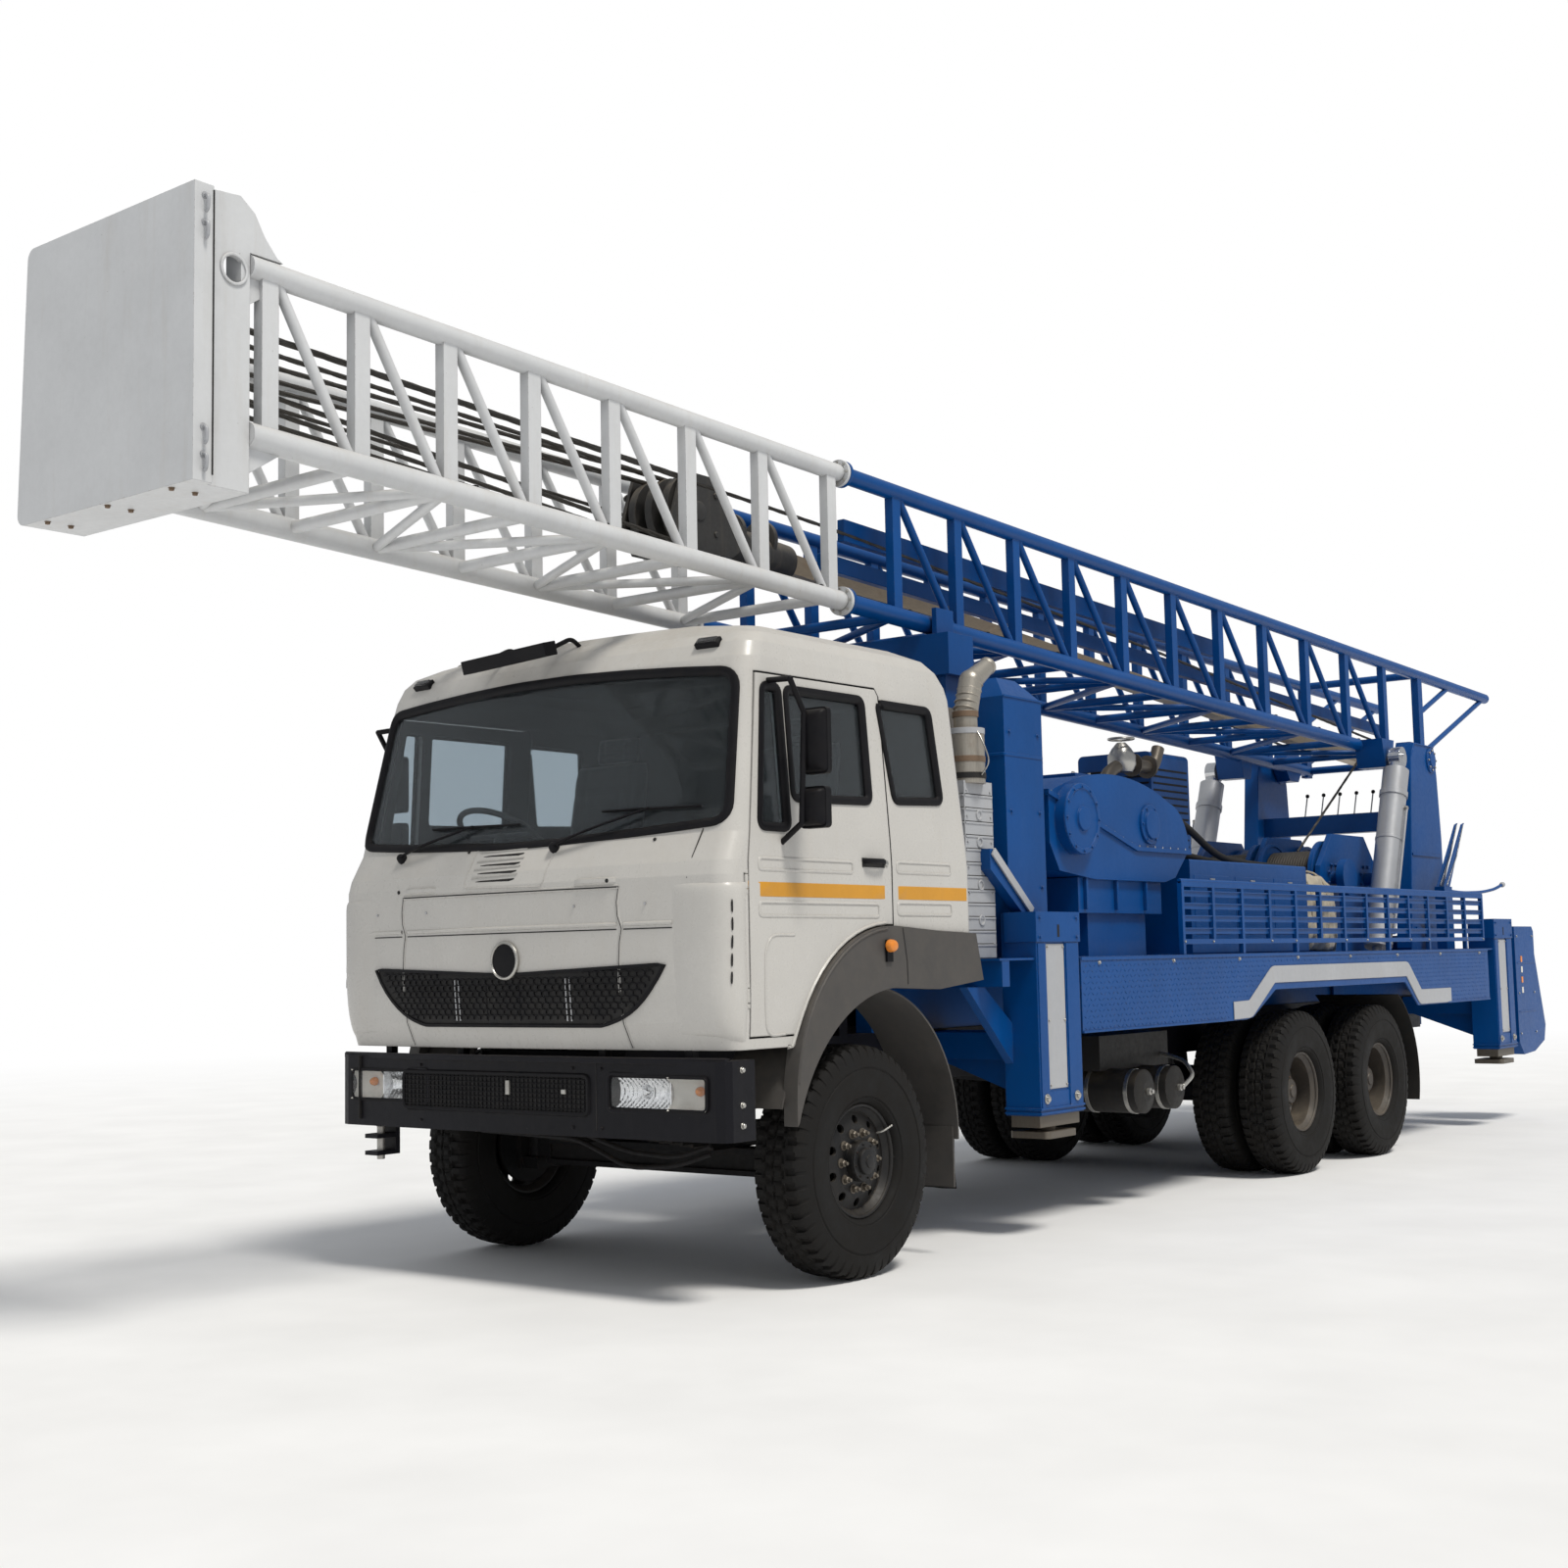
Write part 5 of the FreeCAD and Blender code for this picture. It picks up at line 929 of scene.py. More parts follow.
def cab_roof():
    """Marker lamps, washer jets, the box over the windscreen, roof ribs and hatch."""
    piece = Piece()
    for x in (-0.92, 0.94):
        place, normal = CAB.nearest((x, -4.80, 2.90))
        turn = normal.to_track_quat("Y", "Z").to_matrix()
        piece.block(place, (0.062, 0.018, 0.024), "trim_black", turn)
        piece.block(place + normal * 0.018, (0.050, 0.008, 0.017), "lamp_lens", turn)
    for x in (-0.34, 0.06):
        root = CAB.top(x, -4.60)[0]
        jet = [root + Vector((0, y, z)) for y, z in ((0, -0.01), (-0.06, 0.025), (-0.22, -0.05))]
        piece.tube(softened(jet, 0.05), 0.011, "trim_black")
    base = CAB.top(-0.14, -4.60)[0]
    turn = Matrix.Rotation(math.radians(14), 3, "X") @ Matrix.Rotation(math.radians(-3), 3, "Y")
    piece.box(base + Vector((-0.31, -0.285, -0.095)), base + Vector((0.25, -0.205, -0.030)), "trim_black",
              turn)
    for x in (-0.85, -0.62, -0.39, -0.16):
        rib = [CAB.top(x, y) for y in (-4.52, -4.40, -4.20, -3.90, -3.60, -3.35)]
        ridge(piece, rib, 0.055, 0.010, "cab_white")
    place = CAB.top(0.50, -3.95)[0]
    piece.box(place + Vector((-0.20, -0.14, -0.004)), place + Vector((0.20, 0.14, 0.035)), "rubber_black")
    piece.made("cab_roof_fittings", "chassis", "trim_black", bevel=0.008)


def recess(y0, y1, z0, z1, side):
    """Outline of a pressed recess, its inside on the right."""
    corners = [Vector((0, y, z)) for y, z in ((y0, z0), (y1, z0), (y1, z1), (y0, z1))]
    loop = softened(corners, 0.015, steps=4, closed=True)
    loop = along(loop + loop[:1], 0.09)[:-1]
    return loop[::-1] if side > 0 else loop


def arch(lay, radius, first, last):
    """Drops round the front wheel arch, between two angles in degrees."""
    y, z = ARCH
    turns = [math.radians(angle) for angle in spread(first, last, 14)]
    return [lay(y + radius * math.cos(turn), z + radius * math.sin(turn)) for turn in turns]


def door_handle(door, lay):
    """Recess as a dark block of painted shade, grip and lock."""
    place, normal = lay(-3.895, 1.873)
    # dark block standing for the handle's recess: painted shade
    door.block(place, (0.004, 0.088, 0.021), "gap_and_shade_dark")
    grip = [place + Vector((0, y, 0.004)) + normal * h
            for y, h in ((-0.080, 0.004), (-0.072, 0.026), (0, 0.033), (0.060, 0.028), (0.080, 0.006))]
    grip = softened(grip, 0.02)
    door.sweep(grip, flat(0.011, 0.005, 0.009, -0.005), "trim_black", [normal] * len(grip))
    lock, out = lay(-3.79, 1.873)
    door.lathe([(0, 0.014), (0.005, 0.013), (0.007, 0.006)], lock, out, "bright_steel", 16)


def side_trim(side, name):
    """Window seals, stripe, pressed recesses and handle of one side; the door's share rides on the door."""
    door, shell = Piece(), Piece()

    def lay(y, z):
        return CAB.side(y, z, side)

    for outline, target in ((QUARTER_LIGHT, door), (DOOR_WINDOW, door), (SLEEPER_WINDOW, shell)):
        loop = softened([at(0, station, z) for station, z in outline], 0.035, closed=True)
        opening_seal(target, loop, lambda p: lay(p.y, p.z))
    for y0, y1, target in ((-4.812, -3.752, door), (-3.734, -3.052, shell)):
        rows = [[lay(y, z) for y in spread(y0, y1, 12)] for z in (1.705, 1.709, 1.769, 1.773)]
        patch(target, rows, 0.0012, "stripe_amber")
    for y0, y1, z0, z1, target in ((-4.735, -4.06, 1.826, 1.870, door), (-3.70, -3.25, 1.836, 1.880, shell),
                                   (-4.735, -3.86, 1.628, 1.682, door), (-3.70, -3.25, 1.640, 1.690, shell)):
        loop = recess(y0, y1, z0, z1, side)
        pocket(target, [lay(p.y, p.z) for p in loop], 0.0045, 0.016, "cab_white")
    lower = [(-4.50, 1.545), (-4.66, 1.545), (-4.705, 1.48), (-4.71, 1.30), (-4.70, 1.15), (-4.665, 1.118),
             (-4.565, 1.122)]
    line = along(softened([Vector((0, y, z)) for y, z in lower], 0.05), 0.05)
    ridge(door, [lay(p.y, p.z) for p in line], 0.018, 0.004, "cab_white")
    door_handle(door, lay)
    ridge(door, arch(lay, 0.769, 176, 92), 0.020, 0.009, "cab_white")
    door.made(f"door_trim_{name}", f"door_{name}", "cab_white")
    shell.made(f"cab_side_trim_{name}", "chassis", "cab_white")


def mirror_faces(side, name):
    """Reflecting glass and domed backs of the mirrors."""
    piece = Piece()
    x0, x1, inset = 1.295, 1.415, 0.012
    for z0, z1, y_back, y_front in ((2.235, 2.525, -4.470, -4.500), (2.000, 2.180, -4.480, -4.520)):
        corners = ((x0, z0 + inset), (x1, z0 + inset), (x1, z1 - inset), (x0, z1 - inset))
        loop = softened([Vector((x, 0, z)) for x, z in corners], 0.02, closed=True)
        rows = [[Vector((side * p.x, y, p.z)) for p in loop] for y in (y_back - 0.001, y_back + 0.002)]
        piece.grid(rows, "mirror_glass", round_u=True, caps=True)
        centre = sum(loop, Vector()) / len(loop)
        rows = []
        for scale, rise in ((1.06, 0.004), (1.02, -0.016), (0.86, -0.034), (0.55, -0.044), (0.18, -0.047)):
            rows.append([Vector((side * (centre.x + (p.x - centre.x) * scale), y_front + rise,
                                 centre.z + (p.z - centre.z) * (1 + (scale - 1) * 0.6))) for p in loop])
        piece.grid(rows, "trim_black", round_u=True, caps=True)
    piece.made(f"mirror_shells_{name}", f"door_{name}", "trim_black")


def flare_details(side, name):
    """Joint, edge bead and domed side lamp on one mudguard."""
    piece = Piece()

    def lay(y, z):
        return FLARES.side(y, z, side)

    seam(piece, [lay(y, z) for y, z in ((-3.705, 1.575), (-3.69, 1.50), (-3.675, 1.42), (-3.672, 1.315))],
         0.007)
    ridge(piece, arch(lay, 0.742, 174, 94), 0.016, 0.006, "flare_grey")
    place, normal = lay(-3.825, 1.475)
    piece.box(place + Vector((-0.004, -0.026, -0.055)), place + Vector((0.012, 0.020, 0.045)), "trim_black")
    lamp = place + normal * 0.012
    rows = []
    for scale, rise in ((1.0, 0.0), (0.96, 0.014), (0.8, 0.024), (0.45, 0.029)):
        rows.append([lamp + normal * rise + Vector((0, 0.038 * scale * math.cos(t) - 0.003,
                                                    0.030 * scale * math.sin(t) + 0.018))
                     for t in (math.tau * i / 20 for i in range(20))])
    piece.grid(rows, "amber_lens", round_u=True, caps=True)
    piece.made(f"flare_trim_{name}", "chassis", "flare_grey")


def cab():
    cab_front()
    grille()
    corner_panels()
    wipers = Piece()
    wiper(wipers, (-0.81, 1.955), (-0.62, 2.085), (-0.02, 2.075))
    wiper(wipers, (0.232, 1.955), (0.479, 2.104), (1.02, 2.095))
    wipers.made("wipers", "chassis", "trim_black")
    cab_roof()
    for side, name in SIDES:
        side_trim(side, name)
        mirror_faces(side, name)
        flare_details(side, name)


# ---------------------------------------------------------------- lights and bumper
BUMPER_FACE = -4.992
AHEAD = (0, -1, 0)
LAMP_X, LAMP_Z = (0.576, 1.116), (0.816, 0.956)     # the headlamp's opening
LAMP_SPLIT = 0.905                                  # x between its main reflector and the outer one
LAMP_BACK, LAMP_FRONT = -4.905, -4.984
SCREEN_X, SCREEN_Z = (-0.735, 0.455), (0.785, 0.955)    # the mesh screen in the bumper


def bowl(z):
    """How far a reflector comes forward at z, 0 at its middle and 1 at its edges."""
    low, high = LAMP_Z
    return ((z - (low + high) / 2) / (high - low) * 2) ** 2


def reflectors(piece, place):
    """The ribbed main reflector and the plain outer one, with the wall between them."""
    (x0, x1), (z0, z1) = LAMP_X, LAMP_Z
    ribs = 13
    rows = []
    for z in spread(z0, z1, 14):
        row = []
        for i, x in enumerate(spread(x0, LAMP_SPLIT, 60)):
            rib = 0.5 + 0.5 * math.cos(math.tau * (i / 60 * ribs + 0.96 * bowl(z)))
            row.append(place(x, LAMP_BACK - 0.045 * bowl(z) - 0.012 * rib, z))
        rows.append(row)
    piece.grid(rows, "reflector")
    rows = [[place(x, LAMP_BACK - 0.040 * bowl(z) - 0.05 * abs((x - 1.01) / 0.105) ** 2.2, z)
             for x in spread(LAMP_SPLIT, x1, 16)] for z in spread(z0, z1, 8)]
    piece.grid(rows, "pale_lens")
    piece.box(place(LAMP_SPLIT - 0.002, LAMP_FRONT + 0.014, z0), place(LAMP_SPLIT + 0.006, LAMP_BACK, z1),
              "reflector")


def headlamp(side, name):
    """Reflectors, bulbs and rim of one headlamp under a clear moulded cover."""
    (x0, x1), (z0, z1) = LAMP_X, LAMP_Z
    piece = Piece()

    def place(x, y, z):
        return Vector((side * x, y, z))

    reflectors(piece, place)
    piece.lathe([(0, 0.019), (0.010, 0.021), (0.024, 0.017), (0.034, 0.008), (0.036, 0.0)],
                place(1.03, LAMP_BACK - 0.006, 0.895), AHEAD, "amber_lens", 20)
    piece.lathe([(0, 0.026), (0.012, 0.024), (0.026, 0.012), (0.028, 0.0)],
                place(0.74, LAMP_BACK - 0.014, 0.886), AHEAD, "reflector", 24)
    rim = softened([place(x, LAMP_FRONT, z) for x, z in ((x0, z0), (x1, z0), (x1, z1), (x0, z1))], 0.022,
                   closed=True)
    piece.sweep(rim, flat(0.007, 0.004, low=-0.006), "trim_black", [AHEAD] * len(rim), closed=True)
    lamp = piece.made(f"headlamp_{name}", "chassis", "lamp_glass")
    cover = Piece()
    inset, steps = 0.004, 8
    heights = [(z, inset * math.sin(math.pi * j / steps))
               for j, z in enumerate(spread(z0 + inset, z1 - inset, steps))]
    rows = []
    for depth, order in ((0.0, heights), (0.0025, heights[::-1])):
        for z, swell in order:
            rows.append([place(x, LAMP_FRONT + depth - swell, z)
                         for x in spread(x0 + inset, x1 - inset, 24)])
    cover.grid(rows, "lamp_lens", round_v=True)
    cover.made(f"headlamp_cover_{name}", "chassis", "lamp_glass")
    return lamp


def tail_lamp(side, name):
    """Three-lens rear lamp and the column of four small lenses on one side."""
    piece = Piece()
    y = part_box("lamps")[1].y - 0.030
    z0, z1 = 1.386, 1.514
    piece.box((side * 0.965, y, z0 - 0.004), (side * 1.215, y + 0.012, z1 + 0.004), "trim_black")
    for x0, x1, finish in ((0.968, 1.050, "amber_lens"), (1.052, 1.128, "pale_lens"),
                           (1.130, 1.212, "red_lens")):
        rows = []
        for inset, rise in ((0.0, 0.010), (0.002, 0.020), (0.010, 0.027)):
            left, right, low, high = x0 + inset, x1 - inset, z0 + inset, z1 - inset
            rows.append([Vector((side * x, y + rise, z))
                         for x, z in ((left, low), (right, low), (right, high), (left, high))])
        piece.grid(rows, finish, round_u=True, caps=True)
    for k in range(4):
        z = 1.05 + 0.085 * k
        finish = "amber_lens" if k % 2 else "pale_lens"
        piece.box((side * 1.2245, 5.42, z), (side * 1.2285, 5.46, z + 0.05), finish)
    return piece.made(f"tail_lamp_{name}", "chassis", "lamp_glass", bevel=0.002)


def bumper_screen(piece):
    """Framed wire mesh in the middle of the bumper on a dark sheet of painted shade, with two small plates
    on it.
    """
    face, (x0, x1), (low, high) = BUMPER_FACE, SCREEN_X, SCREEN_Z
    loop = softened([Vector((x, face, z)) for x, z in ((x0, low), (x1, low), (x1, high), (x0, high))], 0.03,
                    closed=True)
    piece.sweep(loop, [(-0.012, -0.004), (0.012, -0.004), (0.004, 0.012), (-0.010, 0.010)], "trim_black",
                [AHEAD] * len(loop), closed=True)
    # dark sheet behind the mesh: painted shade for the opening
    piece.box((x0 + 0.01, face - 0.002, low + 0.01), (x1 - 0.01, face + 0.004, high - 0.01), "gap_and_shade_dark")
    wire, inset = 0.0022, 0.012
    for j in range(7):
        z = low + 0.022 + j * 0.0215
        piece.box((x0 + inset, face - 0.009, z - wire), (x1 - inset, face - 0.002, z + wire), "trim_black")
    for i in range(44):
        x = x0 + 0.025 + i * 0.0266
        piece.box((x - wire, face - 0.008, low + inset), (x + wire, face - 0.002, high - inset),
                  "trim_black")
    piece.box((-0.045, face - 0.016, 0.862), (-0.022, face - 0.002, 0.925), "bright_steel")
    piece.box((0.30, face - 0.014, 0.872), (0.325, face - 0.002, 0.892), "bright_steel")


def lamp_rims(piece):
    """Raised rims round the headlamp openings, swept back at their outer ends, and the end bolts."""
    for side, _ in SIDES[::-1]:
        corners = [Vector((side * x, BUMPER_FACE, z))
                   for x, z in ((0.568, 0.806), (1.112, 0.806), (1.112, 0.966), (0.568, 0.966))]
        loop = softened(corners, 0.03, closed=True)
        swept = [p + Vector((0, 0.10 * max(0, (abs(p.x) - 0.98) / 0.22) ** 1.3, 0)) for p in loop]
        piece.sweep(swept, flat(0.010, 0.006, 0.006, -0.004), "chassis_black", [AHEAD] * len(loop),
                    closed=True)
        for z in (0.755, 0.84, 0.985):
            piece.bolt((side * 1.218, -4.875, z), (side, 0, 0), 0.011, "bright_steel")


def bumper():
    """Ledge, screen, gaps, bolts, lamp rims, tow pin and brackets, and two hoses behind the bumper."""
    piece = Piece()
    face = BUMPER_FACE
    ledge = [Vector((x, face + back, 1.03)) for x, back in ((-1.20, 0.06), (-0.62, 0.006), (0.62, 0.006),
                                                            (1.20, 0.06))]
    piece.sweep(softened(ledge, 0.2), [(-0.004, -0.02), (0.030, -0.02), (0.030, 0.002), (0.022, 0.008),
                                       (-0.004, 0.004)], "chassis_black")
    bumper_screen(piece)
    for x in (-1.06, 0.50):
        piece.box((x - 0.003, face - 0.002, 0.72), (x + 0.003, face + 0.02, 1.02), "gap_and_shade_dark")
    for x in (-0.62, 0.36, 0.53):
        for z in (0.73, 0.985):
            piece.bolt((x, face, z), AHEAD, 0.007, "chassis_black")
    lamp_rims(piece)
    piece.lathe([(-0.10, 0.019), (0.055, 0.019), (0.060, 0.028), (0.072, 0.028), (0.078, 0.018)],
                (-0.98, -4.925, 0.628), UP, "bright_steel", 18)
    for x in (-0.95, -0.45, 0.45, 0.95):
        piece.box((x - 0.02, -4.90, 1.02), (x + 0.02, -4.86, 1.068), "chassis_black")
    for start, shift in ((-0.55, 0.0), (-0.50, -0.035)):
        run = [(start, -4.72, 0.70 + shift), (-0.10, -4.72, 0.69 + shift), (0.12, -4.72, 0.685 + shift),
               (0.42, -4.70, 0.60 + shift * 2), (0.70, -4.70, 0.585 + shift), (0.86, -4.66, 0.64 + shift)]
        piece.tube(softened(run, 0.08), 0.011, "axle_iron", sides=10)
    piece.made("bumper_trim", "chassis", "chassis_black", bevel=0.002)


def lights_and_bumper():
    first, _ = [headlamp(*side) for side in SIDES]
    for side in SIDES:
        tail_lamp(*side)
    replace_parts(first, "lamps")
    bumper()


# ---------------------------------------------------------------- mast
SHEAVE_X = (-0.31, -0.15, 0.01, 0.17, 0.33)
BLOCK_SHEAVE_X = (-0.115, -0.115, -0.005, -0.005, 0.105)
CROWN_SHEAVE = Vector((0, -6.955, 3.780))
BLOCK = Vector((0, -3.85, 3.690))
CROWN_R, BLOCK_R = 0.108, 0.178         # where the rope leaves the sheaves
CHORD_X = 0.510
CHORDS = ((3.403 - 0.0315 * 3.65, 0.050), (4.044 - 0.0219 * 3.65, 0.045))   # height at the joint and radius


def rope(piece, start, end, radius=0.011):
    """A wire rope: six strands laid round each other."""
    start, end = Vector(start), Vector(end)
    path = between(start, end, max(8, round((end - start).length / 0.05)))
    run = (end - start).normalized()
    side = run.orthogonal().normalized()
    other = run.cross(side)
    rows = []
    for k, point in enumerate(path):
        row = []
        for i in range(12):
            angle = math.tau * i / 12 + k * 0.42
            reach = radius * (1.0 if i % 2 else 0.80)
            row.append(point + side * reach * math.cos(angle) + other * reach * math.sin(angle))
        rows.append(row)
    piece.grid(rows, "wire_rope", round_u=True, caps=True)


def mast_ropes():
    """Lines reeved between the crown sheaves and the travelling block, and two lines to the mast's foot."""
    piece = Piece()
    for x, to in zip(SHEAVE_X, BLOCK_SHEAVE_X):
        for way, shift in ((1, 0), (-1, 0.02)):
            rope(piece, (x, CROWN_SHEAVE.y, CROWN_SHEAVE.z + way * CROWN_R),
                 (to + shift, BLOCK.y, BLOCK.z + way * BLOCK_R))
    for x, drop in ((-0.36, 0.0), (0.38, 0.02)):
        path = [(x, CROWN_SHEAVE.y, CROWN_SHEAVE.z + 0.10 - drop), (x, -3.1, 3.73 - drop),
                (x, 0.6, 3.50 - drop), (x, 4.55, 3.17)]
        for start, end in zip(path, path[1:]):
            rope(piece, start, end, 0.010)
    piece.made("hoist_ropes", "mast", "block_steel")


def block_trim():
    """Hubs, bolts and collars of the travelling block."""
    piece = Piece()
    for x in (-0.16, -0.05, 0.06, 0.17):
        piece.lathe([(0, 0.050), (0.010, 0.050), (0.014, 0.044)], (x, BLOCK.y, BLOCK.z), (1, 0, 0),
                    "block_steel", 20)
    for x, out in ((-0.19, -1), (0.165, 1)):
        for dy, dz in ((0.13, 0.10), (0.13, -0.10), (-0.13, 0.10), (-0.13, -0.10)):
            piece.bolt((x, BLOCK.y + dy, BLOCK.z + dz), (out, 0, 0), 0.016, "block_steel")
    for y, radius in ((-3.50, 0.118), (-3.42, 0.112), (-3.16, 0.115)):
        piece.lathe([(0, radius - 0.01), (0.004, radius), (0.030, radius), (0.034, radius - 0.01)],
                    (0, y, BLOCK.z - 0.02), (0, 1, 0), "block_steel", 32)
    piece.made("block_trim", "mast", "block_steel")


def crown():
    """Step irons, bolts, side rings and the seam of the crown."""
    piece = Piece()
    low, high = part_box("crown_head")
    face = -7.062
    for z in (high.z - 0.06, high.z - 0.16, low.z + 0.20, low.z + 0.10):
        hook = [(x, face, z + dz) for x, dz in ((0.560, 0), (0.578, 0), (0.584, -0.02), (0.580, -0.055),
                                                (0.568, -0.062))]
        piece.tube(softened(hook, 0.01, steps=3), 0.007, "plate_silver", sides=8)
        piece.lathe([(-0.001, 0.014), (0.004, 0.013)], (0.560, face, z), (1, 0, 0), "plate_silver", 14)
    for x in (-0.40, 0.0, 0.40):
        for y in (-7.08, -6.98):
            piece.bolt((x, y, low.z), (0, 0, -1), 0.010, "rusty_steel")
    for side, _ in SIDES[::-1]:
        piece.lathe([(0, 0.062), (0.006, 0.061), (0.008, 0.056), (0.006, 0.050), (-0.004, 0.0495)],
                    (side * 0.530, -6.912, 4.011), (side, 0, 0), "mast_white", 36, ring=True)
    line = [(0.5615, -7.0225, z) for z in (low.z + 0.03, 3.7, high.z - 0.03)]
    piece.sweep(line, flat(0.003, 0.0012, low=-0.001), "gap_and_shade_dark", [(1, 0, 0)] * 3)
    piece.made("crown_trim", "mast", "mast_white")


def flange_bolts():
    """Bolted joint between the upper and the lower mast."""
    piece = Piece()
    joint, half = ORIGIN_Y + 0.900, 0.024
    for side, _ in SIDES[::-1]:
        for z, radius in CHORDS:
            centre = Vector((side * CHORD_X, joint, z))
            for start, end, finish in ((-half, -0.002, "mast_white"), (0.002, half, "rig_blue")):
                piece.lathe(collar(start, end, radius + 0.002, radius + 0.026), centre, (0, 1, 0), finish,
                            28, ring=True)
            for i in range(8):
                angle = math.tau * i / 8
                spoke = Vector((math.cos(angle), 0, math.sin(angle))) * (radius + 0.014)
                piece.bolt(centre + spoke + Vector((0, -half, 0)), (0, -1, 0), 0.007, "bright_steel",
                           washer=False)
    piece.made("mast_flange", "mast", "mast_white")


def mast_guides():
    """Blue guide rails inside the lower mast and a clipped hose run along the lower chord."""
    piece = Piece()
    for x in (-0.26, 0.26):
        piece.bar((x, -2.95, 3.56), (x, 5.05, 3.30), 0.05, 0.09, "rig_blue")
    piece.bar((0.36, -2.9, 3.72), (0.36, 1.6, 3.60), 0.045, 0.12, "rig_blue")
    line = [(0.44, -6.83, 3.46), (0.47, -6.70, 3.42), (0.47, -6.0, 3.42), (0.47, -4.5, 3.385),
            (0.47, -3.0, 3.345), (0.47, 1.0, 3.215), (0.47, 4.6, 3.10)]
    piece.tube(softened(line, 0.3), 0.012, "rubber_black", sides=8)
    for k in range(14):
        y = -6.5 + 0.8 * k
        z = 3.403 - 0.0315 * (y + 6.75)
        piece.box((0.455, y - 0.012, z - 0.004), (0.53, y + 0.012, z + 0.054), "trim_black")
    piece.made("mast_lines", "mast", "rig_blue", bevel=0.003)


def mast():
    mast_ropes()
    block_trim()
    crown()
    flange_bolts()
    mast_guides()


# ---------------------------------------------------------------- exhaust casing and columns
CASING_BACK, CASING_FACE = 0.862, 1.052     # x of the sheet's edge behind the cab and of its outer face
CASING_Y = (ORIGIN_Y + 1.162, ORIGIN_Y + 1.430)
CASING_Z = (1.43, 2.332)
CASING_FOLDS = 13
CANISTER = (1.010, ORIGIN_Y + 1.260)
COLUMN_X = (0.790, 1.040)
COLUMN_Y = (ORIGIN_Y + 1.588, ORIGIN_Y + 1.982)


def casing_sheets(piece):
    """Thin sheets over the casing's front, outer face and top, folded at even steps."""
    (y0, y1), (z0, z1), skin, fold = CASING_Y, CASING_Z, 0.001, 0.004
    piece.box((CASING_BACK, y0 - skin, z0), (CASING_FACE, y0 + skin, z1), "plate_silver")
    piece.box((CASING_FACE - 0.0025, y0, z0), (CASING_FACE + 0.0005, y1, z1), "plate_silver")
    piece.box((CASING_BACK, y0 - skin, z1 - 2 * skin), (CASING_FACE, y1, z1 + skin), "plate_silver")
    for i in range(1, CASING_FOLDS):
        z = z0 + (z1 - z0) * i / CASING_FOLDS
        for rise, top, depth, finish in ((0, fold, 0.0015, "gap_and_shade_dark"),
                                         (-0.012, -skin, 0.0045, "plate_silver")):
            piece.box((CASING_FACE, y0 + fold, z + rise), (CASING_FACE + depth, y1 - fold, z + top), finish)
            piece.box((CASING_BACK + fold, y0 - skin - depth, z + rise),
                      (CASING_FACE - fold, y0 - skin, z + top), finish)
    for z in (1.62, 1.80, 2.02, 2.16):
        piece.lathe([(0.0, 0.030), (0.006, 0.028), (0.007, 0.022), (0.004, 0.017), (-0.001, 0.016)],
                    (CASING_FACE + 0.0005, (y0 + y1) / 2, z), (1, 0, 0), "plate_silver", 26, ring=True)
    for y in (y0 + 0.020, y0 + 0.245):
        for k in range(7):
            piece.bolt((CASING_FACE + 0.0005, y, 1.50 + 0.13 * k), (1, 0, 0), 0.006, "plate_silver",
                       washer=False)


def exhaust_casing():
    """The casing's sheets, and the silencer's bands, wire loop, elbow ribs and open tip."""
    piece = Piece()
    casing_sheets(piece)
    x, y = CANISTER
    for z, radius, finish in ((2.345, 0.099, "gap_and_shade_dark"), (2.43, 0.098, "rusty_steel"),
                              (2.575, 0.098, "plate_silver"), (2.665, 0.068, "rusty_steel")):
        piece.lathe(collar(0, 0.030, radius - 0.006, radius), (x, y, z), UP, finish, 30, ring=True)
    loop = [(x + 0.10, y - 0.02, 2.36), (x + 0.16, y - 0.03, 2.42), (x + 0.13, y - 0.04, 2.52),
            (x + 0.08, y - 0.03, 2.60)]
    piece.tube(softened(loop, 0.05), 0.004, "bright_steel", sides=8)
    piece.lathe([(0.178, 0.047), (0.192, 0.050), (0.203, 0.049), (0.200, 0.040), (0.180, 0.040)],
                (x, y + 0.060, 2.860), (0, 0.19, 0.11), "exhaust_steel", 30, ring=True)
    for t in (0, 0.25, 0.5, 0.75, 1):
        piece.lathe([(0, 0.0615), (0.006, 0.0655), (0.012, 0.0615)], (x, y + 0.060 * t, 2.700 + 0.14 * t),
                    (0, 0.29, 1), "exhaust_steel", 28, ring=True)
    piece.made("exhaust_casing", "chassis", "silver_paint", bevel=0.0015)


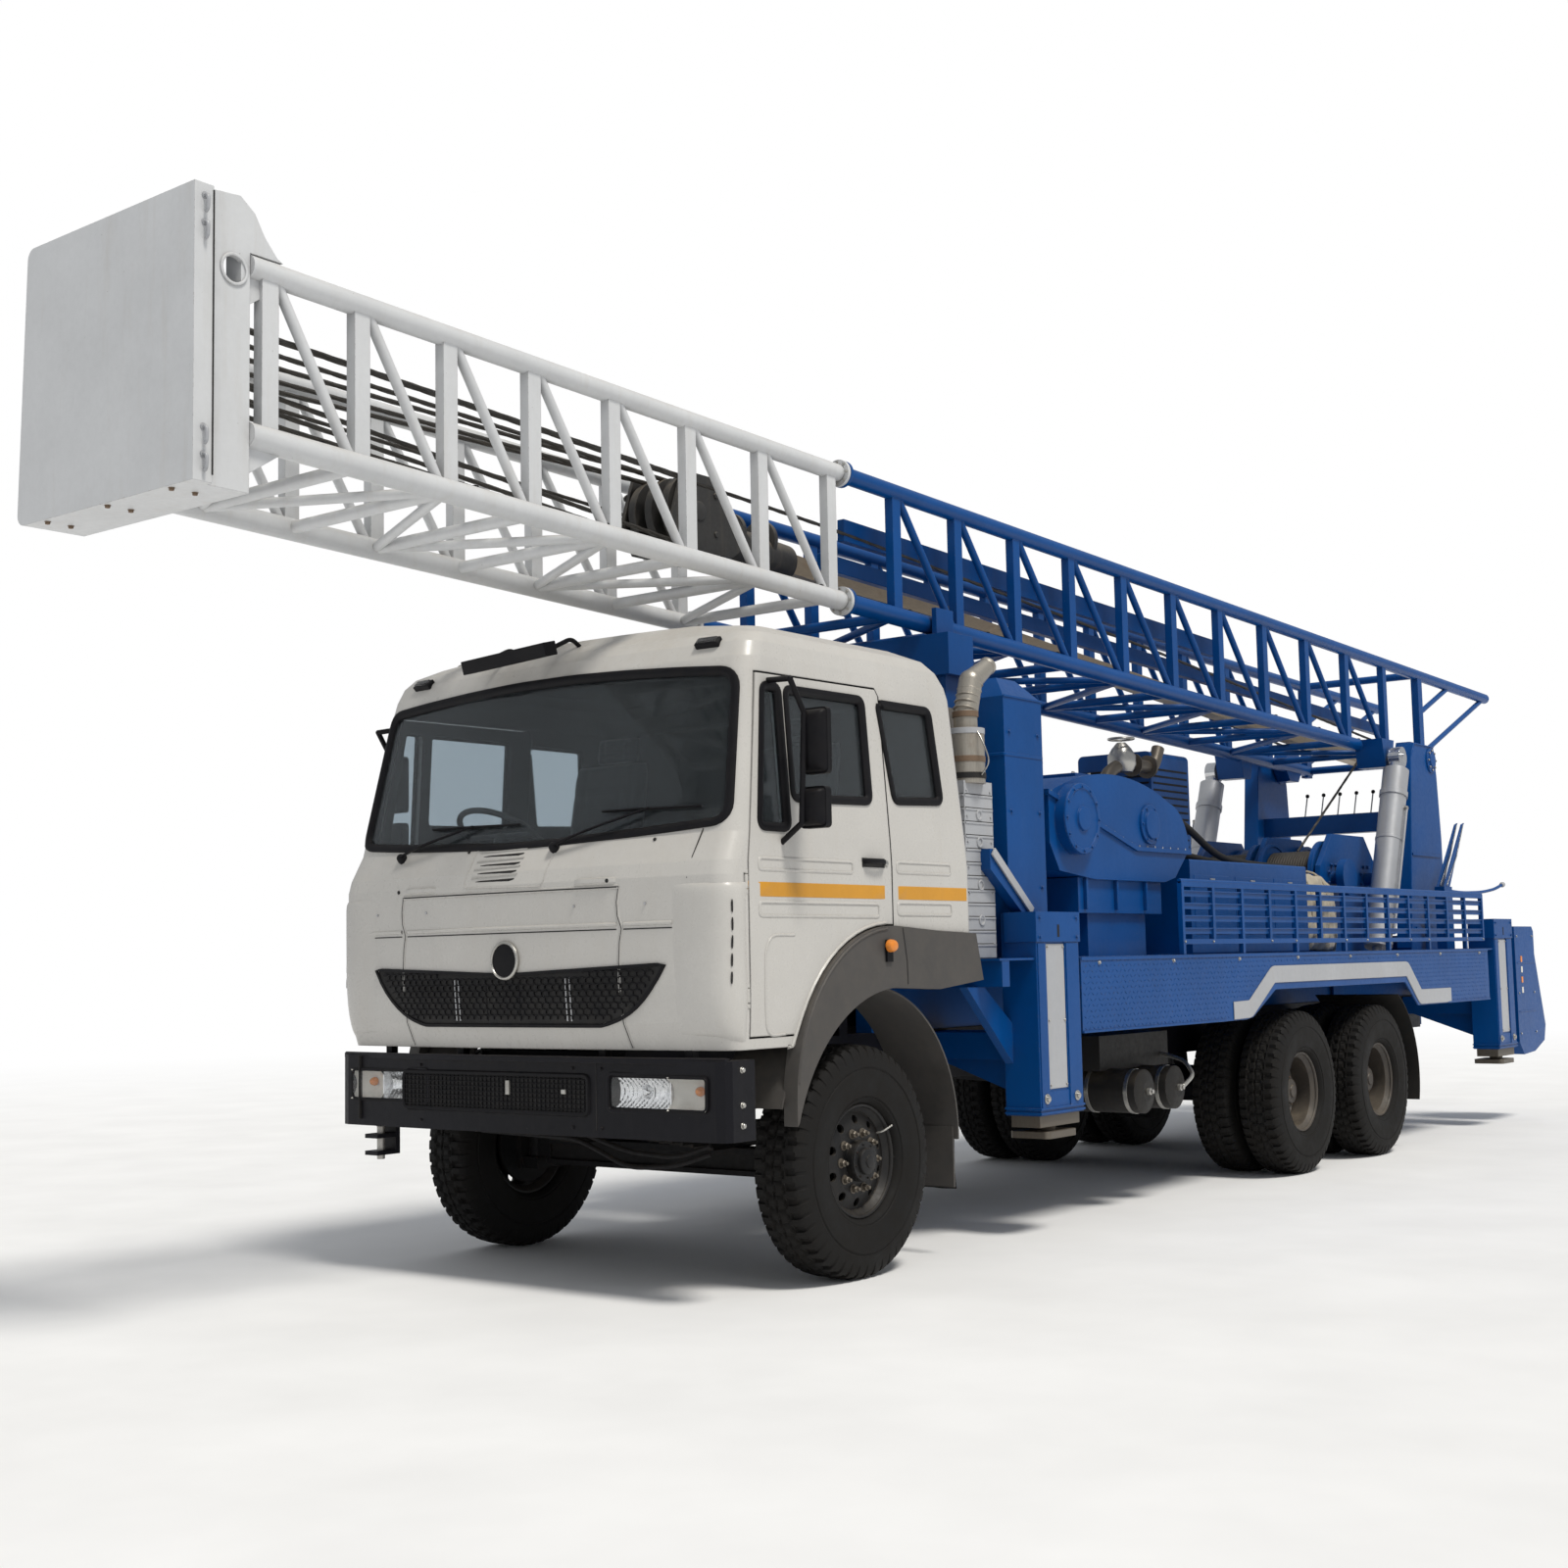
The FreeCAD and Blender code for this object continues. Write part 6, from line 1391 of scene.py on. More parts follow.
def columns():
    """The exhaust's casing, and seams, bolts and a blue top strip of the two columns behind the cab, with a
    silver strip along each strut as a painted highlight.
    """
    exhaust_casing()
    piece = Piece()
    (x0, x1), (y0, y1), seam_z = COLUMN_X, COLUMN_Y, 2.50
    for side, _ in SIDES[::-1]:
        out = (side, 0, 0)
        loop = [Vector((side * x, y, seam_z)) for x, y in ((x0, y0), (x1, y0), (x1, y1), (x0, y1))]
        loop = softened(loop, 0.01, closed=True)
        middle = Vector((side * (x0 + x1) / 2, (y0 + y1) / 2, seam_z))
        piece.sweep(loop, flat(0.010, 0.004, 0.008, -0.001), "rig_blue", [p - middle for p in loop],
                    closed=True)
        for z in (2.62, 2.20, 1.80):
            for y in (y0 + 0.05, y1 - 0.05):
                piece.bolt((side * x1, y, z), out, 0.010, "rig_blue")
        # silver strip along the strut's edge: painted highlight
        piece.bar(at(side * 1.118, 1.318, 1.972), at(side * 1.118, 1.690, 1.668), 0.045, 0.012,
                  "plate_silver", out)
        piece.bar((side * (x1 + 0.003), y0, 2.811), (side * (x1 + 0.003), y1, 2.811), 0.012, 0.006,
                  "rig_blue", out)
    piece.made("column_trim", "chassis", "rig_blue", bevel=0.002)


# ---------------------------------------------------------------- jacks, skirts, railings and deck
JACKS = (1.490, 8.690)          # stations of the housings' front edges
JACK_LENGTH = 0.440
JACK_FACE = 1.250
SKIRT_FACE = 1.2503
SKIRT_FOOT = ((1.95, 1.022), (3.979, 1.022), (4.079, 1.034), (4.428, 1.195), (6.687, 1.195), (6.929, 1.022),
              (8.52, 1.022))    # station and height of the skirt's lower edge
STRIP = ((3.800, 1.081), (4.040, 1.085), (4.395, 1.290), (6.725, 1.290), (6.975, 1.083), (7.620, 1.081))


def jack_trim(side, name):
    """Plates, corner tubes, head slots drawn as dark strips of painted shade, and foot pins of one side's
    jack housings.
    """
    piece = Piece()
    out = (side, 0, 0)
    pocket_x = JACK_FACE - 0.005
    for start in JACKS:
        piece.box(at(side * pocket_x, start + 0.100, 0.752),
                  at(side * (pocket_x + 0.0035), start + 0.285, 1.495), "plate_silver")
        for dy in (0.112, 0.273):
            for z in (0.77, 1.10, 1.478):
                piece.bolt(at(side * (pocket_x + 0.0035), start + dy, z), out, 0.006, "bright_steel",
                           washer=False)
        for dy0, dy1 in ((0.012, 0.090), (0.300, 0.425)):
            piece.box(at(side * (JACK_FACE - 0.001), start + dy0, 0.66),
                      at(side * (JACK_FACE + 0.0055), start + dy1, 1.498), "rig_blue")
        head = JACK_FACE + 0.008
        # dark strip for the head slot's opening: painted shade
        piece.box(at(side * (head - 0.001), start + 0.209, 1.530),
                  at(side * (head + 0.0012), start + 0.231, 1.595), "gap_and_shade_dark")
        for dy in (0.03, 0.41):
            for z in (1.63, 1.53):
                piece.bolt(at(side * head, start + dy, z), out, 0.009, "rig_blue")
        for dy in (0.055, 0.365):
            piece.lathe([(0, 0.026), (0.006, 0.026), (0.007, 0.016), (0.016, 0.016), (0.018, 0.010)],
                        at(side * (JACK_FACE + 0.0055), start + dy, 0.705), out, "bright_steel", 20)
        for z in (0.632, 0.655):
            piece.box(at(side * 1.040, start - 0.006, z - 0.006),
                      at(side * (JACK_FACE + 0.0075), start + JACK_LENGTH + 0.006, z + 0.006), "rig_blue")
    piece.made(f"jack_trim_{name}", "chassis", "rig_blue", bevel=0.002)


def skirt_foot(station):
    """Height of the side skirt's lower edge."""
    for (a, low), (b, high) in zip(SKIRT_FOOT, SKIRT_FOOT[1:]):
        if station <= b:
            return low + (high - low) * max(0.0, station - a) / (b - a)
    return SKIRT_FOOT[-1][1]


def lozenge(piece, corners, peak):
    """One raised mark of tread plate."""
    piece.add(corners + [peak], [[0, 1, 4], [1, 2, 4], [2, 3, 4], [3, 0, 4], [3, 2, 1, 0]], "rig_blue")


def skirt_tread(piece, side):
    """Rows of raised marks over the skirt, clear of its lower edge and of the silver strip."""
    first, last, step, rise = 1.98, 8.49, 0.046, 0.030
    length, width, height = 0.013, 0.0038, 0.0026
    for j in range(13):
        z = 1.045 + j * rise
        for i in range(int((last - first) / step)):
            station = first + (i + (0.5 if j % 2 else 0.0)) * step
            clear = 0.115 if 3.75 < station < 7.51 else 0.02
            if z < skirt_foot(station) + clear:
                continue
            tip = 0.0088 if (i + j) % 2 else -0.0088
            corners = [at(side * SKIRT_FACE, station + dy, z + dz)
                       for dy, dz in ((-length, -tip), (0, width), (length, tip), (0, -width))]
            lozenge(piece, corners, at(side * (SKIRT_FACE + height), station, z))


def skirts(side, name):
    """Raised tread pattern, folded edges and the silver strip over the wheels."""
    piece = Piece()
    out = (side, 0, 0)
    skirt_tread(piece, side)
    path = softened([at(side * (SKIRT_FACE + 0.001), station, z) for station, z in STRIP], 0.02, steps=2)
    piece.sweep(path, flat(0.054, 0.005, 0.052, 0.0), "plate_silver", [out] * len(path))
    for first, last in ((1.953, 3.70), (7.55, 8.515)):
        piece.bar(at(side * (SKIRT_FACE + 0.003), first, 1.0275),
                  at(side * (SKIRT_FACE + 0.003), last, 1.0275), 0.012, 0.007, "rig_blue", out)
    piece.bar(at(side * (SKIRT_FACE + 0.002), 1.953, 1.414), at(side * (SKIRT_FACE + 0.002), 8.515, 1.414),
              0.018, 0.006, "rig_blue", out)
    for k in range(8):
        piece.bolt(at(side * SKIRT_FACE, 2.15 + 0.88 * k, 1.392), out, 0.009, "bright_steel")
    piece.made(f"skirt_trim_{name}", "chassis", "rig_blue")


def railing_trim(side, name):
    """Round top rail, louvre lips and foot bolts on a side railing."""
    piece = Piece()
    low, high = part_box("side_railings")
    bays, slats, post = 13, 5, 0.030
    louvre_z = (1.485, 1.851)
    x = side * (high.x - post / 2)
    pitch = (high.y - low.y - post) / bays
    piece.tube([(x, low.y, high.z + 0.004), (x, high.y, high.z + 0.004)], 0.014, "rig_blue", sides=12)
    for i in range(bays):
        y0, y1 = low.y + pitch * i + post, low.y + pitch * (i + 1)
        for k in range(1, slats):
            z = louvre_z[0] + (louvre_z[1] - louvre_z[0]) * k / slats + 0.016
            piece.box((x - side * 0.006, y0, z), (x + side * 0.012, y1, z + 0.007), "rig_blue")
        for y in (y0, y1) if i % 3 == 0 else ():
            piece.bolt((side * high.x, y - 0.012, 1.50), (side, 0, 0), 0.007, "bright_steel", washer=False)
    piece.made(f"railing_trim_{name}", "chassis", "rig_blue")


def deck_tread():
    """Tread marks on the walkways along both edges of the deck."""
    piece = Piece()
    top, height, step, row_gap = 1.4252, 0.0026, 0.046, 0.034
    length, width, slant = 0.014, 0.004, 0.008
    for side, _ in SIDES[::-1]:
        for i in range(150):
            station = 2.05 + i * step
            if 8.66 < station < 9.16:
                continue
            for j in range(5):
                x = side * (1.06 + j * row_gap)
                lean = slant if (i + j) % 2 else -slant
                corners = [at(x + dx, station + dy, top)
                           for dx, dy in ((-lean, -length), (width, 0), (lean, length), (-width, 0))]
                lozenge(piece, corners, at(x, station, top + height))
    piece.made("deck_tread", "chassis", "rig_blue")


def flaps(side, name):
    """The mud flap behind a front wheel and the rounded guard behind the rear ones."""
    piece = Piece()
    x0, width, top, drop, flap_y, steps, rows_down = 0.865, 0.28, 0.62, 0.30, -3.168, 12, 8
    rows = []
    for j in range(rows_down + 1):
        xs = [x0 + width * i / steps for i in range(steps + 1)]
        rows.append([Vector((side * x, flap_y + 0.010 * math.sin(x * 40 + j * 0.7) * j / rows_down,
                             top - drop * j / rows_down)) for x in xs])
    back = [[p + Vector((0, 0.006, 0)) for p in row] for row in rows]
    piece.grid(rows + back[::-1], "rubber_black", round_v=True)
    axle_y, axle_z, reach = 2.277, 0.525, 0.66
    guard, normals = [], []
    for k in range(15):
        angle = math.radians(62 - 78 * k / 14)
        normals.append((0, reach * math.cos(angle), reach * math.sin(angle)))
        guard.append((side * 0.92, axle_y + normals[-1][1], axle_z + normals[-1][2]))
    piece.sweep(guard, flat(0.31, 0.004, low=-0.004), "rubber_black", normals)
    for _, y, z in (guard[0], guard[4], guard[8]):
        piece.bar((side * 0.92, y, z), (side * 0.455, y - 0.1, min(1.0, z)), 0.03, 0.012, "axle_iron")
    piece.made(f"mud_flaps_{name}", "chassis", "trim_black")


def deck_fittings():
    for side, name in SIDES:
        jack_trim(side, name)
        skirts(side, name)
        railing_trim(side, name)
    deck_tread()
    for side, name in SIDES:
        flaps(side, name)


# ---------------------------------------------------------------- machinery on the deck
PUMP_FLANGE = ((2.080, 2.3315), (3.1025, 2.049), (3.800, 2.049))    # station and height
MAIN_BOSS = (1.060, 2.360, 2.190)                                   # x, station and height
SMALL_BOSS = (1.000, 3.280, 2.200)
PIPE_X = 0.16
DRUM_Z = 1.990
DRUMS = ((7.250, 0.205), (7.900, 0.225))    # station and radius of the outer layer of rope
DRUM_CORE = 0.148
ROPE_PITCH = 0.021
HOIST_X = 0.790
HOIST_FOOT, HOIST_EYE = Vector((0, ORIGIN_Y + 7.340, 1.330)), Vector((0, ORIGIN_Y + 8.000, 2.950))
TANKS = (2.890, 3.275)
TANK_Z = 0.655


def pump_trim():
    """Bolted joint, bosses, ribs, lid and breather of the mud pump."""
    piece = Piece()
    for x, lip in ((1.015, -0.022), (0.315, 0.022)):
        for (a, za), (b, zb) in zip(PUMP_FLANGE, PUMP_FLANGE[1:]):
            count = max(3, round((b - a) / 0.105))
            lean = math.atan2(zb - za, b - a)
            up = Vector((0, -math.sin(lean), math.cos(lean)))
            for i in range(count):
                t = (i + 0.5) / count
                piece.bolt(at(x + lip, a + (b - a) * t, za + (zb - za) * t) + up * 0.013, up, 0.010,
                           "bright_steel")
    hub, out = at(*MAIN_BOSS), (1, 0, 0)
    piece.lathe([(0, 0.200), (0.008, 0.196), (0.010, 0.170), (0.004, 0.164), (0.006, 0.07), (0.020, 0.065),
                 (0.022, 0.0)], hub, out, "rig_blue", 48)
    bolt_circle(piece, hub + Vector((0.008, 0, 0)), 0.180, 12, out, 0.009, "rig_blue")
    hub = at(*SMALL_BOSS)
    piece.lathe([(0, 0.120), (0.014, 0.118), (0.016, 0.090), (0.030, 0.086), (0.034, 0.0)], hub, out,
                "rig_blue", 36)
    bolt_circle(piece, hub + Vector((0.014, 0, 0)), 0.104, 6, out, 0.008, "rig_blue")
    for station in (2.52, 2.88, 3.24):
        piece.box(at(0.345, station - 0.012, 1.872), at(0.998, station + 0.012, 1.905), "rig_blue")
        piece.box(at(0.970, station - 0.010, 1.69), at(0.992, station + 0.010, 1.90), "rig_blue")
    lid = PUMP.top(0.66, ORIGIN_Y + 2.95, 2.5)[0]
    piece.box(lid + Vector((-0.16, -0.22, -0.02)), lid + Vector((0.16, 0.22, 0.022)), "rig_blue")
    for dx in (-0.13, 0.13):
        for dy in (-0.19, 0.0, 0.19):
            piece.bolt(lid + Vector((dx, dy, 0.022)), UP, 0.010, "bright_steel")
    piece.lathe([(0, 0.045), (0.05, 0.045), (0.055, 0.055), (0.075, 0.055), (0.080, 0.04)],
                lid + Vector((0, -0.42, 0.01)), UP, "bright_steel", 24)
    piece.made("pump_trim", "chassis", "rig_blue", bevel=0.002)


def discharge_pipes():
    """Standpipe with its flanges, surge bottle, valve wheel and relief fittings."""
    piece = Piece()
    riser = [(PIPE_X, 0.30, 2.10), (PIPE_X, 0.30, 2.62), (PIPE_X, 0.55, 2.72), (PIPE_X, 1.02, 2.72),
             (PIPE_X, 1.10, 2.86)]
    piece.tube(softened(riser, 0.12), 0.045, "jack_steel", sides=16)
    for y, z, axis in ((0.30, 2.30, UP), (0.70, 2.72, (0, 1, 0)), (0.92, 2.72, (0, 1, 0))):
        piece.lathe(collar(0, 0.018, 0.046, 0.080), (PIPE_X, y, z), axis, "jack_steel", 24, ring=True)
    bottle_y, wheel_z, wheel_r = 0.56, 2.885, 0.085
    piece.lathe([(0, 0.070), (0.05, 0.095), (0.11, 0.095), (0.16, 0.065), (0.20, 0.030)],
                (PIPE_X, bottle_y, 2.66), UP, "bright_steel", 24)

    def rim(angle):
        return PIPE_X + wheel_r * math.cos(angle), bottle_y + wheel_r * math.sin(angle), wheel_z

    piece.tube([rim(math.tau * i / 20) for i in range(20)], 0.008, "bright_steel", sides=8, closed=True)
    for i in range(3):
        piece.tube([(PIPE_X, bottle_y, wheel_z - 0.013), rim(math.tau * i / 3)], 0.006, "bright_steel",
                   sides=6)
    for x, station, z in ((0.42, 3.70, 2.22), (0.50, 3.57, 2.246)):
        piece.lathe([(0, 0.035), (0.03, 0.035), (0.034, 0.05), (0.06, 0.05), (0.066, 0.03), (0.12, 0.028),
                     (0.125, 0.0)], at(x, station, z), UP, "bright_steel", 18)
    piece.made("discharge_pipes", "chassis", "jack_steel")


def machinery_hoses():
    """Two hoses from the pump over the tool box, clamped at both ends."""
    piece = Piece()
    runs = (((0.60, -0.22, 2.12), (0.66, 0.02, 2.36), (0.70, 0.32, 2.28), (0.72, 0.80, 2.06),
             (0.70, 1.40, 2.03), (0.62, 2.30, 2.035), (0.35, 2.85, 2.06), (0.05, 3.25, 2.10)),
            ((0.42, -0.22, 2.10), (0.50, 0.10, 2.22), (0.56, 0.42, 2.10), (0.60, 0.90, 2.045),
             (0.52, 1.60, 2.045), (0.42, 2.20, 1.95), (0.20, 2.70, 1.62), (-0.10, 3.00, 1.53)))
    for run in runs:
        piece.tube(softened(run, 0.22, steps=7), 0.024, "rubber_black", sides=14)
        for end, ahead in ((run[0], run[1]), (run[-1], run[-2])):
            piece.lathe([(-0.01, 0.028), (0.05, 0.028), (0.055, 0.034), (0.075, 0.034), (0.080, 0.026)], end,
                        Vector(ahead) - Vector(end), "bright_steel", 12)
    piece.made("machinery_hoses", "chassis", "trim_black")


def rope_rows(piece, station, x0, x1, radius):
    """Rows of wire rope wound side by side on a drum."""
    count = int((x1 - x0) / ROPE_PITCH)
    half = ROPE_PITCH / 2
    profile = [(x0, DRUM_CORE)]
    for i in range(count):
        middle = x0 + (i + 0.5) * (x1 - x0) / count
        for k in range(5):
            angle = math.pi * (k + 0.5) / 5
            profile.append((middle - math.cos(angle) * half, radius + math.sin(angle) * half))
    profile.append((x1, DRUM_CORE))
    piece.lathe(profile, at(0, station, DRUM_Z), (1, 0, 0), "wire_rope", 44, ring=True)


def winch_trim():
    """Wound rope, flange rims, shaft ends and bearing bolts of both drums, and the rope to the mast."""
    piece = Piece()
    flanges, thick, flange_r = (-0.502, -0.087, 0.018, 0.433), 0.029, 0.287
    for station, layer in DRUMS:
        for x0, x1 in ((-0.472, -0.088), (-0.057, 0.017), (0.048, 0.432)):
            rope_rows(piece, station, x0, x1, layer)
        for x in flanges:
            for end in (x, x + thick):
                piece.lathe(collar(-0.004, 0.004, flange_r - 0.025, flange_r), at(end, station, DRUM_Z),
                            (1, 0, 0), "rig_blue", 56, ring=True)
        for edge, out in ((-0.640, -1), (0.600, 1)):
            piece.lathe([(0, 0.070), (0.010, 0.068), (0.012, 0.050), (0.020, 0.045), (0.022, 0.0)],
                        at(edge, station, DRUM_Z), (out, 0, 0), "bright_steel", 28)
        for x, out in ((-0.565, -1), (0.525, 1)):
            bolt_circle(piece, at(x, station, DRUM_Z), 0.105, 8, (out, 0, 0), 0.012, "rig_blue", math.pi / 8)
    rope(piece, at(0.24, DRUMS[0][0], DRUM_Z + 0.215), at(0.38, 8.55, 3.165), 0.010)
    piece.made("winch_trim", "chassis", "block_steel")


def hood_doors(piece, x, out):
    """Framed doors with louvres and latches on one side of the power pack's hood."""
    low, high, wide = 1.62, 2.30, 0.50
    for station in (2.78, 3.40, 4.00):
        corners = [at(x, station + a, z) for a, z in ((0, low), (wide, low), (wide, high), (0, high))]
        loop = softened(corners, 0.03, closed=True)
        piece.sweep(loop, flat(0.006, 0.006, 0.004), "rig_blue", [(out, 0, 0)] * len(loop), closed=True)
        for k in range(9):
            ends = [at(x + out * 0.006, station + a, 1.70 + 0.032 * k) for a in (0.08, wide - 0.08)]
            piece.bar(*ends, 0.014, 0.012, "rig_blue", (out, 0, -0.5))
        piece.box(at(x - 0.012, station + 0.44, 1.98), at(x + 0.012, station + 0.465, 2.06), "trim_black")


def pack_trim():
    """Radiator fins, hood doors, stack cap, cooler louvres and the tool box's doors."""
    piece = Piece()
    for k in range(34):
        z = 1.62 + 0.0245 * k
        piece.box(at(-1.10, 2.140, z), at(-0.30, 2.152, z + 0.008), "trim_black")
    for x in (-1.09, -0.70, -0.31):
        piece.box(at(x - 0.012, 2.136, 1.58), at(x + 0.012, 2.153, 2.46), "rig_blue")
    hood_doors(piece, -1.080, -1)
    hood_doors(piece, -0.320, 1)
    piece.lathe([(0, 0.064), (0.004, 0.072), (0.020, 0.072), (0.024, 0.064)], at(-0.700, 3.60, 2.925), UP,
                "rusty_steel", 26, ring=True)
    for k in range(22):
        z = 1.70 + 0.048 * k
        piece.box(at(-0.40, 4.994, z), at(0.13, 5.002, z + 0.014), "trim_black")
        piece.box(at(0.149, 5.03, z), at(0.153, 5.55, z + 0.014), "trim_black")
    for station in (4.20, 4.80, 5.40):
        piece.box(at(0.948, station - 0.25, 1.55), at(0.953, station + 0.25, 1.92), "rig_blue")
        piece.box(at(0.953, station - 0.03, 1.86), at(0.964, station + 0.03, 1.90), "bright_steel")
        piece.box(at(0.40, station - 0.03, 2.013), at(0.90, station + 0.03, 2.020), "rig_blue")
    piece.made("pack_trim", "chassis", "rig_blue", bevel=0.002)


def cylinder_trim():
    """Gland rings, clamps and oil pipes on the two hoist cylinders."""
    run = (HOIST_EYE - HOIST_FOOT).normalized()
    piece = Piece()
    for side, _ in SIDES[::-1]:
        base = HOIST_FOOT + Vector((side * HOIST_X, 0, 0))
        for start, length, radius in ((0.150, 0.030, 0.108), (0.40, 0.022, 0.104), (1.02, 0.022, 0.104),
                                      (1.40, 0.045, 0.109)):
            piece.lathe(collar(start, start + length, radius - 0.012, radius), base, run, "silver_paint", 36,
                        ring=True)
        pipe = [base + run * reach + Vector((side * 0.118, 0, 0)) for reach in (0.25, 1.30)]
        piece.tube(pipe, 0.010, "silver_paint", sides=10)
        for point in pipe:
            piece.lathe([(-0.03, 0.017), (0.006, 0.017), (0.010, 0.012)], point, (side, 0, 0),
                        "bright_steel", 12)
    piece.made("cylinder_trim", "hoist_barrels", "silver_paint")


def tank_trim():
    """Straps, drain plugs and a bent pipe on the air tanks."""
    piece = Piece()
    out = (1, 0, 0)
    for station in TANKS:
        for x in (0.58, 0.80, 1.05):
            piece.lathe(collar(-0.012, 0.012, 0.124, 0.1285), at(x, station, TANK_Z), out, "bright_steel",
                        32, ring=True)
        piece.lathe([(0, 0.020), (0.02, 0.020), (0.024, 0.012), (0.036, 0.012)], at(1.130, station, TANK_Z),
                    out, "bright_steel", 14)
    bend = [at(1.12, 3.28, 0.66), at(1.15, 3.30, 0.66), at(1.16, 3.42, 0.72), at(1.06, 3.50, 0.80),
            at(0.80, 3.52, 0.86)]
    piece.tube(softened(bend, 0.05), 0.012, "bright_steel", sides=10)
    piece.made("tank_trim", "chassis", "tank_paint")


def machinery():
    pump_trim()
    discharge_pipes()
    machinery_hoses()
    winch_trim()
    pack_trim()
    cylinder_trim()
    tank_trim()


# ---------------------------------------------------------------- rear of the rig
PIVOT_STATION, PIVOT_Z = 8.950, 3.000       # the mast's hinge
TABLE_STATION = 9.400
TABLE_TOP = 1.320


def pivot_trim(piece, side):
    """Pin caps with their bolts, and the folded edge of one A-post."""
    out = (side, 0, 0)
    for x, away in ((0.720, side), (0.610, -side)):
        piece.lathe([(0, 0.105), (0.012, 0.102), (0.014, 0.060), (0.026, 0.056), (0.028, 0.0)],
                    at(side * x, PIVOT_STATION, PIVOT_Z), (away, 0, 0), "rig_blue", 36)
    bolt_circle(piece, at(side * 0.734, PIVOT_STATION, PIVOT_Z), 0.082, 8, out, 0.010, "bright_steel",
                washer=False)
    edge = [at(side * 0.665, station, z) for station, z in ((8.300, 1.44), (8.480, 2.985), (8.570, 3.115),
                                                             (9.035, 3.115))]
    piece.sweep(edge, flat(0.064, 0.006, 0.060, -0.003), "rig_blue",
                [(0, -1, 0.1), (0, -1, 0.4), (0, -0.5, 1), UP])
    for z in (1.60, 1.90, 2.20):
        piece.bar(at(side * 0.725, 8.42, z), at(side * 0.725, 9.08, z), 0.020, 0.010, "rig_blue", out)


def control_levers(piece):
    """Thin levers with round knobs on the operator's bar, and bright steel strips as painted highlights
    along the edges of the two tall blades.
    """
    for k in range(5):
        root = at((-0.32 + 0.16 * k) * 0.9 + 0.02, 8.64, 2.57)
        piece.tube([root, root + Vector((0.015, 0.03, 0.17))], 0.006, "bright_steel", sides=8)
        piece.lathe([(0, 0.010), (0.008, 0.016), (0.022, 0.016), (0.030, 0.008), (0.031, 0.0)],
                    root + Vector((0.015, 0.03, 0.165)), (0.08, 0.15, 1), "trim_black", 14)
    # bright strips on the blades: painted highlights on their edges
    for x, station in ((0.887, 8.505), (0.927, 8.545)):
        blade = [at(x, station + dy, z) for dy, z in ((0.06, 1.94), (0.33, 2.19), (0.52, 2.45))]
        for start, end in zip(blade, blade[1:]):
            piece.bar(start, end, 0.012, 0.003, "bright_steel", (1, 0, 0))
    curved = [at(0.90, 8.69, 1.90), at(0.93, 8.95, 1.885), at(0.96, 9.35, 1.895), at(0.98, 9.62, 1.925),
              at(0.985, 9.78, 1.960)]
    piece.tube(softened(curved, 0.15), 0.013, "rig_blue", sides=12)
    piece.lathe([(0, 0.0), (0.004, 0.018), (0.030, 0.024), (0.050, 0.020), (0.056, 0.0)], curved[-1],
                (0.05, 1, 0.2), "plate_silver", 16)


def table_circle(piece, radius, z, size, finish, start=0.0, count=8):
    """Bolts round the rotary table's axis."""
    for i in range(count):
        angle = start + math.tau * i / count
        piece.bolt(at(radius * math.cos(angle), TABLE_STATION + radius * math.sin(angle), z), UP, size,
                   finish)


def lamp_box_trim(piece, side):
    """Edge strips and bolts on the outer face of one lamp box."""
    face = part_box("rear_lamp_boxes")[1].x
    out = (side, 0, 0)
    for z in (1.30, 0.90):
        piece.bar(at(side * (face + 0.001), 9.33, z), at(side * (face + 0.001), 9.78, z), 0.014, 0.004,
                  "rig_blue", out)
    for station in (9.34, 9.74):
        for z in (0.72, 1.05, 1.52):
            piece.bolt(at(side * face, station, z), out, 0.008, "bright_steel", washer=False)


def rear():
    """Trim of the A-posts, levers, table and lamp boxes; the table's own trim turns with it."""
    piece = Piece()
    for side, _ in SIDES[::-1]:
        pivot_trim(piece, side)
    control_levers(piece)
    table_circle(piece, 0.245, 1.280, 0.011, "rig_blue", count=12)
    for side, _ in SIDES[::-1]:
        lamp_box_trim(piece, side)
    piece.made("rear_trim", "chassis", "rig_blue", bevel=0.002)
    table = Piece()
    table_circle(table, 0.195, TABLE_TOP, 0.013, "bright_steel", math.pi / 8)
    for radius in (0.225, 0.160):
        table.lathe([(0, radius), (0.006, radius - 0.003), (0.006, radius - 0.012), (0, radius - 0.015)],
                    at(0, TABLE_STATION, TABLE_TOP - 0.001), UP, "block_steel", 48, ring=True)
    table.made("table_trim", "rotary_table", "block_steel")


# ---------------------------------------------------------------- cloth and cushions
TUCK = 0.068                # metres that the cloth's lower edges are brought down to the deck
TIE_AT = 0.42               # the ties' places along the bundle, as a share of half its length
CANVAS_LOW, CANVAS_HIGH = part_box("tarpaulin")
CANVAS_MIDDLE, CANVAS_HALF = (CANVAS_LOW + CANVAS_HIGH) / 2, (CANVAS_HIGH - CANVAS_LOW) / 2


def round_off(angle):
    """Radius of a rounded square of half side 1."""
    return (abs(math.cos(angle)) ** 3.2 + abs(math.sin(angle)) ** 3.2) ** (-1 / 3.2)


def over_bundle(share):
    """The angle at share of the way over the bundle, from its left foot to its right one."""
    return math.radians(-50 + 280 * share)


def folds(angle, v):
    """Folds, wrinkles and the two ties' pinches, as a change of reach."""
    depth = 0.022 * math.sin(9 * angle + 3.0 * v) + 0.014 * math.sin(19 * angle - 7.0 * v + 1.0)
    depth += 0.020 * math.sin(6.0 * v + 2.5 * math.sin(angle)) + 0.010 * math.sin(23 * v + 4 * angle)
    return depth - 0.060 * math.exp(-((abs(v) - TIE_AT) / 0.05) ** 2)


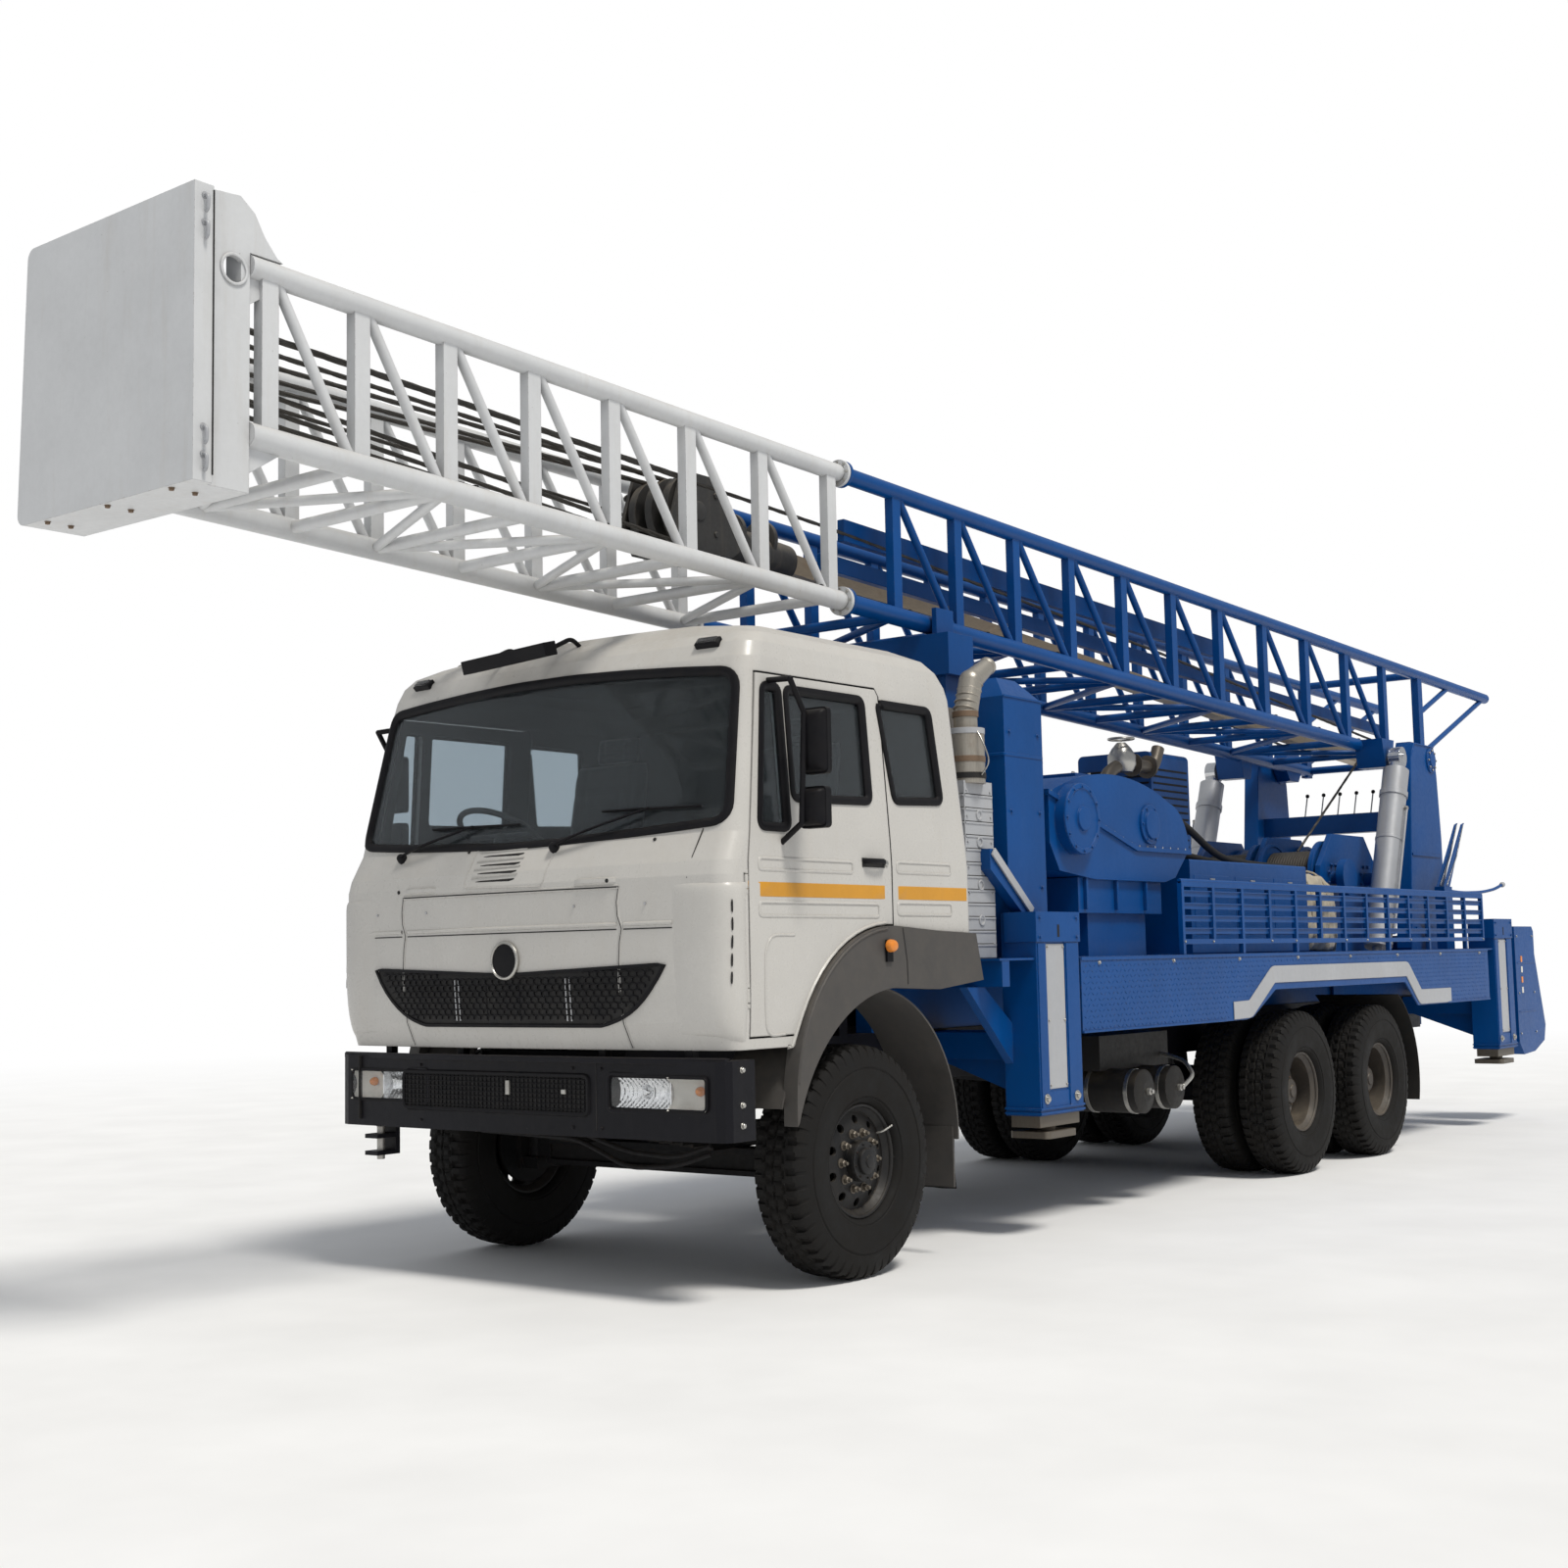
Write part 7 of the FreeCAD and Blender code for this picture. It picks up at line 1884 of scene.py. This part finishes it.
def canvas_rows():
    """Rows of points over the bundle, from its front end to its back one."""
    low, middle, half = CANVAS_LOW, CANVAS_MIDDLE, CANVAS_HALF
    count_u, count_v = 110, 72
    rows = []
    for j in range(count_v + 1):
        v = -1 + 2 * j / count_v
        end = max(0.0, 1 - abs(v) ** 6) ** 0.5
        row = []
        for i in range(count_u + 1):
            angle = over_bundle(i / count_u)
            c, s = math.cos(angle), math.sin(angle)
            reach = (0.895 + folds(angle, v)) * round_off(angle)
            sag = 0.05 * (1 - v * v) * max(0.0, s) * (0.5 + 0.5 * math.sin(4 * c + 2 * v))
            rise = ((half.z * (1 + s * reach) - TUCK) * 1.12 - sag) * end
            lift = max(0.006 + 0.004 * math.sin(5 * angle), rise)
            row.append(Vector((middle.x + half.x * c * reach * (0.80 + 0.20 * end),
                               middle.y + half.y * v * 0.965, low.z + lift)))
        rows.append(row)
    return rows


def canvas_cover():
    """The folded canvas: one sheet gathered over the bundle and tied down with two ropes."""
    piece = Piece()
    piece.grid(canvas_rows(), "canvas")
    cover = piece.made("canvas_cover", "chassis", "canvas", angle=80)
    thick = cover.modifiers.new("Canvas", "SOLIDIFY")
    thick.thickness = 0.003
    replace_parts(cover, "tarpaulin")
    low, middle, half = CANVAS_LOW, CANVAS_MIDDLE, CANVAS_HALF
    ties = Piece()
    for v in (-TIE_AT, TIE_AT):
        loop = []
        for i in range(30):
            angle = over_bundle(i / 29)
            reach = round_off(angle) * 0.858
            loop.append((middle.x + half.x * math.cos(angle) * reach, middle.y + half.y * v * 0.965,
                         low.z + max(0.010, (half.z * (1 + math.sin(angle) * reach) - TUCK) * 1.12)))
        ties.tube(loop, 0.007, "canvas", sides=8)
    ties.made("canvas_ties", "chassis", "canvas")


def cushion(name, low, high, thin):
    """A crowned pad with pulled-in sides and sewn channels; thin is the axis across its thickness."""
    low, high = Vector(low), Vector(high)
    middle, half = (low + high) / 2, (high - low) / 2
    wide = [i for i in range(3) if i != thin]
    count = 26
    rows = []
    for face in (1, -1):
        for j in range(count + 1):
            v = (-1 + 2 * j / count) * face
            row = []
            for i in range(count + 1):
                u = -1 + 2 * i / count
                swell = math.sqrt(max(0.0, 1 - u ** 6) * max(0.0, 1 - v ** 6))
                sewn = [math.exp(-((abs(a) - line) / 0.05) ** 2) for a, line in ((u, 0.52), (v, 0.36))]
                point = Vector(middle)
                point[wide[0]] += half[wide[0]] * u * (0.93 + 0.07 * swell)
                point[wide[1]] += half[wide[1]] * v * (0.93 + 0.07 * swell)
                point[thin] += face * half[thin] * (0.25 + (0.75 - 0.14 * max(sewn)) * swell)
                row.append(point)
            rows.append(row)
    piece = Piece()
    piece.grid(rows, "seat_fabric", round_v=True)
    for i in (0, count):
        piece.grid([[rows[j][i], rows[2 * count + 1 - j][i]] for j in range(count + 1)], "seat_fabric")
    pad = piece.made(name, "chassis", "seat_fabric", angle=70)
    weld = pad.modifiers.new("Weld", "WELD")
    weld.merge_threshold = 0.0005
    return pad


def seat_pads():
    """Two seats and the bunk behind them."""
    first = cushion("seat_left_base", (0.36, -4.23, 1.835), (0.88, -3.74, 1.962), 2)
    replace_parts(first, "seats")
    cushion("seat_right_base", (-0.88, -4.23, 1.835), (-0.36, -3.74, 1.962), 2)
    cushion("bunk_pad", (-1.11, -3.53, 1.86), (1.11, -3.145, 1.998), 2)
    frames = Piece()
    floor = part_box("seats")[0].z
    for side, name in SIDES:
        x = side * 0.62
        for part, low, high, lean in (("back", (x - 0.24, -3.80, 1.955), (x + 0.24, -3.67, 2.50), 0.095),
                                      ("head", (x - 0.13, -3.655, 2.49), (x + 0.13, -3.56, 2.63), 0.02)):
            pad = cushion(f"seat_{name}_{part}", low, high, 1)
            for corner in pad.data.vertices:
                corner.co.y += lean * (corner.co.z - low[2]) / (high[2] - low[2])
    for side, _ in SIDES[::-1]:
        x = side * 0.62
        frames.box((x - 0.18, -4.15, floor), (x + 0.18, -3.80, 1.838), "trim_black")
        frames.tube([(x - 0.22, -3.78, 1.86), (x - 0.24, -3.72, 1.90), (x - 0.24, -3.70, 1.98)], 0.012,
                    "trim_black", sides=8)
    frames.box((-1.11, -3.525, floor), (1.11, -3.15, 1.865), "trim_black")
    frames.made("seat_frames", "chassis", "seat_fabric", bevel=0.01)


def soft_goods():
    canvas_cover()
    seat_pads()


def dress_nodes():
    """Give every CAD node the finish of its material slot."""
    for part in frame["record"]["subparts"]:
        piece = frame["nodes"][part["node"]]
        piece.data.materials.clear()
        piece.data.materials.append(FINISH[part["material_slot"]])


# ---------------------------------------------------------------- studio
def surround():
    """Even fill light, seen as white by the camera and through glass."""
    world = bpy.data.worlds.new("surround")
    bpy.context.scene.world = world
    world.use_nodes = True
    tree = world.node_tree
    tree.nodes.clear()
    out = tree.nodes.new("ShaderNodeOutputWorld")
    fill = tree.nodes.new("ShaderNodeBackground")
    fill.inputs["Color"].default_value = (0.93, 0.96, 1.0, 1.0)
    fill.inputs["Strength"].default_value = 0.46
    seen = tree.nodes.new("ShaderNodeBackground")
    seen.inputs["Color"].default_value = (1.0, 1.0, 1.0, 1.0)
    seen.inputs["Strength"].default_value = 1.0
    path = tree.nodes.new("ShaderNodeLightPath")
    view = tree.nodes.new("ShaderNodeMath")
    view.operation = "MAXIMUM"
    tree.links.new(path.outputs["Is Camera Ray"], view.inputs[0])
    tree.links.new(path.outputs["Is Transmission Ray"], view.inputs[1])
    blend = tree.nodes.new("ShaderNodeMixShader")
    tree.links.new(view.outputs[0], blend.inputs[0])
    tree.links.new(fill.outputs[0], blend.inputs[1])
    tree.links.new(seen.outputs[0], blend.inputs[2])
    tree.links.new(blend.outputs[0], out.inputs[0])


def studio_floor():
    """A pale floor that fades into the white surround."""
    g = Graph("studio_floor")
    spread = g.add("VectorMath", {0: g.place}, operation="LENGTH").outputs["Value"]
    away = g.band(spread, 8.0, 24.0)
    grain = g.band(g.noise(1.2, 3.0), 0.3, 0.7, 0.80, 0.86)
    pale = g.add("CombineColor", {0: grain, 1: grain, 2: grain}).outputs[0]
    ground = g.add("BsdfPrincipled", {"Base Color": pale, "Roughness": 0.85})
    white = g.add("Emission", {"Color": (1.0, 1.0, 1.0), "Strength": 1.0})
    blend = g.add("MixShader", {0: away, 1: ground.outputs[0], 2: white.outputs[0]})
    g.tree.links.new(blend.outputs[0], g.output.inputs[0])
    mesh = bpy.data.meshes.new("studio_floor")
    reach = 60.0
    mesh.from_pydata([(-reach, -reach, 0), (reach, -reach, 0), (reach, reach, 0), (-reach, reach, 0)], [],
                     [(0, 1, 2, 3)])
    mesh.materials.append(g.material)
    floor = bpy.data.objects.new("studio_floor", mesh)
    bpy.context.scene.collection.objects.link(floor)


def key_light():
    """A soft sun, high on the vehicle's left side."""
    sun = bpy.data.lights.new("key", "SUN")
    sun.energy = 2.5
    sun.angle = math.radians(14)
    sun.color = (1.0, 0.965, 0.90)
    key = bpy.data.objects.new("key", sun)
    key.rotation_euler = Vector((0.78, -0.16, 1.45)).to_track_quat("Z", "Y").to_euler()
    bpy.context.scene.collection.objects.link(key)


def photo_camera():
    """The photo's camera: its place, aim, roll and lens."""
    azimuth, elevation, roll = math.radians(37.676), math.radians(5.224), math.radians(-1.163)
    look = Vector((-math.sin(azimuth) * math.cos(elevation), math.cos(azimuth) * math.cos(elevation),
                   math.sin(elevation)))
    right = look.cross(Vector(UP)).normalized()
    up = right.cross(look)
    across = math.cos(roll) * right + math.sin(roll) * up
    above = -math.sin(roll) * right + math.cos(roll) * up
    lens = bpy.data.cameras.new("camera")
    lens.lens = 44.78
    lens.sensor_width = 36.0
    lens.clip_end = 200.0
    camera = bpy.data.objects.new("camera", lens)
    place = Vector((6.3695, -11.2212, 1.427))
    camera.matrix_world = Matrix.Translation(place) @ Matrix((across, above, -look)).transposed().to_4x4()
    bpy.context.scene.collection.objects.link(camera)
    bpy.context.scene.camera = camera


dress_nodes()
surround()
studio_floor()
key_light()
photo_camera()
bpy.context.scene.view_settings.view_transform = "Standard"
wheels()
cab()
lights_and_bumper()
mast()
columns()
deck_fittings()
machinery()
rear()
soft_goods()
